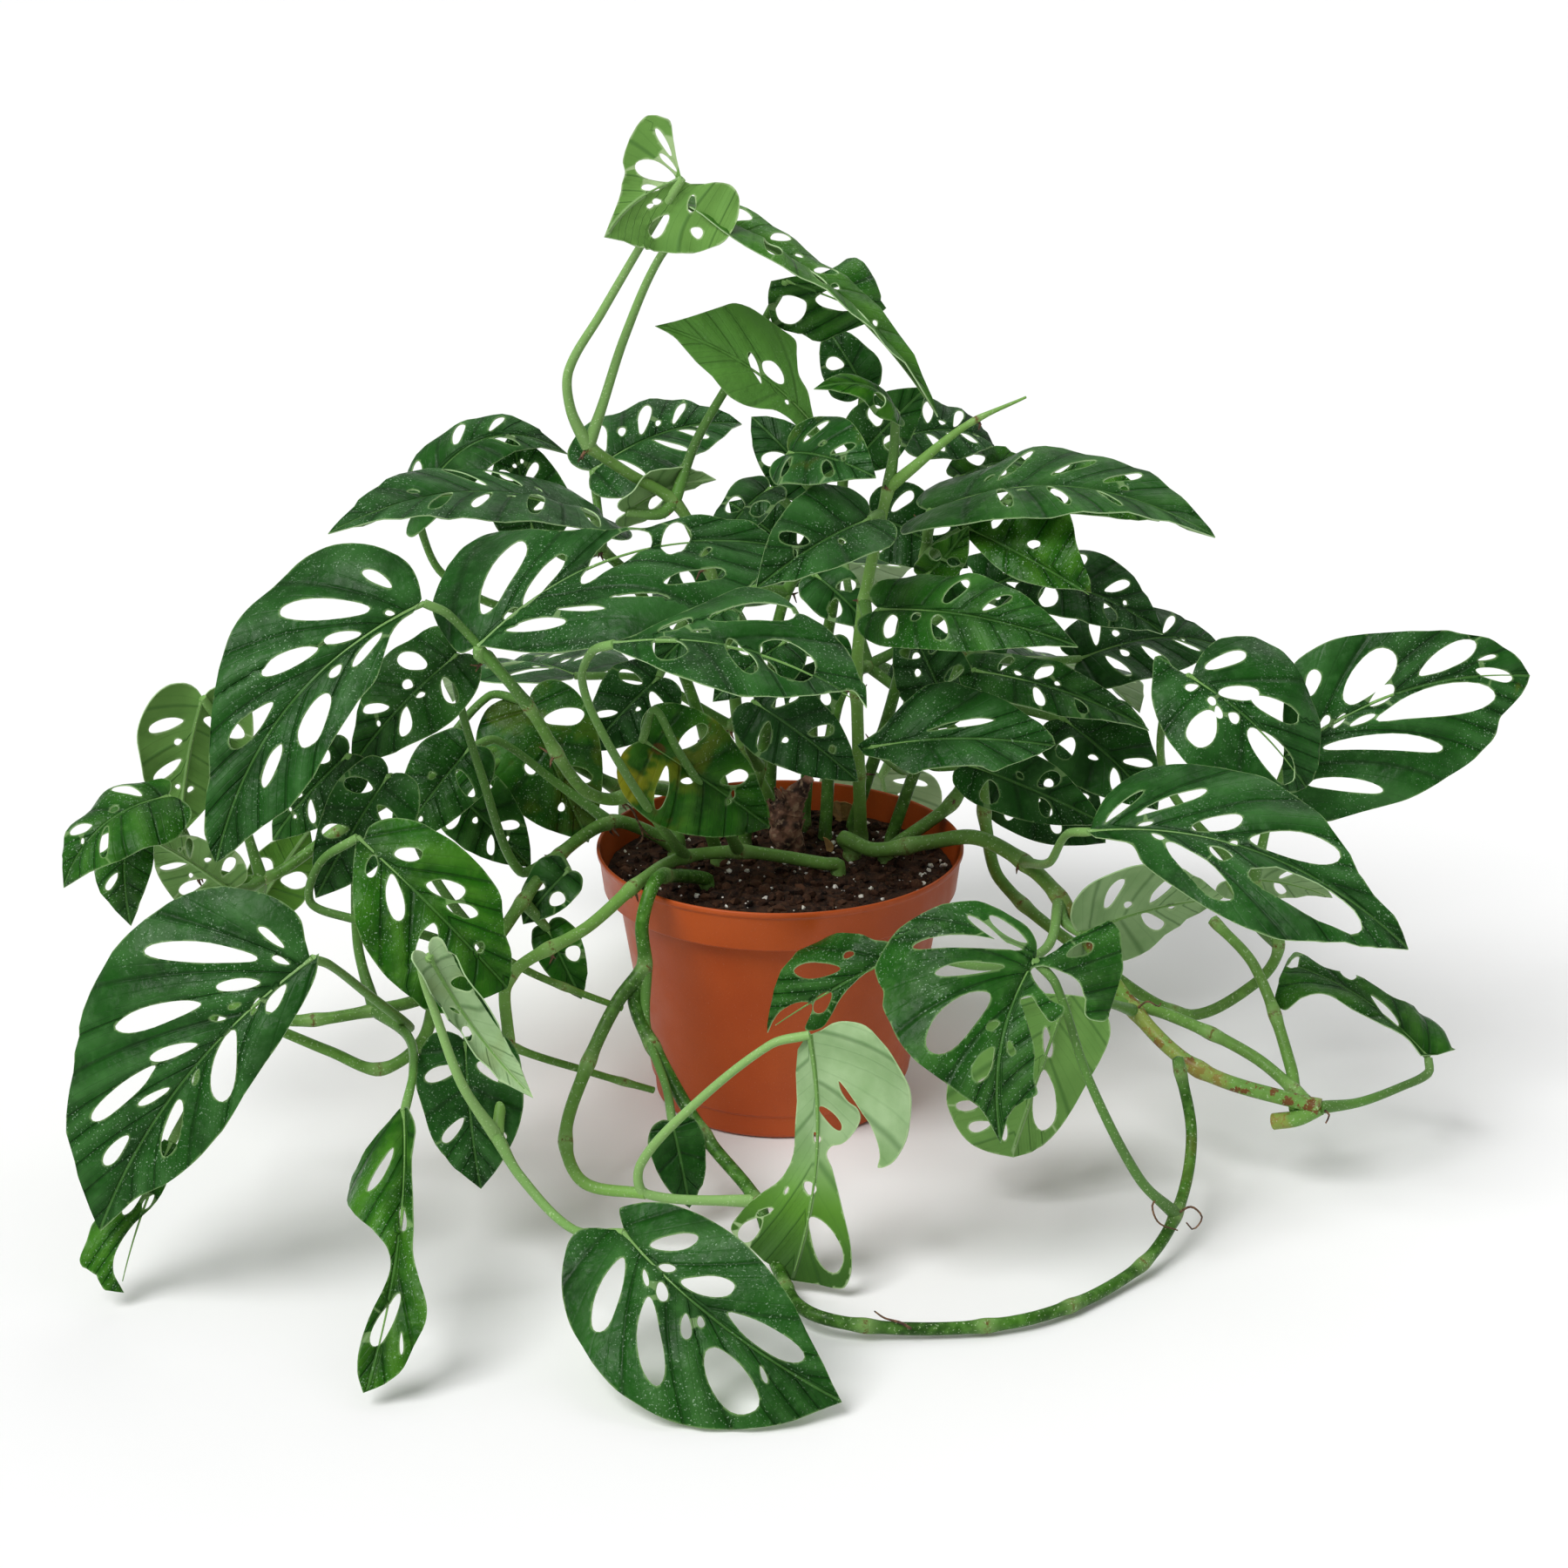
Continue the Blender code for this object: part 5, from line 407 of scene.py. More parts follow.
# What grows: each vine is its stems, and each leaf names the point of its stem that its stalk leaves
VINES = dict(
    vine_front_left=[branch([
        *root(24, -6), (948, 992, -8), (900, 984, -8), (848, 978, -9), (787, 984, -12), (735, 1012, -57),
        (674, 1065, -84), (585, 1122, -112), (583, 1200, -138), (570, 1305, -162),
    ], [
        leaf(3, 6, (704, 738, -126), (996, 812, -140), (0.05, -0.42, 0.9), 0.62, 0.14,
             [(749, 936, -50), (691, 841, -84), (668, 780, -108), (680, 748, -118)]),
        leaf(6, 5, (738, 850, -44), (884, 950, -30), (0.1, -0.85, 0.5), 0.72, 0.05,
             [(825, 935, -30), (777, 860, -50), (752, 815, -56)]),
        leaf(44, 9, (410, 961, -128), (583, 1135, -150), (0.05, -0.8, 0.6), 0.66, 0.1,
             [(500, 1078, -128), (404, 1055, -128), (356, 1036, -126), (368, 990, -126)]),
        leaf(41, 11, (716, 1415, -226), (967, 1610, -275), (0.05, -0.8, 0.6), 0.8, 0.1,
             [(598, 1352, -186), (658, 1412, -212)], sway=0.06),
        leaf(46, 11, (492, 1098, -178), (612, 1262, -196), (-0.5, 0.5, 0.3), 0.34, 0.16,
             [(530, 1245, -168), (500, 1165, -168), (484, 1113, -172)], 10, 110),
        leaf(45, 10, (534, 1196, -146), (552, 1366, -154), (-0.2, -0.85, 0.4), 0.72, 0.06,
             [(556, 1196, -138)]),
    ])],
    vine_front_loop=[branch([
        *root(-30, -22), (772, 1006, -44), (752, 1012, -62), (737, 1060, -72), (740, 1109, -74),
        (728, 1150, -80), (760, 1221, -96), (811, 1307, -122), (869, 1380, -150), (890, 1450, -176),
        lying(930, 1508, 8), lying(1046, 1526, 4), lying(1188, 1513, 4), lying(1303, 1459, 5),
        (1350, 1395, -150), (1368, 1306, -124), (1352, 1215, -112),
    ], [
        leaf(32, 10, (930, 1188, -158), (906, 1480, -184), (0.42, 0.82, 0.3), 0.84, 0.05,
             [(741, 1371, -150), (735, 1338, -150), (790, 1275, -152), (884, 1200, -158)], 10, 40, 10,
             slits=2, sway=0.05),
        leaf(15, 16, (1188, 1102, -160), (1149, 1314, -196), (0.05, -0.78, 0.6), 1.2, 0.1,
             [(1307, 1352, -162), (1250, 1240, -166), (1212, 1130, -163)], 14, 40, sway=0.1, slits=2),
    ]), branch([
        (741, 1110, -74), (708, 1152, -84), (671, 1231, -104), (649, 1307, -124), (670, 1358, -140),
        (741, 1371, -150),
    ], [
        leaf(33, 0, (772, 1290, -128), (792, 1388, -130), (0.2, -0.9, 0.3), 0.6, 0.05,
             [(742, 1180, -86), (765, 1250, -112)]),
    ])],
    vine_right=[branch([
        *root(30, 12), (968, 962, 10), (1003, 976, 4), (1067, 967, -2), (1121, 962, -8), (1175, 990, -18),
        (1217, 1032, -36), (1303, 1161, -62), (1380, 1230, -84), (1515, 1272, -100),
    ], [
        leaf(28, 7, (1250, 954, -90), (1618, 1090, -134), (0.12, -0.5, 0.86), 0.6, 0.14,
             [(1205, 990, -60), (1225, 958, -78)], sway=-0.03),
        leaf(37, 8, (1040, 1092, -108), (880, 1184, -98), (-0.1, -0.85, 0.5), 0.55, 0.12,
             [(1200, 1090, -66), (1130, 1110, -96)], 14, 60),
        leaf(36, 9, (1222, 1150, -104), (1160, 1330, -116), (0.15, 0.95, -0.1), 1.08, 0.04,
             [(1262, 1150, -88)]),
        leaf(38, 8, (1240, 1072, -52), (1404, 1030, -30), (0.1, 0.85, 0.3), 0.84, 0.06,
             [(1222, 1058, -46)]),
        leaf(39, 11, (1641, 1215, -70), (1478, 1106, -34), (0.1, -0.3, 0.9), 0.5, 0.1,
             [(1560, 1266, -92), (1609, 1248, -82), (1640, 1232, -74)], 20, 50),
    ], 3.2, 3.0), branch([
        (1515, 1272, -100), (1490, 1284, -98), (1462, 1288, -94),
    ], (), 3.2, 3.4), branch([
        (1276, 1149, -62), (1340, 1165, -60), (1437, 1212, -74), (1500, 1264, -95),
    ], (), 2.4, 2.4), branch([
        (1487, 1274, -96), (1482, 1226, -80), (1441, 1111, -50), (1392, 1056, -34),
    ], (), 2.6, 2.0)],
    vine_far_right=[branch([
        *root(44, 8), (1090, 925, 30), (1122, 880, 34), (1132, 950, 36), (1148, 1010, 30), (1240, 1090, 0),
        (1360, 1165, -10), (1440, 1130, -14), (1468, 1085, -18), (1440, 1010, -16),
    ], [
        leaf(26, 11, (1484, 862, -22), (1757, 776, -10), (-0.05, -0.9, 0.44), 0.8, 0.06, [(1462, 920, -18)],
             sway=-0.09),
        leaf(27, 10, (1366, 776, -40), (1500, 905, -48), (0.2, -0.8, 0.58), 0.95, 0.14,
             [(1420, 1000, -6), (1340, 900, -6), (1340, 800, -30)], 14, 45),
        leaf(29, 10, (1410, 1010, 10), (1530, 1030, 16), (0.1, 0.8, 0.45), 0.6, 0.08, [(1440, 1060, 0)]),
    ])],
    vine_left_high=[branch([
        *root(-26, 6), (800, 925, -2), (745, 905, -30), (700, 918, -44), (663, 900, -56), (605, 809, -70),
        (560, 755, -74),
    ], [
        leaf(1, 7, (487, 692, -84), (248, 991, -128), (-0.3, -0.86, 0.42), 0.56, 0.08,
             [(575, 772, -78), (515, 706, -82)], sway=0.1),
        leaf(2, 8, (548, 742, -82), (890, 626, -50), (0.0, -0.4, 0.92), 0.6, 0.12, [(550, 752, -79)],
             sway=-0.06),
    ])],
    vine_left_low=[branch([
        *root(-44, 12), (742, 954, 10), (700, 944, 2), (640, 984, -20), (600, 1035, -50), (560, 1090, -72),
        (500, 1140, -92), (430, 1160, -104), (330, 1172, -104), (250, 1150, -90),
    ], [
        leaf(42, 9, (358, 1101, -178), (114, 1414, -196), (-0.25, -0.92, 0.3), 0.6, 0.06,
             [(470, 1180, -112), (420, 1140, -140), (378, 1108, -168)], sway=0.06),
        leaf(43, 11, (196, 1312, -168), lying(138, 1485, 6), (-0.2, -0.9, 0.3), 0.46, 0.1,
             [(236, 1190, -104), (222, 1260, -144)], 14, 50, 30),
        leaf(47, 9, (463, 1276, -190), lying(420, 1600, 6), (-0.45, -0.86, 0.2), 0.4, 0.04,
             [(468, 1190, -128), (474, 1232, -168)], 20, 50, 36, sway=-0.08),
        leaf(48, 5, (524, 752, -50), (404, 880, -60), (-0.2, -0.75, 0.6), 0.66, 0.08,
             [(596, 1000, -28), (552, 888, -36), (524, 790, -44)]),
        leaf(49, 7, (446, 890, -86), (362, 1032, -98), (-0.2, -0.9, 0.3), 0.62, 0.06,
             [(500, 1010, -80), (462, 930, -82)]),
        leaf(50, 4, (540, 858, -12), (452, 974, -30), (-0.1, -0.8, 0.55), 0.66, 0.06,
             [(640, 900, 4), (570, 850, -4)]),
        leaf(66, 6, (628, 1066, -44), (668, 1148, -50), (0.0, -0.9, 0.4), 0.6, 0.1),
        leaf(67, 9, (400, 866, -70), (312, 966, -74), (-0.2, -0.85, 0.45), 0.6, 0.1,
             [(410, 1080, -90), (408, 930, -78)]),
        leaf(68, 5, (652, 1000, -36), (600, 1062, -46), (-0.2, -0.85, 0.5), 0.8, 0.1),
    ]), branch([
        (560, 1090, -72), (620, 1122, -64), (714, 1158, -54),
    ], (), 1.7, 1.3), branch([
        (500, 1140, -92), (580, 1198, -96), (680, 1232, -84), (750, 1252, -74),
    ], (), 1.8, 1.4), branch([
        (500, 1140, -92), (484, 1196, -96), (436, 1228, -100), (380, 1208, -98), (322, 1184, -94),
    ], (), 2.6, 2.0)],
    vine_far_left=[branch([
        *root(-43, 24), (742, 930, 34), (700, 900, 30), (600, 858, 24), (480, 900, 8), (380, 960, -10),
        (300, 1010, -20), (230, 1000, -30),
    ], [
        leaf(51, 9, (192, 914, -50), (72, 1020, -72), (-0.4, -0.5, 0.75), 0.8, 0.2, [(215, 965, -38)], 14,
             60),
        leaf(52, 9, (150, 930, -30), (150, 1064, -52), (-0.3, -0.85, 0.4), 0.66, 0.12, [(204, 968, -28)],
             14, 50),
        leaf(53, 8, (232, 800, -14), (206, 960, -20), (-0.35, 0.9, 0.1), 0.8, 0.1,
             [(282, 950, -16), (256, 840, -10)], 14, 40),
        leaf(54, 8, (262, 1020, -44), (176, 965, -66), (0.1, 0.9, -0.2), 0.7, 0.05, [(285, 1020, -30)]),
        leaf(55, 8, (300, 1034, 0), (356, 952, 14), (-0.1, 0.95, 0.1), 0.8, 0.05, [(298, 1040, -10)]),
        leaf(56, 6, (606, 806, 30), (676, 968, 14), (-0.1, -0.85, 0.5), 0.8, 0.12, [(560, 800, 30)]),
        leaf(60, 5, (520, 906, 4), (610, 996, -6), (-0.1, -0.85, 0.5), 0.7, 0.1),
    ])],
    vine_top=[branch([
        *root(2, 34), (852, 850, 34), (835, 720, 30), (800, 620, 24), (774, 576, 20), (720, 543, 12),
        (675, 513, 6),
    ], [
        leaf(61, 8, (783, 205, -4), (694, 274, -20), (0.2, 0.97, 0.0), 1.5, 0.1,
             [(655, 470, 4), (653, 425, 2), (690, 360, 0), (738, 278, -2)], 10, 20, sway=-0.1),
        leaf(62, 8, (800, 244, 10), (1078, 478, -18), (0.5, -0.1, 0.85), 0.3, 0.09,
             [(690, 470, 8), (717, 387, 12), (756, 298, 12)], 34, 50),
        leaf(63, 6, (902, 323, 34), (1014, 372, 44), (0.0, -0.85, 0.5), 0.85, 0.12,
             [(800, 505, 28), (844, 428, 32)], 14, 60),
        leaf(64, 6, (718, 588, 12), (822, 550, 30), (0.0, 0.8, 0.5), 0.62, 0.1, [(758, 590, 16)]),
    ])],
    vine_spike=[branch([
        *root(34, 30), (985, 850, 8), (984, 760, -4), (992, 690, -14), (1008, 610, -16), (1020, 560, -14),
    ], [
        leaf(71, 7, (1030, 472, -10), (934, 446, -28), (-0.2, -0.5, 0.8), 0.5, 0.2, [(1026, 520, -12)], 14,
             80),
        leaf(72, 6, (905, 520, -22), (1006, 548, -50), (-0.1, -0.7, 0.7), 0.85, 0.12,
             [(965, 590, -18), (920, 550, -18)]),
        leaf(73, 5, (1010, 700, -34), (1238, 742, -74), (0.0, -0.7, 0.7), 0.46, 0.1, [(998, 712, -26)], 24,
             60),
        leaf(74, 6, (998, 596, -40), (868, 676, -84), (-0.1, -0.75, 0.65), 0.62, 0.08, [(1010, 590, -30)],
             24, 30),
    ]), branch([
        (1020, 560, -14), (1042, 542, -16), (1110, 488, -18), (1178, 456, -20),
    ], (), 2.6, 0.5)],
    vine_core=[branch([
        *root(-15, 24), (872, 880, 22), (885, 800, 22), (890, 730, 26), (902, 680, 32),
    ], [
        leaf(101, 3, (866, 806, -30), (986, 898, -46), (0.1, -0.85, 0.5), 0.66, 0.1, [(858, 850, -8)]),
        leaf(102, 5, (900, 738, 6), (818, 806, -16), (-0.2, -0.8, 0.55), 0.72, 0.1),
        leaf(103, 5, (950, 735, 14), (918, 850, 0), (0.1, -0.85, 0.5), 0.66, 0.1, [(925, 715, 20)]),
        leaf(104, 6, (830, 700, 12), (752, 768, -4), (-0.2, -0.7, 0.6), 0.72, 0.1, [(868, 676, 20)]),
        leaf(105, 6, (936, 660, 22), (1002, 724, 10), (0.1, -0.8, 0.6), 0.72, 0.1, [(915, 662, 28)]),
    ])],
    vine_back_left=[branch([
        *root(-5, 48), Vector((-4, 60, 138)), Vector((-8, 82, 142)), Vector((-22, 106, 124)),
        Vector((-34, 122, 92)),
    ], [
        leaf(111, 5, Vector((-90, 106, 148)), Vector((-152, 186, 108)), (-0.3, 0.4, 0.85), 0.64, 0.1,
             [Vector((-58, 104, 146))]),
        leaf(112, 6, Vector((-40, 128, 84)), Vector((-56, 170, 12)), (0.0, 0.85, 0.4), 0.7, 0.1),
        leaf(113, 4, Vector((-20, 112, 178)), Vector((-36, 196, 150)), (-0.1, 0.2, 0.95), 0.64, 0.1,
             [Vector((-14, 96, 170))]),
    ])],
    vine_back_right=[branch([
        *root(19, 33), Vector((24, 58, 150)), Vector((38, 88, 158)), Vector((56, 112, 140)),
        Vector((52, 140, 100)),
    ], [
        leaf(121, 4, Vector((28, 120, 196)), Vector((46, 208, 150)), (0.1, 0.4, 0.9), 0.64, 0.1,
             [Vector((30, 100, 186))]),
        leaf(122, 5, Vector((96, 118, 150)), Vector((166, 182, 104)), (0.3, 0.4, 0.85), 0.64, 0.1),
        leaf(123, 6, Vector((46, 152, 84)), Vector((54, 186, 10)), (0.1, 0.9, 0.4), 0.7, 0.1),
        leaf(124, 4, (1040, 800, 84), (1160, 734, 100), (0.0, -0.8, 0.6), 0.74, 0.1),
        leaf(125, 4, (1090, 700, 100), (1214, 640, 116), (0.1, -0.8, 0.6), 0.7, 0.1, [(1040, 740, 94)]),
        leaf(126, 5, (1150, 880, 74), (1270, 968, 64), (0.1, -0.85, 0.5), 0.8, 0.1, [(1110, 850, 96)]),
    ])],
    vine_crown=[branch([
        *root(10, 46), (935, 800, 56), (955, 700, 52), (965, 600, 44), (968, 540, 38),
    ], [
        leaf(81, 6, (948, 506, 24), (756, 374, 10), (-0.2, -0.8, 0.56), 0.5, 0.06, [(958, 530, 32)],
             sway=0.07),
        leaf(82, 6, (992, 446, 50), (948, 376, 64), (0.1, -0.9, 0.3), 0.8, 0.1, [(985, 500, 46)]),
        leaf(83, 6, (1040, 500, 54), (1142, 512, 76), (0.1, -0.5, 0.85), 0.75, 0.14, [(1000, 525, 46)]),
        leaf(84, 5, (884, 560, 54), (820, 640, 30), (-0.3, -0.6, 0.7), 0.6, 0.12, [(920, 590, 54)]),
        leaf(85, 5, (1000, 590, 54), (1112, 652, 46), (0.1, -0.8, 0.6), 0.8, 0.1),
        leaf(86, 5, (930, 650, 66), (836, 576, 80), (-0.1, -0.8, 0.6), 0.74, 0.1),
        leaf(87, 6, (990, 520, 30), (1064, 444, 24), (0.1, -0.85, 0.5), 0.7, 0.1),
        leaf(88, 6, (936, 556, 62), (862, 478, 80), (-0.1, -0.8, 0.6), 0.7, 0.1),
    ])],
    vine_left_back=[branch([
        *root(-20, 44), (812, 850, 66), (770, 740, 74), (720, 660, 72), (690, 630, 66),
    ], [
        leaf(91, 6, (682, 592, 40), (376, 612, -12), (-0.05, -0.1, 1.0), 0.6, 0.12, [(690, 612, 54)]),
        leaf(92, 5, (474, 586, 60), (652, 520, 84), (-0.2, -0.5, 0.85), 0.5, 0.34,
             [(600, 700, 70), (509, 660, 64)], 14, 40),
        leaf(93, 6, (612, 610, 76), (588, 494, 84), (-0.1, -0.95, 0.2), 0.8, 0.1, [(650, 640, 74)]),
        leaf(94, 6, (680, 540, 90), (852, 486, 120), (0.0, -0.4, 0.9), 0.72, 0.12, [(688, 600, 78)]),
        leaf(95, 4, (790, 704, 90), (872, 610, 110), (0.0, -0.8, 0.6), 0.74, 0.1),
        leaf(96, 4, (756, 778, 60), (676, 864, 48), (-0.1, -0.85, 0.5), 0.8, 0.1),
    ])],
    vine_right_high=[branch([
        *root(31, 42), (1020, 820, 44), (1050, 700, 30), (1062, 640, 24), (1066, 600, 26),
    ], [
        leaf(21, 6, (1068, 586, 20), (1396, 616, -16), (0.1, -0.22, 0.97), 0.56, 0.14),
        leaf(22, 5, (1110, 606, 2), (1262, 690, -28), (-0.1, -0.85, 0.5), 0.76, 0.1, [(1088, 618, 12)]),
        leaf(23, 4, (1064, 660, 6), (1112, 604, -4), (0.2, -0.95, 0.2), 0.6, 0.1, [(1052, 680, 18)]),
        leaf(24, 6, (1100, 548, 64), (1180, 530, 84), (0.1, -0.4, 0.9), 0.6, 0.1, [(1080, 570, 46)]),
        leaf(25, 5, (1185, 552, 60), (1332, 598, 66), (0.1, -0.6, 0.8), 0.56, 0.12,
             [(1120, 610, 50), (1160, 570, 58)]),
    ])],
    vine_right_mid=[branch([
        *root(47, 26), (1060, 860, 26), (1088, 800, 30), (1110, 750, 40), (1150, 705, 44),
    ], [
        leaf(31, 3, (1000, 858, -44), (1208, 856, -62), (0.0, -0.7, 0.7), 0.62, 0.1,
             [(1040, 885, -6), (1018, 872, -30)]),
        leaf(34, 3, (1112, 878, -22), (1268, 946, -30), (-0.2, -0.7, 0.65), 0.5, 0.06, [(1070, 880, 0)]),
        leaf(35, 4, (1120, 770, 10), (1320, 838, 0), (0.0, -0.55, 0.84), 0.36, 0.08, [(1104, 775, 18)]),
        leaf(57, 6, (1184, 664, 34), (1336, 728, 22), (0.1, -0.6, 0.8), 0.66, 0.12),
        leaf(58, 5, (1240, 756, 60), (1404, 744, 90), (0.1, -0.5, 0.85), 0.6, 0.14, [(1180, 760, 52)]),
        leaf(59, 4, (1222, 826, 24), (1330, 930, 6), (0.1, -0.8, 0.6), 0.8, 0.1, [(1150, 810, 34)]),
        leaf(65, 4, (1082, 800, 10), (1034, 696, 4), (-0.1, -0.85, 0.5), 0.7, 0.1),
    ])],
)
# Thin dry roots that stand out from a node or lie on the ground
DRY_ROOTS = dict(
    vine_front_loop=[
        [(1350, 1397, -150), (1334, 1374, -156), (1323, 1384, -160), (1330, 1404, -162),
         (1352, 1413, -160)],
        [(1350, 1395, -150), (1368, 1386, -156), (1380, 1398, -160), (1370, 1412, -162),
         (1362, 1404, -160)],
        [lying(1046, 1526, 6), lying(1034, 1519, 8), lying(1016, 1514, 7), lying(1004, 1506, 6)],
    ],
    vine_left_high=[
        [(703, 917, -43), (724, 928, -36), (735, 948, -30), (748, 962, -24), (764, 966, -20)],
        [(735, 948, -30), (738, 962, -28), (730, 972, -26)],
    ],
    vine_right=[
        [(1303, 1161, -62), (1318, 1150, -70), (1330, 1156, -74), (1333, 1152, -74)],
        [(1515, 1272, -100), (1526, 1280, -104), (1522, 1290, -106)],
    ],
)
# Dry scraps on the mix: (foot, the way it leans, height, half width)
SCRAPS = ((lying(966, 944, 99), 4.4, 10.0, 7.5), (lying(950, 978, 99), 3.9, 7.0, 2.6))


def held(share):
    """A share held to 0..1."""
    return min(max(share, 0.0), 1.0)


def settled(points, fine):
    """A smooth curve through the points, `fine` steps to each length between them."""
    gaps = [(b - a).length for a, b in zip(points, points[1:])]
    slopes = [(points[1] - points[0]) / gaps[0]]
    for i in range(1, len(points) - 1):
        slopes.append((points[i + 1] - points[i - 1]) / (gaps[i - 1] + gaps[i]))
    slopes.append((points[-1] - points[-2]) / gaps[-1])
    curve = []
    for i, gap in enumerate(gaps):
        for k in range(fine):
            t = k / fine
            into, out = slopes[i] * gap, slopes[i + 1] * gap
            curve.append(
                points[i] * (2 * t**3 - 3 * t * t + 1) + into * (t**3 - 2 * t * t + t)
                + points[i + 1] * (3 * t * t - 2 * t**3) + out * (t**3 - t * t)
            )
    return curve + [points[-1]]


def thinned(curve, keep):
    """The curve's own points that hold its shape to within `keep`."""
    if len(curve) < 3:
        return curve
    start, end = curve[0], curve[-1]
    along = end - start
    worst, where = 0.0, 0
    for i in range(1, len(curve) - 1):
        share = held((curve[i] - start).dot(along) / max(along.length_squared, 1e-12))
        away = (curve[i] - start - along * share).length
        if away > worst:
            worst, where = away, i
    if worst <= keep:
        return [start, end]
    return thinned(curve[: where + 1], keep)[:-1] + thinned(curve[where:], keep)


class Blade:
    """One leaf's surface: where it lies, how it bends, and where its holes are."""

    def __init__(self, spec):
        self.spec = spec
        self.base = spec["base"]
        along = spec["tip"] - self.base
        self.length = along.length
        self.along = along.normalized()
        self.up = (spec["face"] - self.along * spec["face"].dot(self.along)).normalized()
        self.side = self.along.cross(self.up)
        self.wide = spec["width"] / (2 * LEAF_SIDE_W)
        self.lean = 1 + random.Random(spec["seed"]).uniform(-LEAN, LEAN)

    def spot(self, across, down):
        """The flat leaf's (u, v) that is seen at these pixels."""
        want, at = Vector((across, down)), Vector(SPOT_START)
        for _ in range(SPOT_STEPS):
            here = shown(self.place(at.x, at.y))
            along = (shown(self.place(at.x + SPOT_TRY, at.y)) - here) / SPOT_TRY
            out = (shown(self.place(at.x, at.y + SPOT_TRY)) - here) / SPOT_TRY
            miss = want - here
            area = along.x * out.y - along.y * out.x
            step = Vector((miss.x * out.y - miss.y * out.x, along.x * miss.y - along.y * miss.x)) / area
            at += step * min(1.0, SPOT_STRIDE / max(step.length, 1e-9))
        return at

    def edge(self, keep):
        """The outline in leaf lengths: out along one side and back along the other."""
        rows = LEAF_SEEN.get(self.spec["seed"])
        if rows:
            sides = [[self.spot(*p) for p in zip(row[::2], row[1::2])] for row in rows[:2]]
        else:
            half = [Vector((u, v * self.wide)) for u, v in LEAF_SIDE]
            sides = [[Vector((u, v * share)) for u, v in half] for share in (self.lean, self.lean - 2)]
        out, back = (thinned(settled(side, EDGE_FINE), keep / self.length) for side in sides)
        return out[:-1] + (back if rows else back[:0:-1])

    def midrib(self, u):
        """(place, tangent, normal, side) of the midrib at u."""
        bow = (self.up * self.spec["arch"] + self.side * self.spec["sway"]) * 4
        rise = u * (1 - u) if u > 0 else u
        slope = 1 - 2 * u if u > 0 else 1
        place = self.base + (self.along * u + bow * rise) * self.length
        tangent = (self.along + bow * slope).normalized()
        side = tangent.cross(self.up).normalized()
        normal = side.cross(tangent)
        turn = self.spec["twist"] * u
        turned_side = side * math.cos(turn) + normal * math.sin(turn)
        return place, tangent, normal * math.cos(turn) - side * math.sin(turn), turned_side

    def place(self, u, v):
        """Where the flat leaf's (u, v) lies in the plant, in mm."""
        spot, _, normal, side = self.midrib(u)
        reach = LEAF_SIDE_W * self.wide * self.length
        out = abs(v) * self.length
        fold, curl = self.spec["fold"], max(self.spec["curl"], 0.01)
        bend = curl / reach
        across = (math.sin(fold) - math.sin(fold - bend * out)) / bend
        rise = (math.cos(fold - bend * out) - math.cos(fold)) / bend
        turns = WAVES * u + WAVE_START * self.spec["seed"] + (WAVE_LEFT if v > 0 else 0.0)
        rise += WAVE * math.sin(2 * math.pi * turns) * (out / reach) ** 2
        return spot + side * math.copysign(across, v) + normal * rise

    def reach(self, u, turn, edge):
        """How far the edge is from the midrib at u, in the direction `turn`."""
        ray = Vector((math.cos(turn), math.sin(turn)))
        best = 1.0
        for a, b in zip(edge, edge[1:] + edge[:1]):
            step = b - a
            cross = ray.x * step.y - ray.y * step.x
            if abs(cross) < 1e-9:
                continue
            gap = a - Vector((u, 0.0))
            far = (gap.x * step.y - gap.y * step.x) / cross
            share = (gap.x * ray.y - gap.y * ray.x) / cross
            if far > 0.01 and 0 <= share <= 1:
                best = min(best, far)
        return best

    def gap(self, row):
        """A row's hole, as holes gives it."""
        x1, y1, x2, y2, wide = row
        inner, outer = self.spot(x1, y1), self.spot(x2, y2)
        across = Vector((y1 - y2, x2 - x1)).normalized() * wide / 2
        middle = self.spot((x1 + x2) / 2, (y1 + y2) / 2)
        half = (self.spot((x1 + x2) / 2 + across.x, (y1 + y2) / 2 + across.y) - middle).length
        way = outer - inner
        return (inner + outer) / 2, way.length / 2, half, math.atan2(way.y, way.x)

    def holes(self):
        """(centre, half length, half width, turn) of each hole, in leaf lengths."""
        if self.spec["seed"] in LEAF_SEEN:
            return [self.gap(row) for row in LEAF_SEEN[self.spec["seed"]][2]]
        draw = random.Random(self.spec["seed"])
        edge = self.edge(0.0)
        rows = next(n for size, n in HOLE_SIZES if self.length >= size)
        gap = (HOLE_END - HOLE_START) / rows
        found = []
        for hand in (1, -1):
            for k in range(rows):
                share = (k + 0.5 + draw.uniform(-HOLE_VARY, HOLE_VARY)) / rows
                start = HOLE_START + (HOLE_END - HOLE_START) * share
                turn = HOLE_TURN + (HOLE_END_TURN - HOLE_TURN) * share
                turn = math.radians(turn + draw.uniform(-HOLE_TURN_VARY, HOLE_TURN_VARY))
                far = self.reach(start, hand * turn, edge)
                near, last = draw.uniform(*HOLE_NEAR), draw.uniform(*HOLE_FAR)
                fat = gap * math.sin(turn) * draw.uniform(*HOLE_FAT)
                kept = draw.random() < HOLE_KEEP
                if k < hand * self.spec["slits"]:
                    last, kept = SLIT_REACH, True
                mid = Vector((math.cos(turn), hand * math.sin(turn))) * far * (near + last) / 2
                if kept:
                    found.append((Vector((start, 0.0)) + mid, far * (last - near) / 2, fat, hand * turn))
        return found


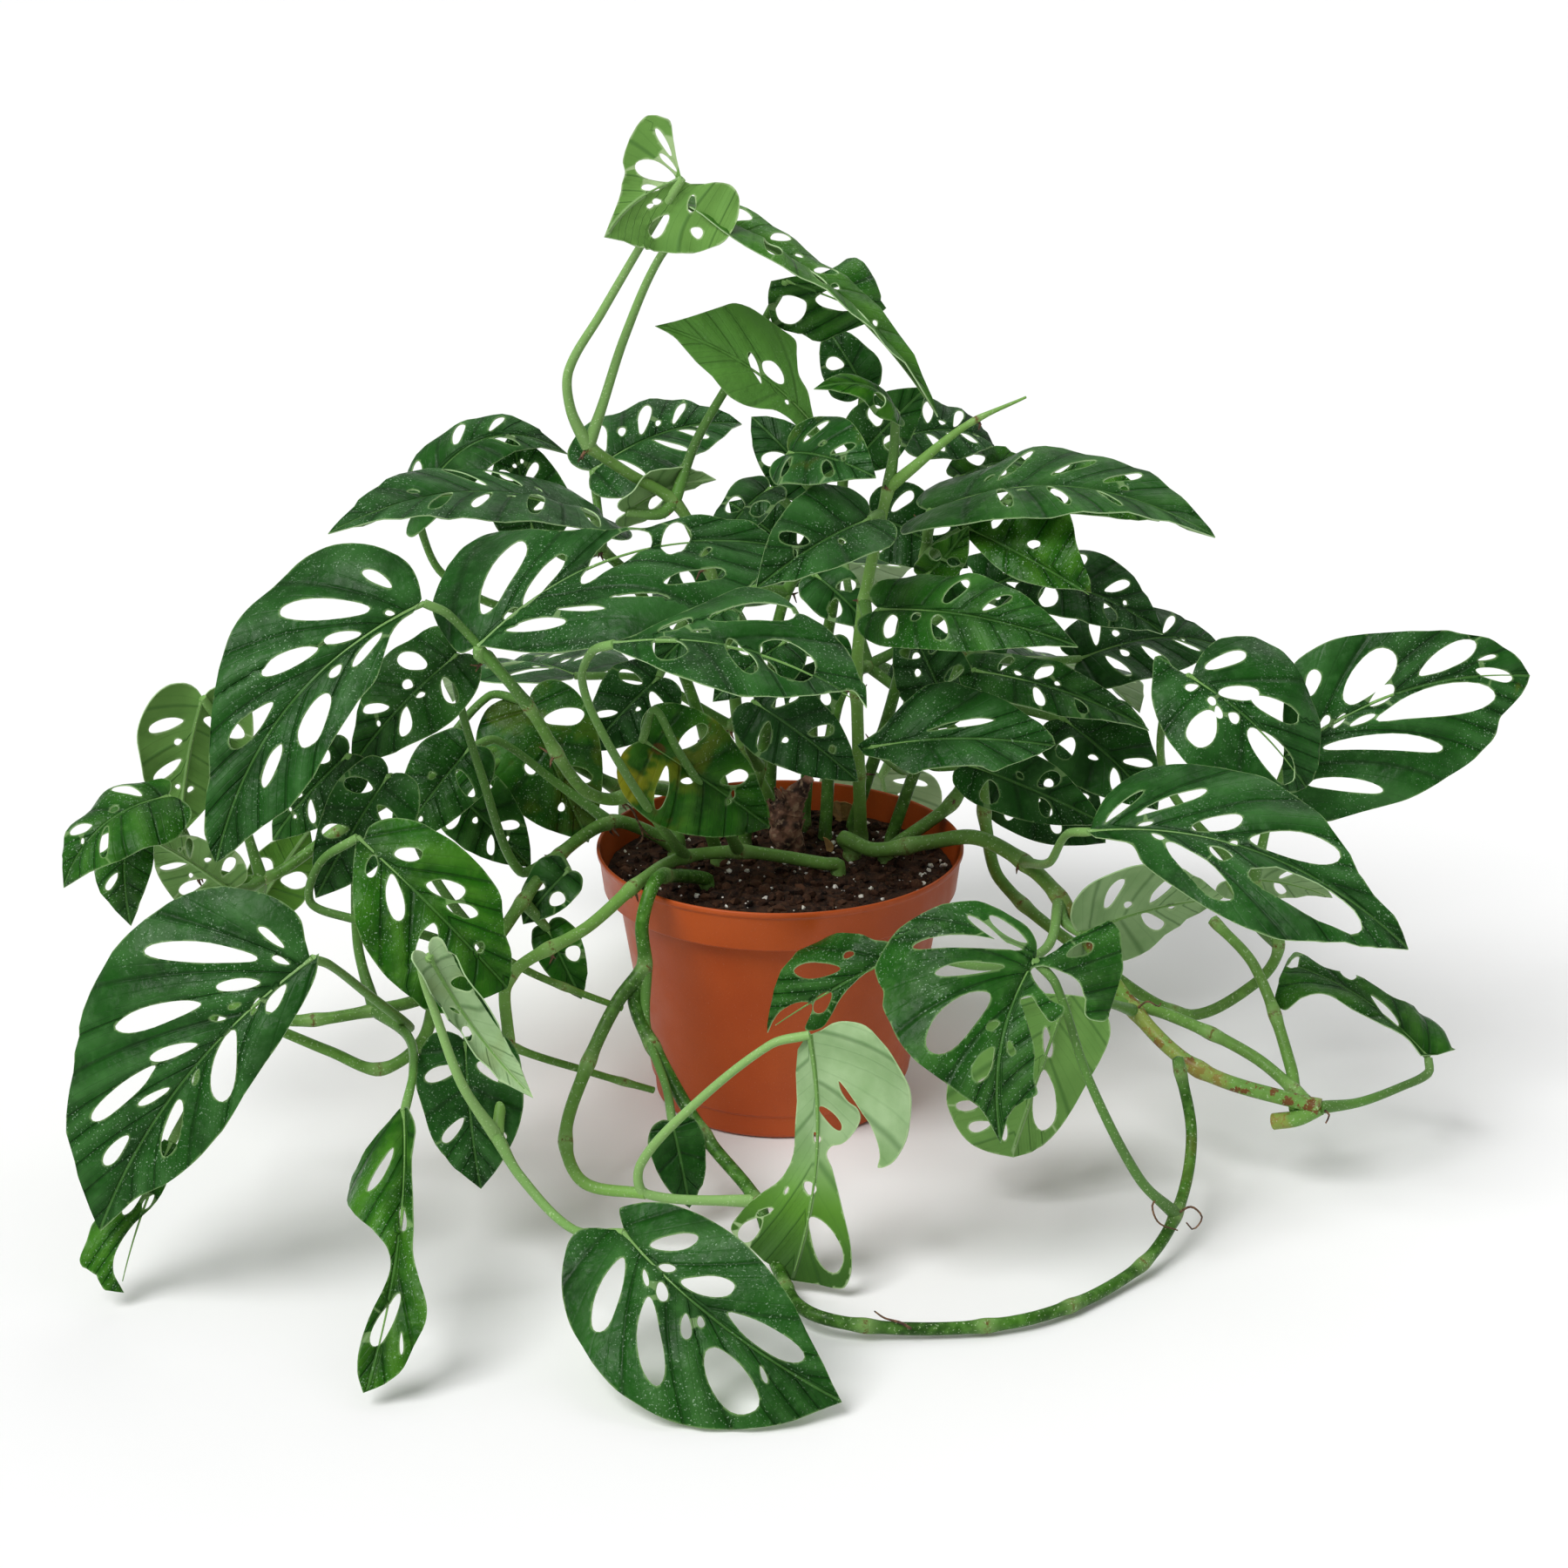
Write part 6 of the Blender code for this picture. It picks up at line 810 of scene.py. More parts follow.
def hole_ring(centre, long, wide, turn):
    """A slightly uneven egg-shaped ring, its blunt end towards the leaf's edge."""
    ring = []
    cos, sin = math.cos(turn), math.sin(turn)
    for k in range(HOLE_CORNERS):
        angle = 2 * math.pi * k / HOLE_CORNERS
        spot = Vector((math.cos(angle), math.sin(angle), centre.x * 40 + centre.y * 17))
        uneven = 1 + HOLE_WOBBLE * 2 * noise.noise(spot)
        along = long * math.cos(angle) * uneven
        across = wide * math.sin(angle) * (1 + HOLE_EGG * math.cos(angle)) * uneven
        ring.append(centre + Vector((along * cos - across * sin, along * sin + across * cos)))
    return ring


def small_holes(blade):
    """The little holes that lie near the midrib between the large ones, as hole_ring takes them."""
    draw = random.Random(1000 + blade.spec["seed"])
    edge = blade.edge(0.0)
    rows = next(n for size, n in HOLE_SIZES if blade.length >= size)
    found = []
    for hand in (1, -1):
        for k in range(1, rows + 1):
            if draw.random() > SMALL_HOLES or rows < 2:
                continue
            start = HOLE_START + (HOLE_END - HOLE_START) * k / rows
            turn = math.radians(HOLE_TURN + (HOLE_END_TURN - HOLE_TURN) * k / rows)
            far = blade.reach(start, hand * turn, edge)
            near, long = draw.uniform(*SMALL_NEAR), draw.uniform(*SMALL_LONG)
            fat = (HOLE_END - HOLE_START) / rows * math.sin(turn) * draw.uniform(*SMALL_FAT) / 2
            mid = Vector((math.cos(turn), hand * math.sin(turn))) * far * (near + long)
            found.append((Vector((start, 0.0)) + mid, far * long, fat, hand * turn))
    return found


def apart(hole, others):
    """Whether a small hole keeps clear of the larger ones."""
    centre, long = hole[0], hole[1]
    for other, other_long, wide, turn in others:
        gap = centre - other
        along = gap.x * math.cos(turn) + gap.y * math.sin(turn)
        across = -gap.x * math.sin(turn) + gap.y * math.cos(turn)
        if math.hypot(along / (other_long + long), across / (wide * SMALL_CLEAR + long)) < 1.0:
            return False
    return True


def rails(blade, holes):
    """(start on the midrib, turn, count) of the lines through the large holes, right half then left."""
    found = []
    for hand in (1, -1):
        rows = []
        for centre, long, _, turn in holes:
            turn *= hand
            if centre.y * hand > 0 and long * 2 * blade.length > VEIN_FROM:
                turn = min(max(turn, VEIN_LEAST), math.pi - VEIN_LEAST)
                rows.append((centre.x - centre.y * hand / math.tan(turn), turn))
        rows = sorted(rows) or RAILS
        first = rows[0][0] - RAIL_BEFORE[0], min(rows[0][1] + RAIL_BEFORE[1], VEIN_MOST)
        last = rows[-1][0] + RAIL_AFTER[0], max(rows[-1][1] - RAIL_AFTER[1], VEIN_LEAST)
        found.append([(start, turn, k) for k, (start, turn) in enumerate((first, *rows, last))])
    return found


def on_rail(rows, start):
    """(turn, count) of the line that leaves the midrib at `start`."""
    for a, b in zip(rows, rows[1:]):
        if start < b[0] or b is rows[-1]:
            share = (start - a[0]) / max(b[0] - a[0], 0.02)
            return a[1] + (b[1] - a[1]) * held(share), a[2] + share


def vein(rows, u, out):
    """The count of side veins at (u, out): a whole number on one, and halfway at a large hole's middle."""
    low, high = -VEIN_SPAN, VEIN_SPAN
    for _ in range(VEIN_HALVINGS):
        mid = (low + high) / 2
        if mid + out / math.tan(on_rail(rows, mid)[0]) > u:
            high = mid
        else:
            low = mid
    return on_rail(rows, high)[1] + 0.5


def relief(blade, rows, u, v):
    """How far the upper side stands off the bent leaf at (u, v), in mm, and the count of veins there."""
    out = abs(v) * blade.length
    wave = vein(rows[0 if v >= 0 else 1], u, abs(v))
    fade = min(out / QUILT_FADE, 1.0)
    high = -GROOVE * math.exp(-((out / GROOVE_WIDE) ** 2)) - QUILT * fade * math.cos(2 * math.pi * wave)
    for size, tall in UNEVEN:
        spot = Vector((u, v, 0.0)) * blade.length / size
        high += tall * fade * noise.noise(spot + Vector((0.0, 0.0, blade.spec["seed"] * 3.1)))
    return high, wave


def boxed(ring):
    """A ring with its lowest and highest corners."""
    xs, ys = [p.x for p in ring], [p.y for p in ring]
    return ring, min(xs), max(xs), min(ys), max(ys)


def inside(point, ring):
    """Whether a flat point lies in a closed ring."""
    hit = False
    for a, b in zip(ring, ring[1:] + ring[:1]):
        if (a.y > point.y) != (b.y > point.y):
            if point.x < a.x + (b.x - a.x) * (point.y - a.y) / (b.y - a.y):
                hit = not hit
    return hit


def in_any(point, boxes):
    """Whether a flat point lies in any of the boxed rings."""
    return any(
        left < point.x < right and low < point.y < high and inside(point, ring)
        for ring, left, right, low, high in boxes
    )


def flat_leaf(blade):
    """The leaf flat, in leaf lengths: its points, and its triangles with the holes left out."""
    edge = blade.edge(EDGE_KEPT)
    holes = blade.holes()
    if blade.spec["seed"] not in LEAF_SEEN:
        holes += [hole for hole in small_holes(blade) if apart(hole, holes)]
    rings = [hole_ring(*hole) for hole in holes]
    outline, boxes = [boxed(edge)], [boxed(ring) for ring in rings]
    points, lines = [], []
    for ring in [edge] + rings:
        first = len(points)
        points += ring
        lines += [(first + i, first + (i + 1) % len(ring)) for i in range(len(ring))]
    near = KDTree(len(points))
    for p in points:
        near.insert((p.x, p.y, 0.0), 0)
    near.balance()
    step = GRID / blade.length
    _, left, right, low, high = outline[0]
    rows = int((high - low) / (step * GRID_ROW)) + 1
    for row in range(-rows, rows + 1):
        shift = step / 2 if row % 2 else 0.0
        for k in range(int((right - left) / step) + 1):
            p = Vector((left + shift + k * step, row * step * GRID_ROW))
            clear = near.find((p.x, p.y, 0.0))[2] > step * GRID_CLEAR
            if clear and in_any(p, outline) and not in_any(p, boxes):
                points.append(p)
    flat, _, faces, _, _, _ = delaunay_2d_cdt(points, lines, [], 0, 1e-6)
    kept = []
    for face in faces:
        middle = (flat[face[0]] + flat[face[1]] + flat[face[2]]) / 3
        if in_any(middle, outline) and not in_any(middle, boxes):
            kept.append(tuple(face))
    return flat, kept


def free_edges(faces):
    """The edges that only one face has, each as that face runs along it."""
    edges = {(a, b): None for face in faces for a, b in zip(face, face[1:] + face[:1])}
    return [(a, b) for a, b in edges if (b, a) not in edges]


def each(value, count):
    """The list itself, or the one value that all `count` take."""
    return value if isinstance(value, list) else [value] * count


class Form:
    """Points, faces and notes on the points of one piece, gathered before its mesh is made."""

    def __init__(self):
        self.points, self.faces, self.slots, self.marks, self.tones = [], [], [], [], []

    def add(self, points, faces, slot, marks=PLAIN, tones=PLAIN):
        """Adds faces in their material slots, with two notes of three numbers on each point."""
        first = len(self.points)
        self.points += points
        self.faces += [tuple(first + i for i in face) for face in faces]
        self.slots += each(slot, len(faces))
        self.marks += each(marks, len(points))
        self.tones += each(tones, len(points))

    def piece(self, name, materials, node):
        """The finished piece, riding on the part in place of its solid and kept inside the part's box."""
        data = bpy.data.meshes.new(name)
        low, high = CAD_BOX
        places = [[min(max(c * MM, a), b) for c, a, b in zip(p, low, high)] for p in self.points]
        data.from_pydata(places, [], self.faces)
        for material in materials:
            data.materials.append(material)
        data.polygons.foreach_set("material_index", self.slots)
        for label, values in (("mark", self.marks), ("tone", self.tones)):
            layer = data.attributes.new(label, "FLOAT_VECTOR", "POINT")
            layer.data.foreach_set("vector", [number for value in values for number in value])
        data.validate()
        data.shade_smooth()
        data.set_sharp_from_angle(angle=SHARP_FROM)
        thing = bpy.data.objects.new(name, data)
        bpy.context.scene.collection.objects.link(thing)
        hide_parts(node)
        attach(thing, "root")
        return thing


def add_leaf(form, blade, painted_shade):
    """One leaf with both its sides and its cut edges, its colour darkened by the painted shade it is given.
    """
    flat, faces = flat_leaf(blade)
    rows = rails(blade, blade.holes())
    used = sorted({i for face in faces for i in face})
    place = {old: new for new, old in enumerate(used)}
    faces = [tuple(place[i] for i in face) for face in faces]
    ends = {i for pair in free_edges(faces) for i in pair}
    seed = blade.spec["seed"]
    shade = TONES.get(seed, random.Random(seed).gauss(TONE_MID, TONE_VARY))
    # Painted shade: a leaf inside the crown has its tone lowered, and below 0 its colour is painted darker
    shade = min(max(shade, 0.0), TONE_MOST) - painted_shade
    turn_from, turn_to, turned = TURNS.get(seed, (0.0, 1.0, shade))
    sound, aged = AGED.get(seed, (0.0, 1.0))
    tiny = TILT_STEP / blade.length
    upper, under, marks, tones = [], [], [], []
    for new, old in enumerate(used):
        u, v = flat[old]
        here = blade.place(u, v)
        along = blade.place(u + tiny, v) - here
        across = blade.place(u, v + tiny) - here if v >= 0 else here - blade.place(u, v - tiny)
        normal = across.cross(along).normalized()
        if normal.dot(blade.midrib(u)[2]) < 0:
            normal = -normal
        high, wave = relief(blade, rows, u, v)
        here = here + normal * high
        upper.append(here + normal * BLADE / 2)
        under.append(here - normal * BLADE / 2)
        marks.append((u, abs(v) * blade.length, wave))
        dried = held((u - sound) / (aged - sound)) if seed in AGED else BROWNED.get(seed, 0.0)
        turn = held((u - turn_from) / (turn_to - turn_from))
        tones.append((shade + (turned - shade) * turn, dried, 1.0 if new in ends else 0.0))
    back = [face[::-1] for face in faces]
    a, b, c = (upper[i] for i in faces[0])
    if (b - a).cross(c - a).dot(a - under[faces[0][0]]) < 0:
        faces, back = back, faces
    count = len(upper)
    back = [tuple(count + i for i in face) for face in back]
    sides = [(b, a, a + count, b + count) for a, b in free_edges(faces)]
    slots = [0] * len(faces) + [1] * len(back) + [2] * len(sides)
    form.add(upper + under, faces + back + sides, slots, marks * 2, tones * 2)


def ways(points):
    """How far along the line each point lies."""
    far = [0.0]
    for a, b in zip(points, points[1:]):
        far.append(far[-1] + (b - a).length)
    return far


def spaced(points, step):
    """Points at even steps along the line."""
    far = ways(points)
    count = max(int(far[-1] / step), 2)
    found, i = [], 0
    for k in range(count + 1):
        want = far[-1] * k / count
        while i < len(points) - 2 and far[i + 1] < want:
            i += 1
        share = (want - far[i]) / max(far[i + 1] - far[i], 1e-9)
        found.append(points[i].lerp(points[i + 1], min(share, 1.0)))
    return found


def ring_notes(notes, sides):
    """Notes on each ring of a tube as notes on each of its points."""
    if not isinstance(notes, list):
        return notes
    return [note for note in notes for _ in range(sides)] + [notes[0], notes[-1]]


def add_tube(form, points, radii, sides, slot, marks=PLAIN, tones=PLAIN):
    """A closed round tube through the points, with a rounded end."""
    side = (points[1] - points[0]).normalized().orthogonal().normalized()
    verts = []
    for i, point in enumerate(points):
        axis = (points[min(i + 1, len(points) - 1)] - points[max(i - 1, 0)]).normalized()
        side = (side - axis * side.dot(axis)).normalized()
        up = axis.cross(side)
        for k in range(sides):
            angle = 2 * math.pi * k / sides
            verts.append(point + (side * math.cos(angle) + up * math.sin(angle)) * radii[i])
    faces = []
    for i in range(len(points) - 1):
        for k in range(sides):
            a, b = i * sides + k, i * sides + (k + 1) % sides
            faces.append((a, b, b + sides, a + sides))
    low, high, last = len(verts), len(verts) + 1, (len(points) - 1) * sides
    verts += [points[0] - (points[1] - points[0]).normalized() * radii[0] * CAP,
              points[-1] + (points[-1] - points[-2]).normalized() * radii[-1] * CAP]
    for k in range(sides):
        faces.append((low, (k + 1) % sides, k))
        faces.append((high, last + k, last + (k + 1) % sides))
    form.add(verts, faces, slot, ring_notes(marks, sides), ring_notes(tones, sides))


def add_stem(form, stem, seed, pale, pale_end, worn):
    """A stem with swollen pale nodes, ring scars and the stubs of dry air roots."""
    draw = random.Random(seed)
    points = spaced(settled(stem["points"], PATH_FINE), TUBE_STEP)
    far = ways(points)
    places = []
    for spec in stem["leaves"]:
        spot = stem["points"][spec["at"]]
        places.append(far[min(range(len(points)), key=lambda i: (points[i] - spot).length)])
    want = NODE_GAP
    while want < far[-1] - NODE_REACH:
        if all(abs(want - place) > NODE_GAP * NODE_APART for place in places):
            places.append(want + draw.uniform(-NODE_SHIFT, NODE_SHIFT))
        want += NODE_GAP
    radii, marks, tones = [], [], []
    for way in far:
        share = way / far[-1]
        radius = stem["start"] + (stem["end"] - stem["start"]) * share
        gap = min((abs(way - place) for place in places), default=99.0)
        close = math.exp(-((gap / NODE_REACH) ** 2))
        radii.append(radius * (1 + NODE_SWELL * close))
        marks.append((way, 0.0, close))
        scarred = held((share - worn[0]) / WORN_FADE) * held((worn[1] - share) / WORN_FADE)
        tones.append((pale + (pale_end - pale) * share, scarred, math.exp(-((gap / SCAR_HALF) ** 2))))
    add_tube(form, points, radii, STEM_SIDES, 3, marks, tones)
    for place in places:
        i = min(range(len(points)), key=lambda k: abs(far[k] - place))
        if points[i].z < ROOT_TOPS[1] or draw.random() < NUB_BARE:
            continue
        for _ in range(draw.randint(1, 3)):
            axis = (points[min(i + 1, len(points) - 1)] - points[i - 1]).normalized()
            way = Vector((draw.uniform(-1, 1), draw.uniform(-1, 1), draw.uniform(-1.4, 0.2)))
            way = (way - axis * way.dot(axis)).normalized()
            long = draw.uniform(*NUB_LONG)
            start = points[i] + way * radii[i] * 0.7
            nub = [start, start + way * long * 0.5, start + (way + axis * draw.uniform(-0.6, 0.6)) * long]
            if min(p.z for p in nub) > NUB_LEAST_Z:
                add_tube(form, nub, NUB_R, NUB_SIDES, 5, tones=ROOT_TONE)


def add_stalk(form, stem, spec, blade):
    """A leaf's stalk, swollen where it clasps the stem and where it meets the blade, and its rib."""
    under = spec["base"] - blade.midrib(0.0)[2] * RIB_UNDER
    line = settled([stem["points"][spec["at"]], *spec["via"], under], PATH_FINE)
    points = spaced(line, TUBE_STEP)
    far = ways(points)
    radii, marks = [], []
    for way in far:
        radius = PETIOLE_R + (PETIOLE_END_R - PETIOLE_R) * way / far[-1]
        foot = FOOT_SWELL * math.exp(-((way / FOOT_LONG) ** 2))
        knee = KNEE_SWELL * math.exp(-(((far[-1] - way - KNEE_LONG / 2) / KNEE_LONG) ** 2))
        radii.append(radius * (1 + foot + knee))
        marks.append((way, 0.0, math.exp(-(((far[-1] - way) / KNEE_LONG) ** 2))))
    pale = PALE_STALKS.get(spec["seed"], STALK_PALE)
    add_tube(form, points, radii, STALK_SIDES, 4, marks, (pale, 0.0, 0.0))
    steps = max(int(blade.length / RIB_STEP), 5)
    rib, radii = [], []
    size = min(blade.length / RIB_FULL + RIB_LEAST, RIB_MOST)
    for k in range(steps + 1):
        u = RIB_START + (RIB_END - RIB_START) * k / steps
        place, _, normal, _ = blade.midrib(max(u, 0.0))
        rib.append(place - normal * (BLADE / 2 + GROOVE * 0.9 + 0.1))
        radii.append((RIB_R + (RIB_END_R - RIB_R) * (k / steps) ** RIB_TAPER) * size)
    rib[0] = under
    radii[0] = PETIOLE_END_R * 0.9
    add_tube(form, rib, radii, RIB_SIDES, 4, (0.0, 0.0, 0.6), (0.4, 0.0, 0.0))


def rounded(profile, bend):
    """A profile with each corner turned in a small bend."""
    line = [Vector(p) for p in profile]
    found = [line[0]]
    for a, b, c in zip(line, line[1:], line[2:]):
        cut_in = min(bend, (b - a).length * 0.45)
        cut_out = min(bend, (c - b).length * 0.45)
        p, q = b + (a - b).normalized() * cut_in, b + (c - b).normalized() * cut_out
        for k in range(BEND_STEPS + 1):
            t = k / BEND_STEPS
            found.append(p * (1 - t) ** 2 + b * 2 * t * (1 - t) + q * t * t)
    return found + [line[-1]]


def soil_height(x, y):
    """The height of the potting mix at a place in the pot."""
    out = min(math.hypot(x, y) / SOIL_EDGE, 1.0)
    high = SOIL_Z + (SOIL_EDGE_Z - SOIL_Z) * out**4
    for size, tall in SOIL_LUMPS:
        high += tall * noise.noise(Vector((x / size, y / size, 7.0)))
    return high


def add_turned(form, profile, sides, tone=0.0, inward=False):
    """A solid turned about the axis from a profile of (radius, height) that starts and ends on it.

    A height of None follows the potting mix. `inward` is for a profile that starts at the top.
    """
    verts, faces = [], []
    for r, z in profile:
        for k in range(sides if r else 1):
            angle = 2 * math.pi * k / sides
            x, y = r * math.cos(angle), r * math.sin(angle)
            verts.append(Vector((x, y, soil_height(x, y) if z is None else z)))
    last = 1 + (len(profile) - 3) * sides
    for k in range(sides):
        after = (k + 1) % sides
        faces.append((0, 1 + after, 1 + k))
        for i in range(len(profile) - 3):
            a, b = 1 + i * sides + k, 1 + i * sides + after
            faces.append((a, b, b + sides, a + sides))
        faces.append((len(verts) - 1, last + k, last + after))
    if inward:
        faces = [face[:1] + face[:0:-1] for face in faces]
    form.add(verts, faces, 0, tones=(tone, 0.0, 0.0))


def lump(form, place, size, stretch, slot, draw):
    """A small rough lump."""
    ball = bmesh.new()
    bmesh.ops.create_icosphere(ball, subdivisions=1, radius=1.0)
    turn = Vector((draw.uniform(-1, 1), draw.uniform(-1, 1), draw.uniform(-1, 1))).normalized()
    spin = turn.to_track_quat("Z", "Y")
    offset = Vector((draw.uniform(0, 99), draw.uniform(0, 99), draw.uniform(0, 99)))
    verts = []
    for vert in ball.verts:
        rough = 1 + LUMP_ROUGH * noise.noise(vert.co * LUMP_FINE + offset)
        spot = Vector((vert.co.x * stretch, vert.co.y, vert.co.z * LUMP_FLAT)) * size * rough
        verts.append(place + spin @ spot)
    faces = [tuple(vert.index for vert in face.verts) for face in ball.faces]
    ball.free()
    form.add(verts, faces, slot, tones=(draw.random(), 0.0, 0.0))


def rgb(code):
    """A linear colour from six hex digits."""
    parts = [int(code[i:i + 2], 16) / 255 for i in (0, 2, 4)]
    return (*[c / 12.92 if c <= 0.04045 else ((c + 0.055) / 1.055) ** 2.4 for c in parts], 1.0)


class Paint:
    """A procedural material in the making, its colour laid on in layers."""

    def __init__(self, name, **values):
        self.material = bpy.data.materials.new(name)
        self.material.use_nodes = True
        self.tree = self.material.node_tree
        self.shader = self.tree.nodes["Principled BSDF"]
        self.colour = None
        for socket, value in values.items():
            self.shader.inputs[socket.replace("_", " ")].default_value = value

    def node(self, kind, inputs, output=0, **settings):
        """The output of a new node whose inputs are sockets or plain values."""
        made = self.tree.nodes.new(kind)
        for key, value in settings.items():
            setattr(made, key, value)
        for key, value in inputs.items():
            if isinstance(value, bpy.types.NodeSocket):
                self.tree.links.new(value, made.inputs[key])
            else:
                made.inputs[key].default_value = value
        return made.outputs[output]

    def notes(self, label):
        """The three numbers of a note on the points."""
        vector = self.node("ShaderNodeAttribute", {}, "Vector", attribute_name=label)
        return self.node("ShaderNodeSeparateXYZ", {0: vector}).node.outputs[:3]

    def maths(self, operation, a, b=0.0):
        return self.node("ShaderNodeMath", {0: a, 1: b}, operation=operation)

    def times(self, a, b):
        return self.maths("MULTIPLY", a, b)

    def ramp(self, value, low, high, to_low=0.0, to_high=1.0):
        """The value brought from low..high to to_low..to_high, smoothly and held at its ends."""
        inputs = {0: value, 1: low, 2: high, 3: to_low, 4: to_high}
        return self.node("ShaderNodeMapRange", inputs, interpolation_type="SMOOTHSTEP")

    def noise(self, scale, detail=2.0, rough=0.5):
        inputs = {"Vector": self.node("ShaderNodeTexCoord", {}, "Object"), "Scale": scale, "Detail": detail}
        return self.node("ShaderNodeTexNoise", {**inputs, "Roughness": rough})

    def blots(self, scale, detail, low, high, to_low=0.0, to_high=1.0, rough=0.5):
        """Noise brought from low..high to to_low..to_high."""
        return self.ramp(self.noise(scale, detail, rough), low, high, to_low, to_high)

    def near_whole(self, count):
        """How near a count is to a whole number: 0.5 on one, 0 halfway between two."""
        part = self.maths("FRACT", self.maths("ADD", count, 20.0))
        return self.maths("ABSOLUTE", self.maths("SUBTRACT", part, 0.5))

    def mix(self, share, a, b):
        """Two colours mixed, each six hex digits or an output."""
        a, b = (rgb(c) if isinstance(c, str) else c for c in (a, b))
        return self.node("ShaderNodeMix", {0: share, 6: a, 7: b}, 2, data_type="RGBA")

    def over(self, colour, share):
        """Lays a colour over the last by a share."""
        self.colour = self.mix(share, self.colour, colour)

    def done(self, height=None, strength=0.0, distance=0.0, rough=None):
        """The material, with its surface raised by a height."""
        normal = None
        if height is not None:
            inputs = {"Height": height, "Strength": strength, "Distance": distance}
            normal = self.node("ShaderNodeBump", inputs)
        for socket, value in (("Base Color", self.colour), ("Roughness", rough), ("Normal", normal)):
            if value is not None:
                self.tree.links.new(value, self.shader.inputs[socket])
        return self.material


def vein_lines(paint, out, wave, wide):
    """How much a point lies on any vein, on the midrib, and on a side vein or a fine one."""
    side = paint.ramp(paint.near_whole(wave), 0.45 - 0.02 * wide, 0.5)
    fine = paint.ramp(paint.near_whole(paint.times(wave, 4.0)), 0.42 - 0.02 * wide, 0.5, 0.0, 0.2)
    middle = paint.ramp(out, 0.3 * wide, 0.85 * wide, 1.0, 0.0)
    thin = paint.maths("MAXIMUM", side, fine)
    return paint.maths("MAXIMUM", thin, middle), middle, thin


def leaf_upper():
    paint = Paint("leaf upper side", Roughness=0.42, Specular_IOR_Level=0.12)
    _, out, wave = paint.notes("mark")
    shade, brown, rim = paint.notes("tone")
    bright = paint.ramp(shade, 0.0, 1.0)
    paint.colour = paint.mix(bright, "184a11", "205c04")
    paint.over("0a2706", paint.blots(48.0, 3.0, 0.35, 0.7, 0.0, 0.6))
    pale = paint.mix(bright, "42743a", "568f28")
    paint.over(pale, paint.blots(210.0, 3.0, 0.45, 0.75, 0.0, 0.25))
    lines, middle, thin = vein_lines(paint, out, wave, 1.0)
    # Painted highlight: the raised middle of each quilted panel between side veins is coloured paler, as if
    # lit
    painted_crest_highlight = paint.ramp(paint.near_whole(wave), 0.0, 0.45, 0.45, 0.0)
    paint.over(pale, paint.times(painted_crest_highlight, paint.blots(35.0, 2.0, 0.3, 0.6)))
    # Painted shade: darker within 7 mm of the midrib, in its sunken groove
    paint.over("0c2c08", paint.ramp(out, 0.0, 7.0, 0.4, 0.0))
    # Side and fine veins darkened: the vein lines, with painted shade in their sunken furrows
    paint.over("0a2706", paint.times(thin, 0.5))
    paint.over("5a8a44", paint.times(middle, 0.4))
    specks = paint.blots(1300.0, 1.0, 0.64, 0.72, 0.0, 0.5)
    paint.over("a5c2a2", paint.times(specks, paint.blots(30.0, 2.0, 0.4, 0.6)))
    # Painted shade: leaves inside the crown, whose tone falls below 0, are coloured darker
    paint.over("0a2409", paint.ramp(shade, -1.0, 0.0, 0.8, 0.0))
    # Tones from 1 to 2 are paler. For leaf 81 this is painted light
    paint.over("5f9440", paint.ramp(shade, 1.0, 2.0, 0.0, 0.85))
    # Pale margin by the cut edges: partly the leaf's own paler edge, partly painted highlight where the edge
    # catches light
    paint.over("8fb272", paint.ramp(rim, 0.6, 1.0, 0.0, 0.42))
    paint.over("8a8a1c", paint.times(brown, paint.blots(60.0, 3.0, 0.5, 0.62)))
    paint.over("5b3a1a", paint.times(brown, paint.blots(85.0, 2.0, 0.62, 0.68)))
    height = paint.maths("SUBTRACT", paint.times(paint.noise(420.0, 3.0), 0.8), lines)
    height = paint.maths("ADD", height, paint.times(paint.noise(110.0, 2.0), 2.4))
    return paint.done(height, 0.8, 0.0006, paint.blots(180.0, 2.0, 0.3, 0.7, 0.3, 0.5))


def leaf_under():
    paint = Paint("leaf under side", Roughness=0.6, Specular_IOR_Level=0.12)
    _, out, wave = paint.notes("mark")
    shade, brown, rim = paint.notes("tone")
    paint.colour = paint.mix(paint.ramp(shade, 0.0, 1.0), "9db98a", "5c8f2c")
    paint.over("4d7a34", paint.blots(60.0, 3.0, 0.3, 0.7, 0.0, 0.4))
    lines, middle, _ = vein_lines(paint, out, wave, 1.3)
    paint.over("36612a", paint.times(lines, 0.5))
    paint.over("a8c88c", paint.times(middle, 0.6))
    # Painted shade: leaves inside the crown, whose tone falls below 0, are coloured darker
    paint.over("1f4014", paint.ramp(shade, -1.0, 0.0, 0.8, 0.0))
    paint.over("24441a", paint.ramp(shade, 0.6, 1.6, 0.0, 0.85))
    # Pale margin by the cut edges: partly the leaf's own paler edge, partly painted highlight where the edge
    # catches light
    paint.over("b4cc98", paint.ramp(rim, 0.6, 1.0, 0.0, 0.6))
    paint.over("8f7a3c", paint.times(brown, paint.blots(60.0, 3.0, 0.5, 0.62)))
    return paint.done(paint.maths("ADD", paint.times(paint.noise(500.0, 3.0), 0.4), lines), 0.6, 0.0005)


def leaf_rim():
    paint = Paint("leaf edge", Roughness=0.5)
    # Pale cut edge: partly its own colour, partly painted highlight where the edge catches light
    paint.colour = paint.mix(paint.noise(300.0), "86ac70", "b5d09e")
    return paint.done(paint.noise(900.0), 0.2, 0.0002)


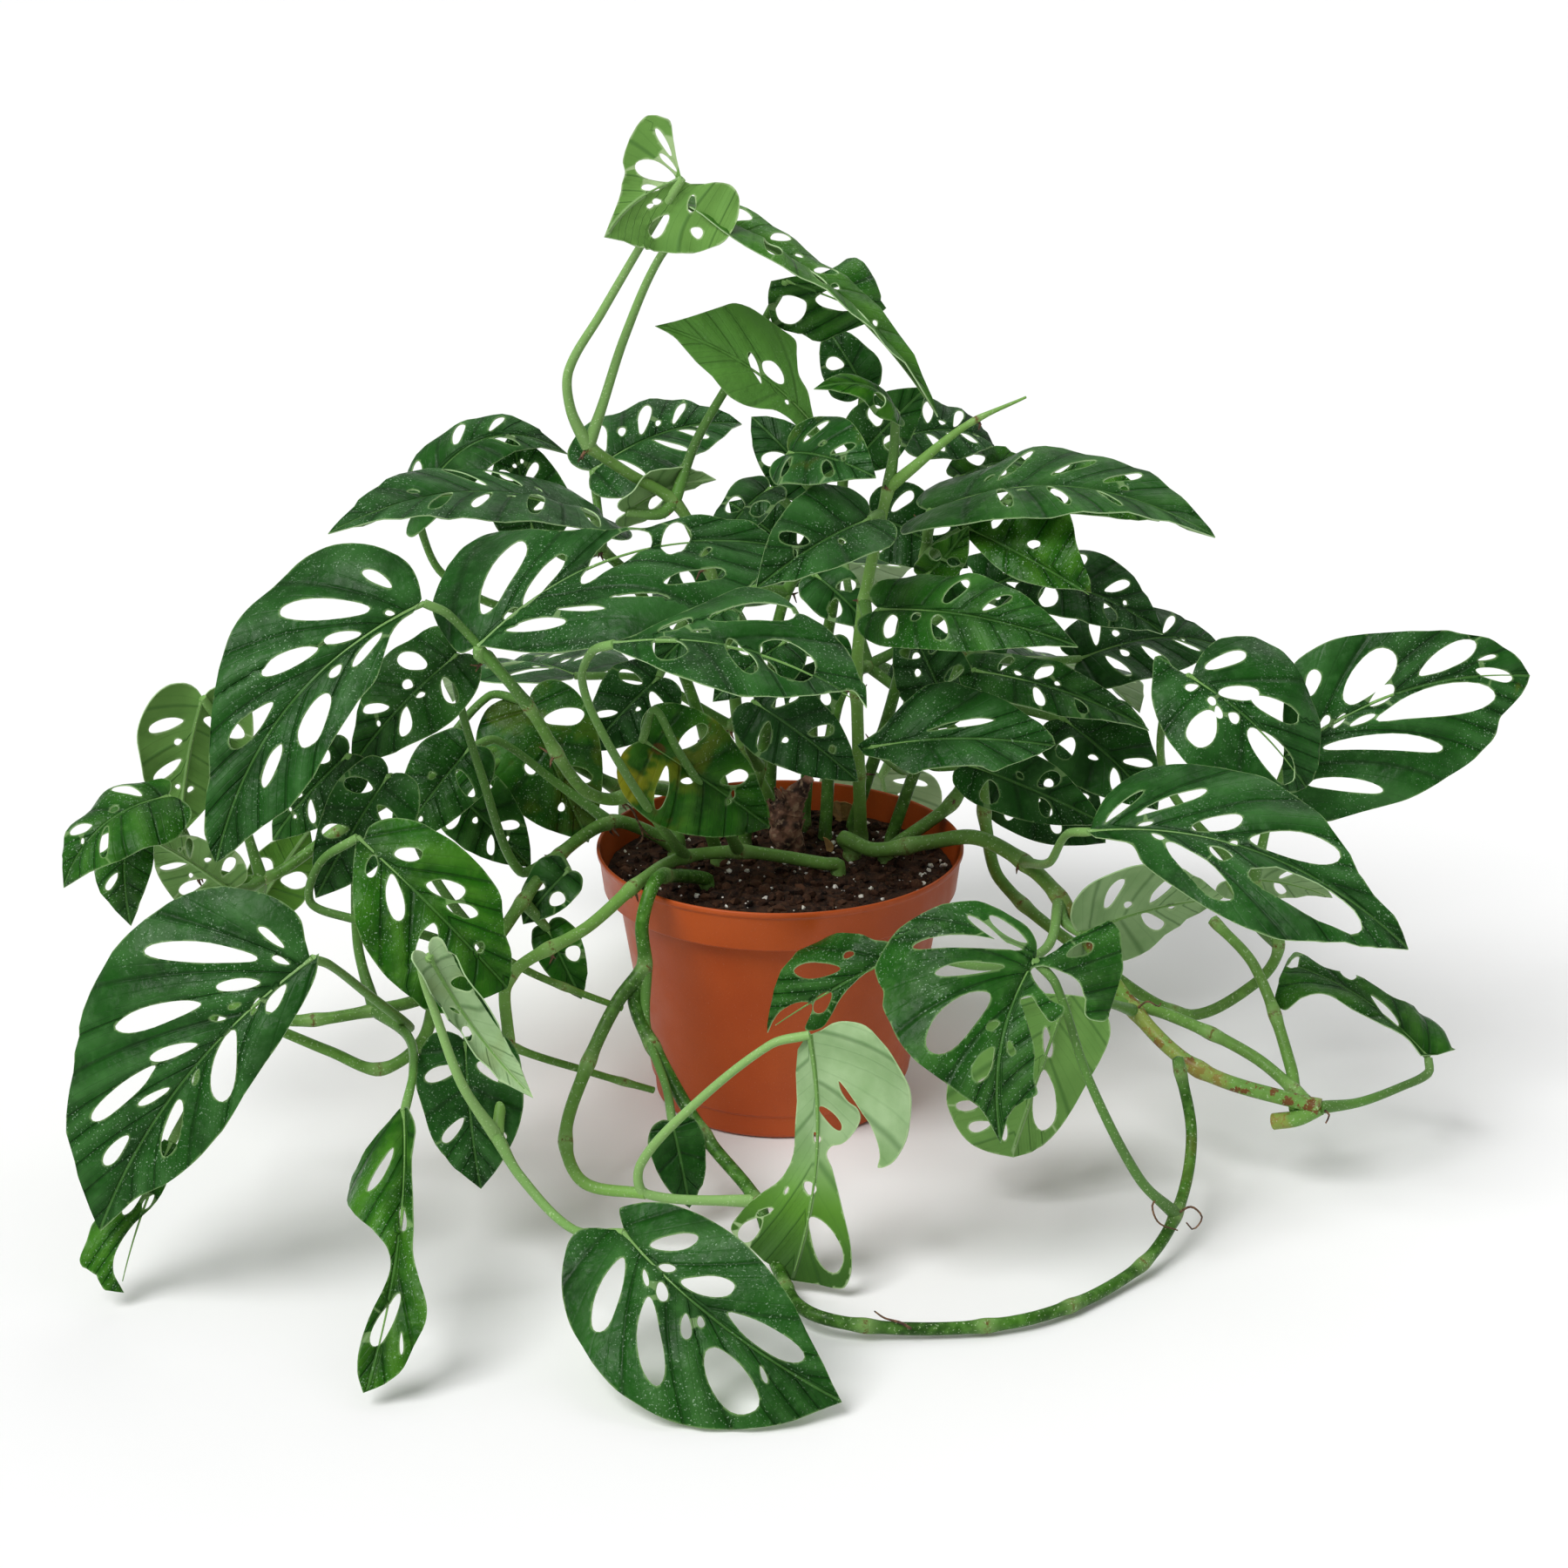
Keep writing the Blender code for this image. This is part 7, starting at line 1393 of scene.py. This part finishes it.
def stem_green():
    paint = Paint("stem", Roughness=0.42, Specular_IOR_Level=0.18)
    _, _, node = paint.notes("mark")
    pale, worn, scar = paint.notes("tone")
    paint.colour = paint.mix(paint.blots(28.0, 2.0, 0.3, 0.7), "22450d", "376716")
    paint.over("6fa548", paint.blots(300.0, 3.0, 0.35, 0.75, 0.0, 0.35))
    paint.over("80ad54", paint.times(pale, 0.85))
    paint.over("8fb56a", paint.times(node, 0.5))
    paint.over("5e3c1c", paint.times(scar, paint.blots(800.0, 2.0, 0.4, 0.6)))
    paint.over("6a4520", paint.times(worn, paint.blots(160.0, 4.0, 0.5, 0.56, rough=0.7)))
    paint.over("9c9a4a", paint.times(worn, paint.blots(60.0, 2.0, 0.4, 0.6, 0.0, 0.5)))
    paint.over("b9cfa2", paint.blots(1100.0, 1.0, 0.64, 0.72, 0.0, 0.5))
    return paint.done(paint.noise(500.0, 3.0), 0.4, 0.0005, paint.blots(250.0, 2.0, 0.3, 0.7, 0.34, 0.5))


def stalk_green():
    paint = Paint("leaf stalk", Roughness=0.42, Specular_IOR_Level=0.18)
    _, _, knee = paint.notes("mark")
    pale, _, _ = paint.notes("tone")
    paint.colour = paint.mix(paint.blots(28.0, 2.0, 0.3, 0.7), "28540f", "437820")
    paint.over("94bc70", paint.times(pale, 0.8))
    paint.over("8fba6c", paint.times(knee, 0.4))
    paint.over("c2d8aa", paint.blots(1200.0, 1.0, 0.64, 0.72, 0.0, 0.45))
    return paint.done(paint.noise(450.0, 3.0), 0.35, 0.0005)


def dry_brown():
    paint = Paint("dry root", Roughness=0.85)
    paint.colour = paint.mix(paint.blots(500.0, 4.0, 0.3, 0.7), "301c12", "7d5c40")
    return paint.done(paint.noise(900.0, 4.0), 0.7, 0.0005)


def husk_brown():
    paint = Paint("husk", Roughness=0.85)
    _, tan, _ = paint.notes("tone")
    paint.colour = paint.mix(paint.blots(170.0, 5.0, 0.35, 0.62), "2e1912", "8c6450")
    paint.over("c0a085", paint.blots(420.0, 4.0, 0.5, 0.7, 0.0, 0.7))
    paint.over("c89c60", paint.times(tan, paint.blots(200.0, 3.0, 0.2, 0.6, 0.5, 1.0)))
    return paint.done(paint.noise(380.0, 5.0), 0.9, 0.001)


def soil_brown():
    paint = Paint("potting mix", Roughness=0.92, Specular_IOR_Level=0.25)
    tone, _, _ = paint.notes("tone")
    paint.colour = paint.mix(paint.blots(260.0, 6.0, 0.3, 0.7, rough=0.65), "0e0705", "4e3222")
    paint.over("684631", paint.ramp(tone, 0.5, 1.0, 0.0, 0.45))
    paint.over("8a6b50", paint.blots(900.0, 3.0, 0.6, 0.72, 0.0, 0.4))
    return paint.done(paint.noise(700.0, 6.0, 0.7), 0.9, 0.001)


def grain_white():
    paint = Paint("perlite", Roughness=0.85)
    paint.colour = paint.mix(paint.blots(900.0, 3.0, 0.35, 0.65), "ddd6c6", "fffdf6")
    return paint.done(paint.noise(1400.0, 4.0), 0.6, 0.0004)


def pot_plastic():
    paint = Paint("terracotta plastic", Roughness=0.42, Specular_IOR_Level=0.3)
    paint.colour = paint.mix(paint.blots(18.0, 3.0, 0.3, 0.7), "aa440f", "b85019")
    paint.over("84381c", paint.blots(700.0, 3.0, 0.5, 0.8, 0.0, 0.15))
    paint.over("d8b09a", paint.blots(2200.0, 1.0, 0.7, 0.76, 0.0, 0.18))
    return paint.done(paint.noise(1500.0, 3.0), 0.15, 0.0003, paint.blots(90.0, 4.0, 0.3, 0.7, 0.36, 0.5))


def floor_pale():
    paint = Paint("studio floor", Roughness=0.7)
    paint.colour = paint.mix(paint.noise(2.0), "f2f2f2", "f5f5f5")
    return paint.done()


def make_vines():
    slots = [leaf_upper(), leaf_under(), leaf_rim(), stem_green(), stalk_green(), dry_brown()]
    for name, branches in VINES.items():
        form = Form()
        for number, stem in enumerate(branches):
            worn = WORN_STEMS.get((name, number), UNWORN)
            pale = PALE_STEMS.get(name, STEM_PALE)
            add_stem(form, stem, len(name) * 31 + number, pale, PALE_ENDS.get((name, number), pale), worn)
            for spec in stem["leaves"]:
                blade = Blade(spec)
                add_leaf(form, blade, CROWN_PAINTED_SHADE.get(name, 0.0))
                add_stalk(form, stem, spec, blade)
        for path in DRY_ROOTS.get(name, ()):
            line = spaced(settled(placed(path), PATH_FINE), TUBE_STEP)
            radii = [ROOT_R + (ROOT_END_R - ROOT_R) * i / len(line) for i in range(len(line))]
            add_tube(form, line, radii, RIB_SIDES, 5, tones=ROOT_TONE)
        form.piece(name.replace("vine", "leafy"), slots, name)


def make_pot():
    form = Form()
    add_turned(form, rounded((*POT_OUTSIDE, *POT_INSIDE), POT_BEND), POT_SIDES)
    pot = form.piece("nursery_pot", [pot_plastic()], "pot")
    drains = bmesh.new()
    for k in range(DRAINS):
        angle = 2 * math.pi * (k + 0.5) / DRAINS
        made = bmesh.ops.create_cone(drains, cap_ends=True, segments=DRAIN_SIDES, radius1=DRAIN_R * MM,
                                     radius2=DRAIN_R * MM, depth=(DRAIN_HIGH - DRAIN_LOW) * MM)
        x, y = DRAIN_RING * math.cos(angle), DRAIN_RING * math.sin(angle)
        spot = Vector((x, y, (DRAIN_LOW + DRAIN_HIGH) / 2))
        bmesh.ops.translate(drains, verts=made["verts"], vec=spot * MM)
    data = bpy.data.meshes.new("drains")
    drains.to_mesh(data)
    drains.free()
    cutter = bpy.data.objects.new("drains", data)
    bpy.context.scene.collection.objects.link(cutter)
    bite = pot.modifiers.new("Drain holes", "BOOLEAN")
    bite.operation = "DIFFERENCE"
    bite.solver = "EXACT"
    bite.object = cutter
    bpy.context.view_layer.update()
    cut_pot = bpy.data.meshes.new_from_object(pot.evaluated_get(bpy.context.evaluated_depsgraph_get()))
    pot.modifiers.clear()
    pot.data = cut_pot
    bpy.data.objects.remove(cutter)


def make_soil():
    form = Form()
    draw = random.Random(LOOSE_SEED)
    floor = POT_FLOOR + SOIL_GAP
    top = [(SOIL_EDGE * ring / SOIL_RINGS, None) for ring in range(SOIL_RINGS + 1)]
    wall = [(r - SOIL_GAP, z) for r, z in POT_INSIDE[1:-2]]
    foot = [(POT_INSIDE[-2][0] - SOIL_GAP, floor), (0.0, floor)]
    add_turned(form, top + wall + foot, SOIL_SIDES, SOIL_TONE, True)
    for count, (small, large), slot, stretch in LOOSE:
        for _ in range(count):
            out, angle = (SOIL_EDGE - LOOSE_IN) * math.sqrt(draw.random()), draw.uniform(0, 2 * math.pi)
            x, y = out * math.cos(angle), out * math.sin(angle)
            size = small + (large - small) * draw.random() ** 2
            lump(form, Vector((x, y, soil_height(x, y) + size * LOOSE_UP)), size, stretch, slot, draw)
    form.piece("soil_top", [soil_brown(), grain_white()], "soil")


def add_flake(form, foot, angle, tall, wide, tan):
    """A curled dry scrap that rises from its foot and leans out."""
    out = Vector((math.cos(angle), math.sin(angle), 0.0))
    side = Vector((-out.y, out.x, 0.0))
    flake = []
    for step in range(HUSK_STEPS + 1):
        share = step / HUSK_STEPS
        spot = foot + out * HUSK_CURL * share**2 + Vector((0.0, 0.0, tall * share))
        half = wide * math.sin(math.pi * (0.2 + 0.72 * share))
        inward = out * (HUSK_CUP * half)
        flake += [spot - side * half - inward, spot + out * HUSK_CREST, spot + side * half - inward]
    count, last = len(flake), 3 * HUSK_STEPS
    faces = [(a, a + 1, a + 4, a + 3) for step in range(HUSK_STEPS) for a in (3 * step, 3 * step + 1)]
    back = [tuple(count + v for v in face[::-1]) for face in faces]
    ring = [*range(0, last + 1, 3), last + 1, *range(last + 2, 1, -3), 1]
    wall = [(b, a, a + count, b + count) for a, b in zip(ring, ring[1:] + ring[:1])]
    under = [p - out * HUSK_THICK for p in flake]
    form.add(flake + under, faces + back + wall, 0, tones=(0.5, tan, 0.0))


def make_stump():
    """The dried foot of an old stem, wrapped in curled flakes of husk."""
    form = Form()
    draw = random.Random(STUMP_SEED)
    foot = Vector((*STUMP_AT, ROOT_Z))
    line = spaced(settled([foot + Vector(way[:3]) for way in STUMP_WAY], PATH_FINE), STUMP_STEP)
    count, (least, more, fine) = len(line), STUMP_UNEVEN
    radii = []
    for i in range(count):
        share = i / (count - 1) * (len(STUMP_WAY) - 1)
        k = min(int(share), len(STUMP_WAY) - 2)
        radius = STUMP_WAY[k][3] + (STUMP_WAY[k + 1][3] - STUMP_WAY[k][3]) * (share - k)
        radii.append(radius * (least + more * noise.noise(Vector((i * fine, 0.0, 2.0)))))
    add_tube(form, line, radii, STUMP_SIDES, 0)
    for k, point in enumerate(form.points):
        crumple = sum(size * noise.noise(point * fine) for size, fine in HUSK_CRUMPLE)
        out = Vector((point.x - foot.x, point.y - foot.y, 0.0))
        form.points[k] = point + out.normalized() * crumple
    for _ in range(HUSKS):
        i = draw.randint(count // 3, count * 3 // 4)
        angle, tall = draw.uniform(0, 2 * math.pi), draw.uniform(*HUSK_LONG)
        out = Vector((math.cos(angle), math.sin(angle), 0.0))
        spot = line[i] + out * radii[i] * 0.9 - Vector((0.0, 0.0, tall * 0.4))
        add_flake(form, spot, angle, tall, draw.uniform(*HUSK_WIDE), 0.0)
    for spot, angle, tall, wide in SCRAPS:
        add_flake(form, spot, angle, tall, wide, 1.0)
    form.piece("dry_husk", [husk_brown()], "dry_stump")


def make_floor():
    data = bpy.data.meshes.new("studio_floor")
    corners = [(x * FLOOR_HALF, y * FLOOR_HALF, 0) for x, y in ((-1, -1), (1, -1), (1, 1), (-1, 1))]
    data.from_pydata(corners, [], [(0, 1, 2, 3)])
    data.materials.append(floor_pale())
    floor = bpy.data.objects.new("studio_floor", data)
    floor.location.z = FLOOR_Z
    bpy.context.scene.collection.objects.link(floor)


def make_lights():
    world = bpy.context.scene.world or bpy.data.worlds.new("studio")
    bpy.context.scene.world = world
    world.use_nodes = True
    back = world.node_tree.nodes["Background"]
    back.inputs["Color"].default_value = (1.0, 1.0, 1.0, 1.0)
    back.inputs["Strength"].default_value = WORLD_LIGHT
    for name, place, soft, power in LIGHTS:
        lamp = bpy.data.lights.new(name, "SUN")
        lamp.angle = math.radians(soft)
        lamp.energy = power
        light = bpy.data.objects.new(name, lamp)
        light.location = place
        light.rotation_euler = (-Vector(place)).to_track_quat("-Z", "Y").to_euler()
        bpy.context.scene.collection.objects.link(light)


def make_camera():
    lens = bpy.data.cameras.new("camera")
    lens.sensor_width = SENSOR
    lens.lens = SENSOR * EYE_FAR / (FRAME_WIDE * PX)
    camera = bpy.data.objects.new("camera", lens)
    camera.location = Vector((AIM_X, -EYE_COS * EYE_FAR, AIM_Z + EYE_SIN * EYE_FAR)) * MM
    camera.rotation_euler = (math.pi / 2 - math.asin(EYE_SIN), 0.0, 0.0)
    bpy.context.scene.collection.objects.link(camera)
    bpy.context.scene.camera = camera


def main():
    bpy.context.scene.view_settings.view_transform = "Standard"
    make_camera()
    make_lights()
    make_floor()
    make_pot()
    make_soil()
    make_stump()
    make_vines()


main()
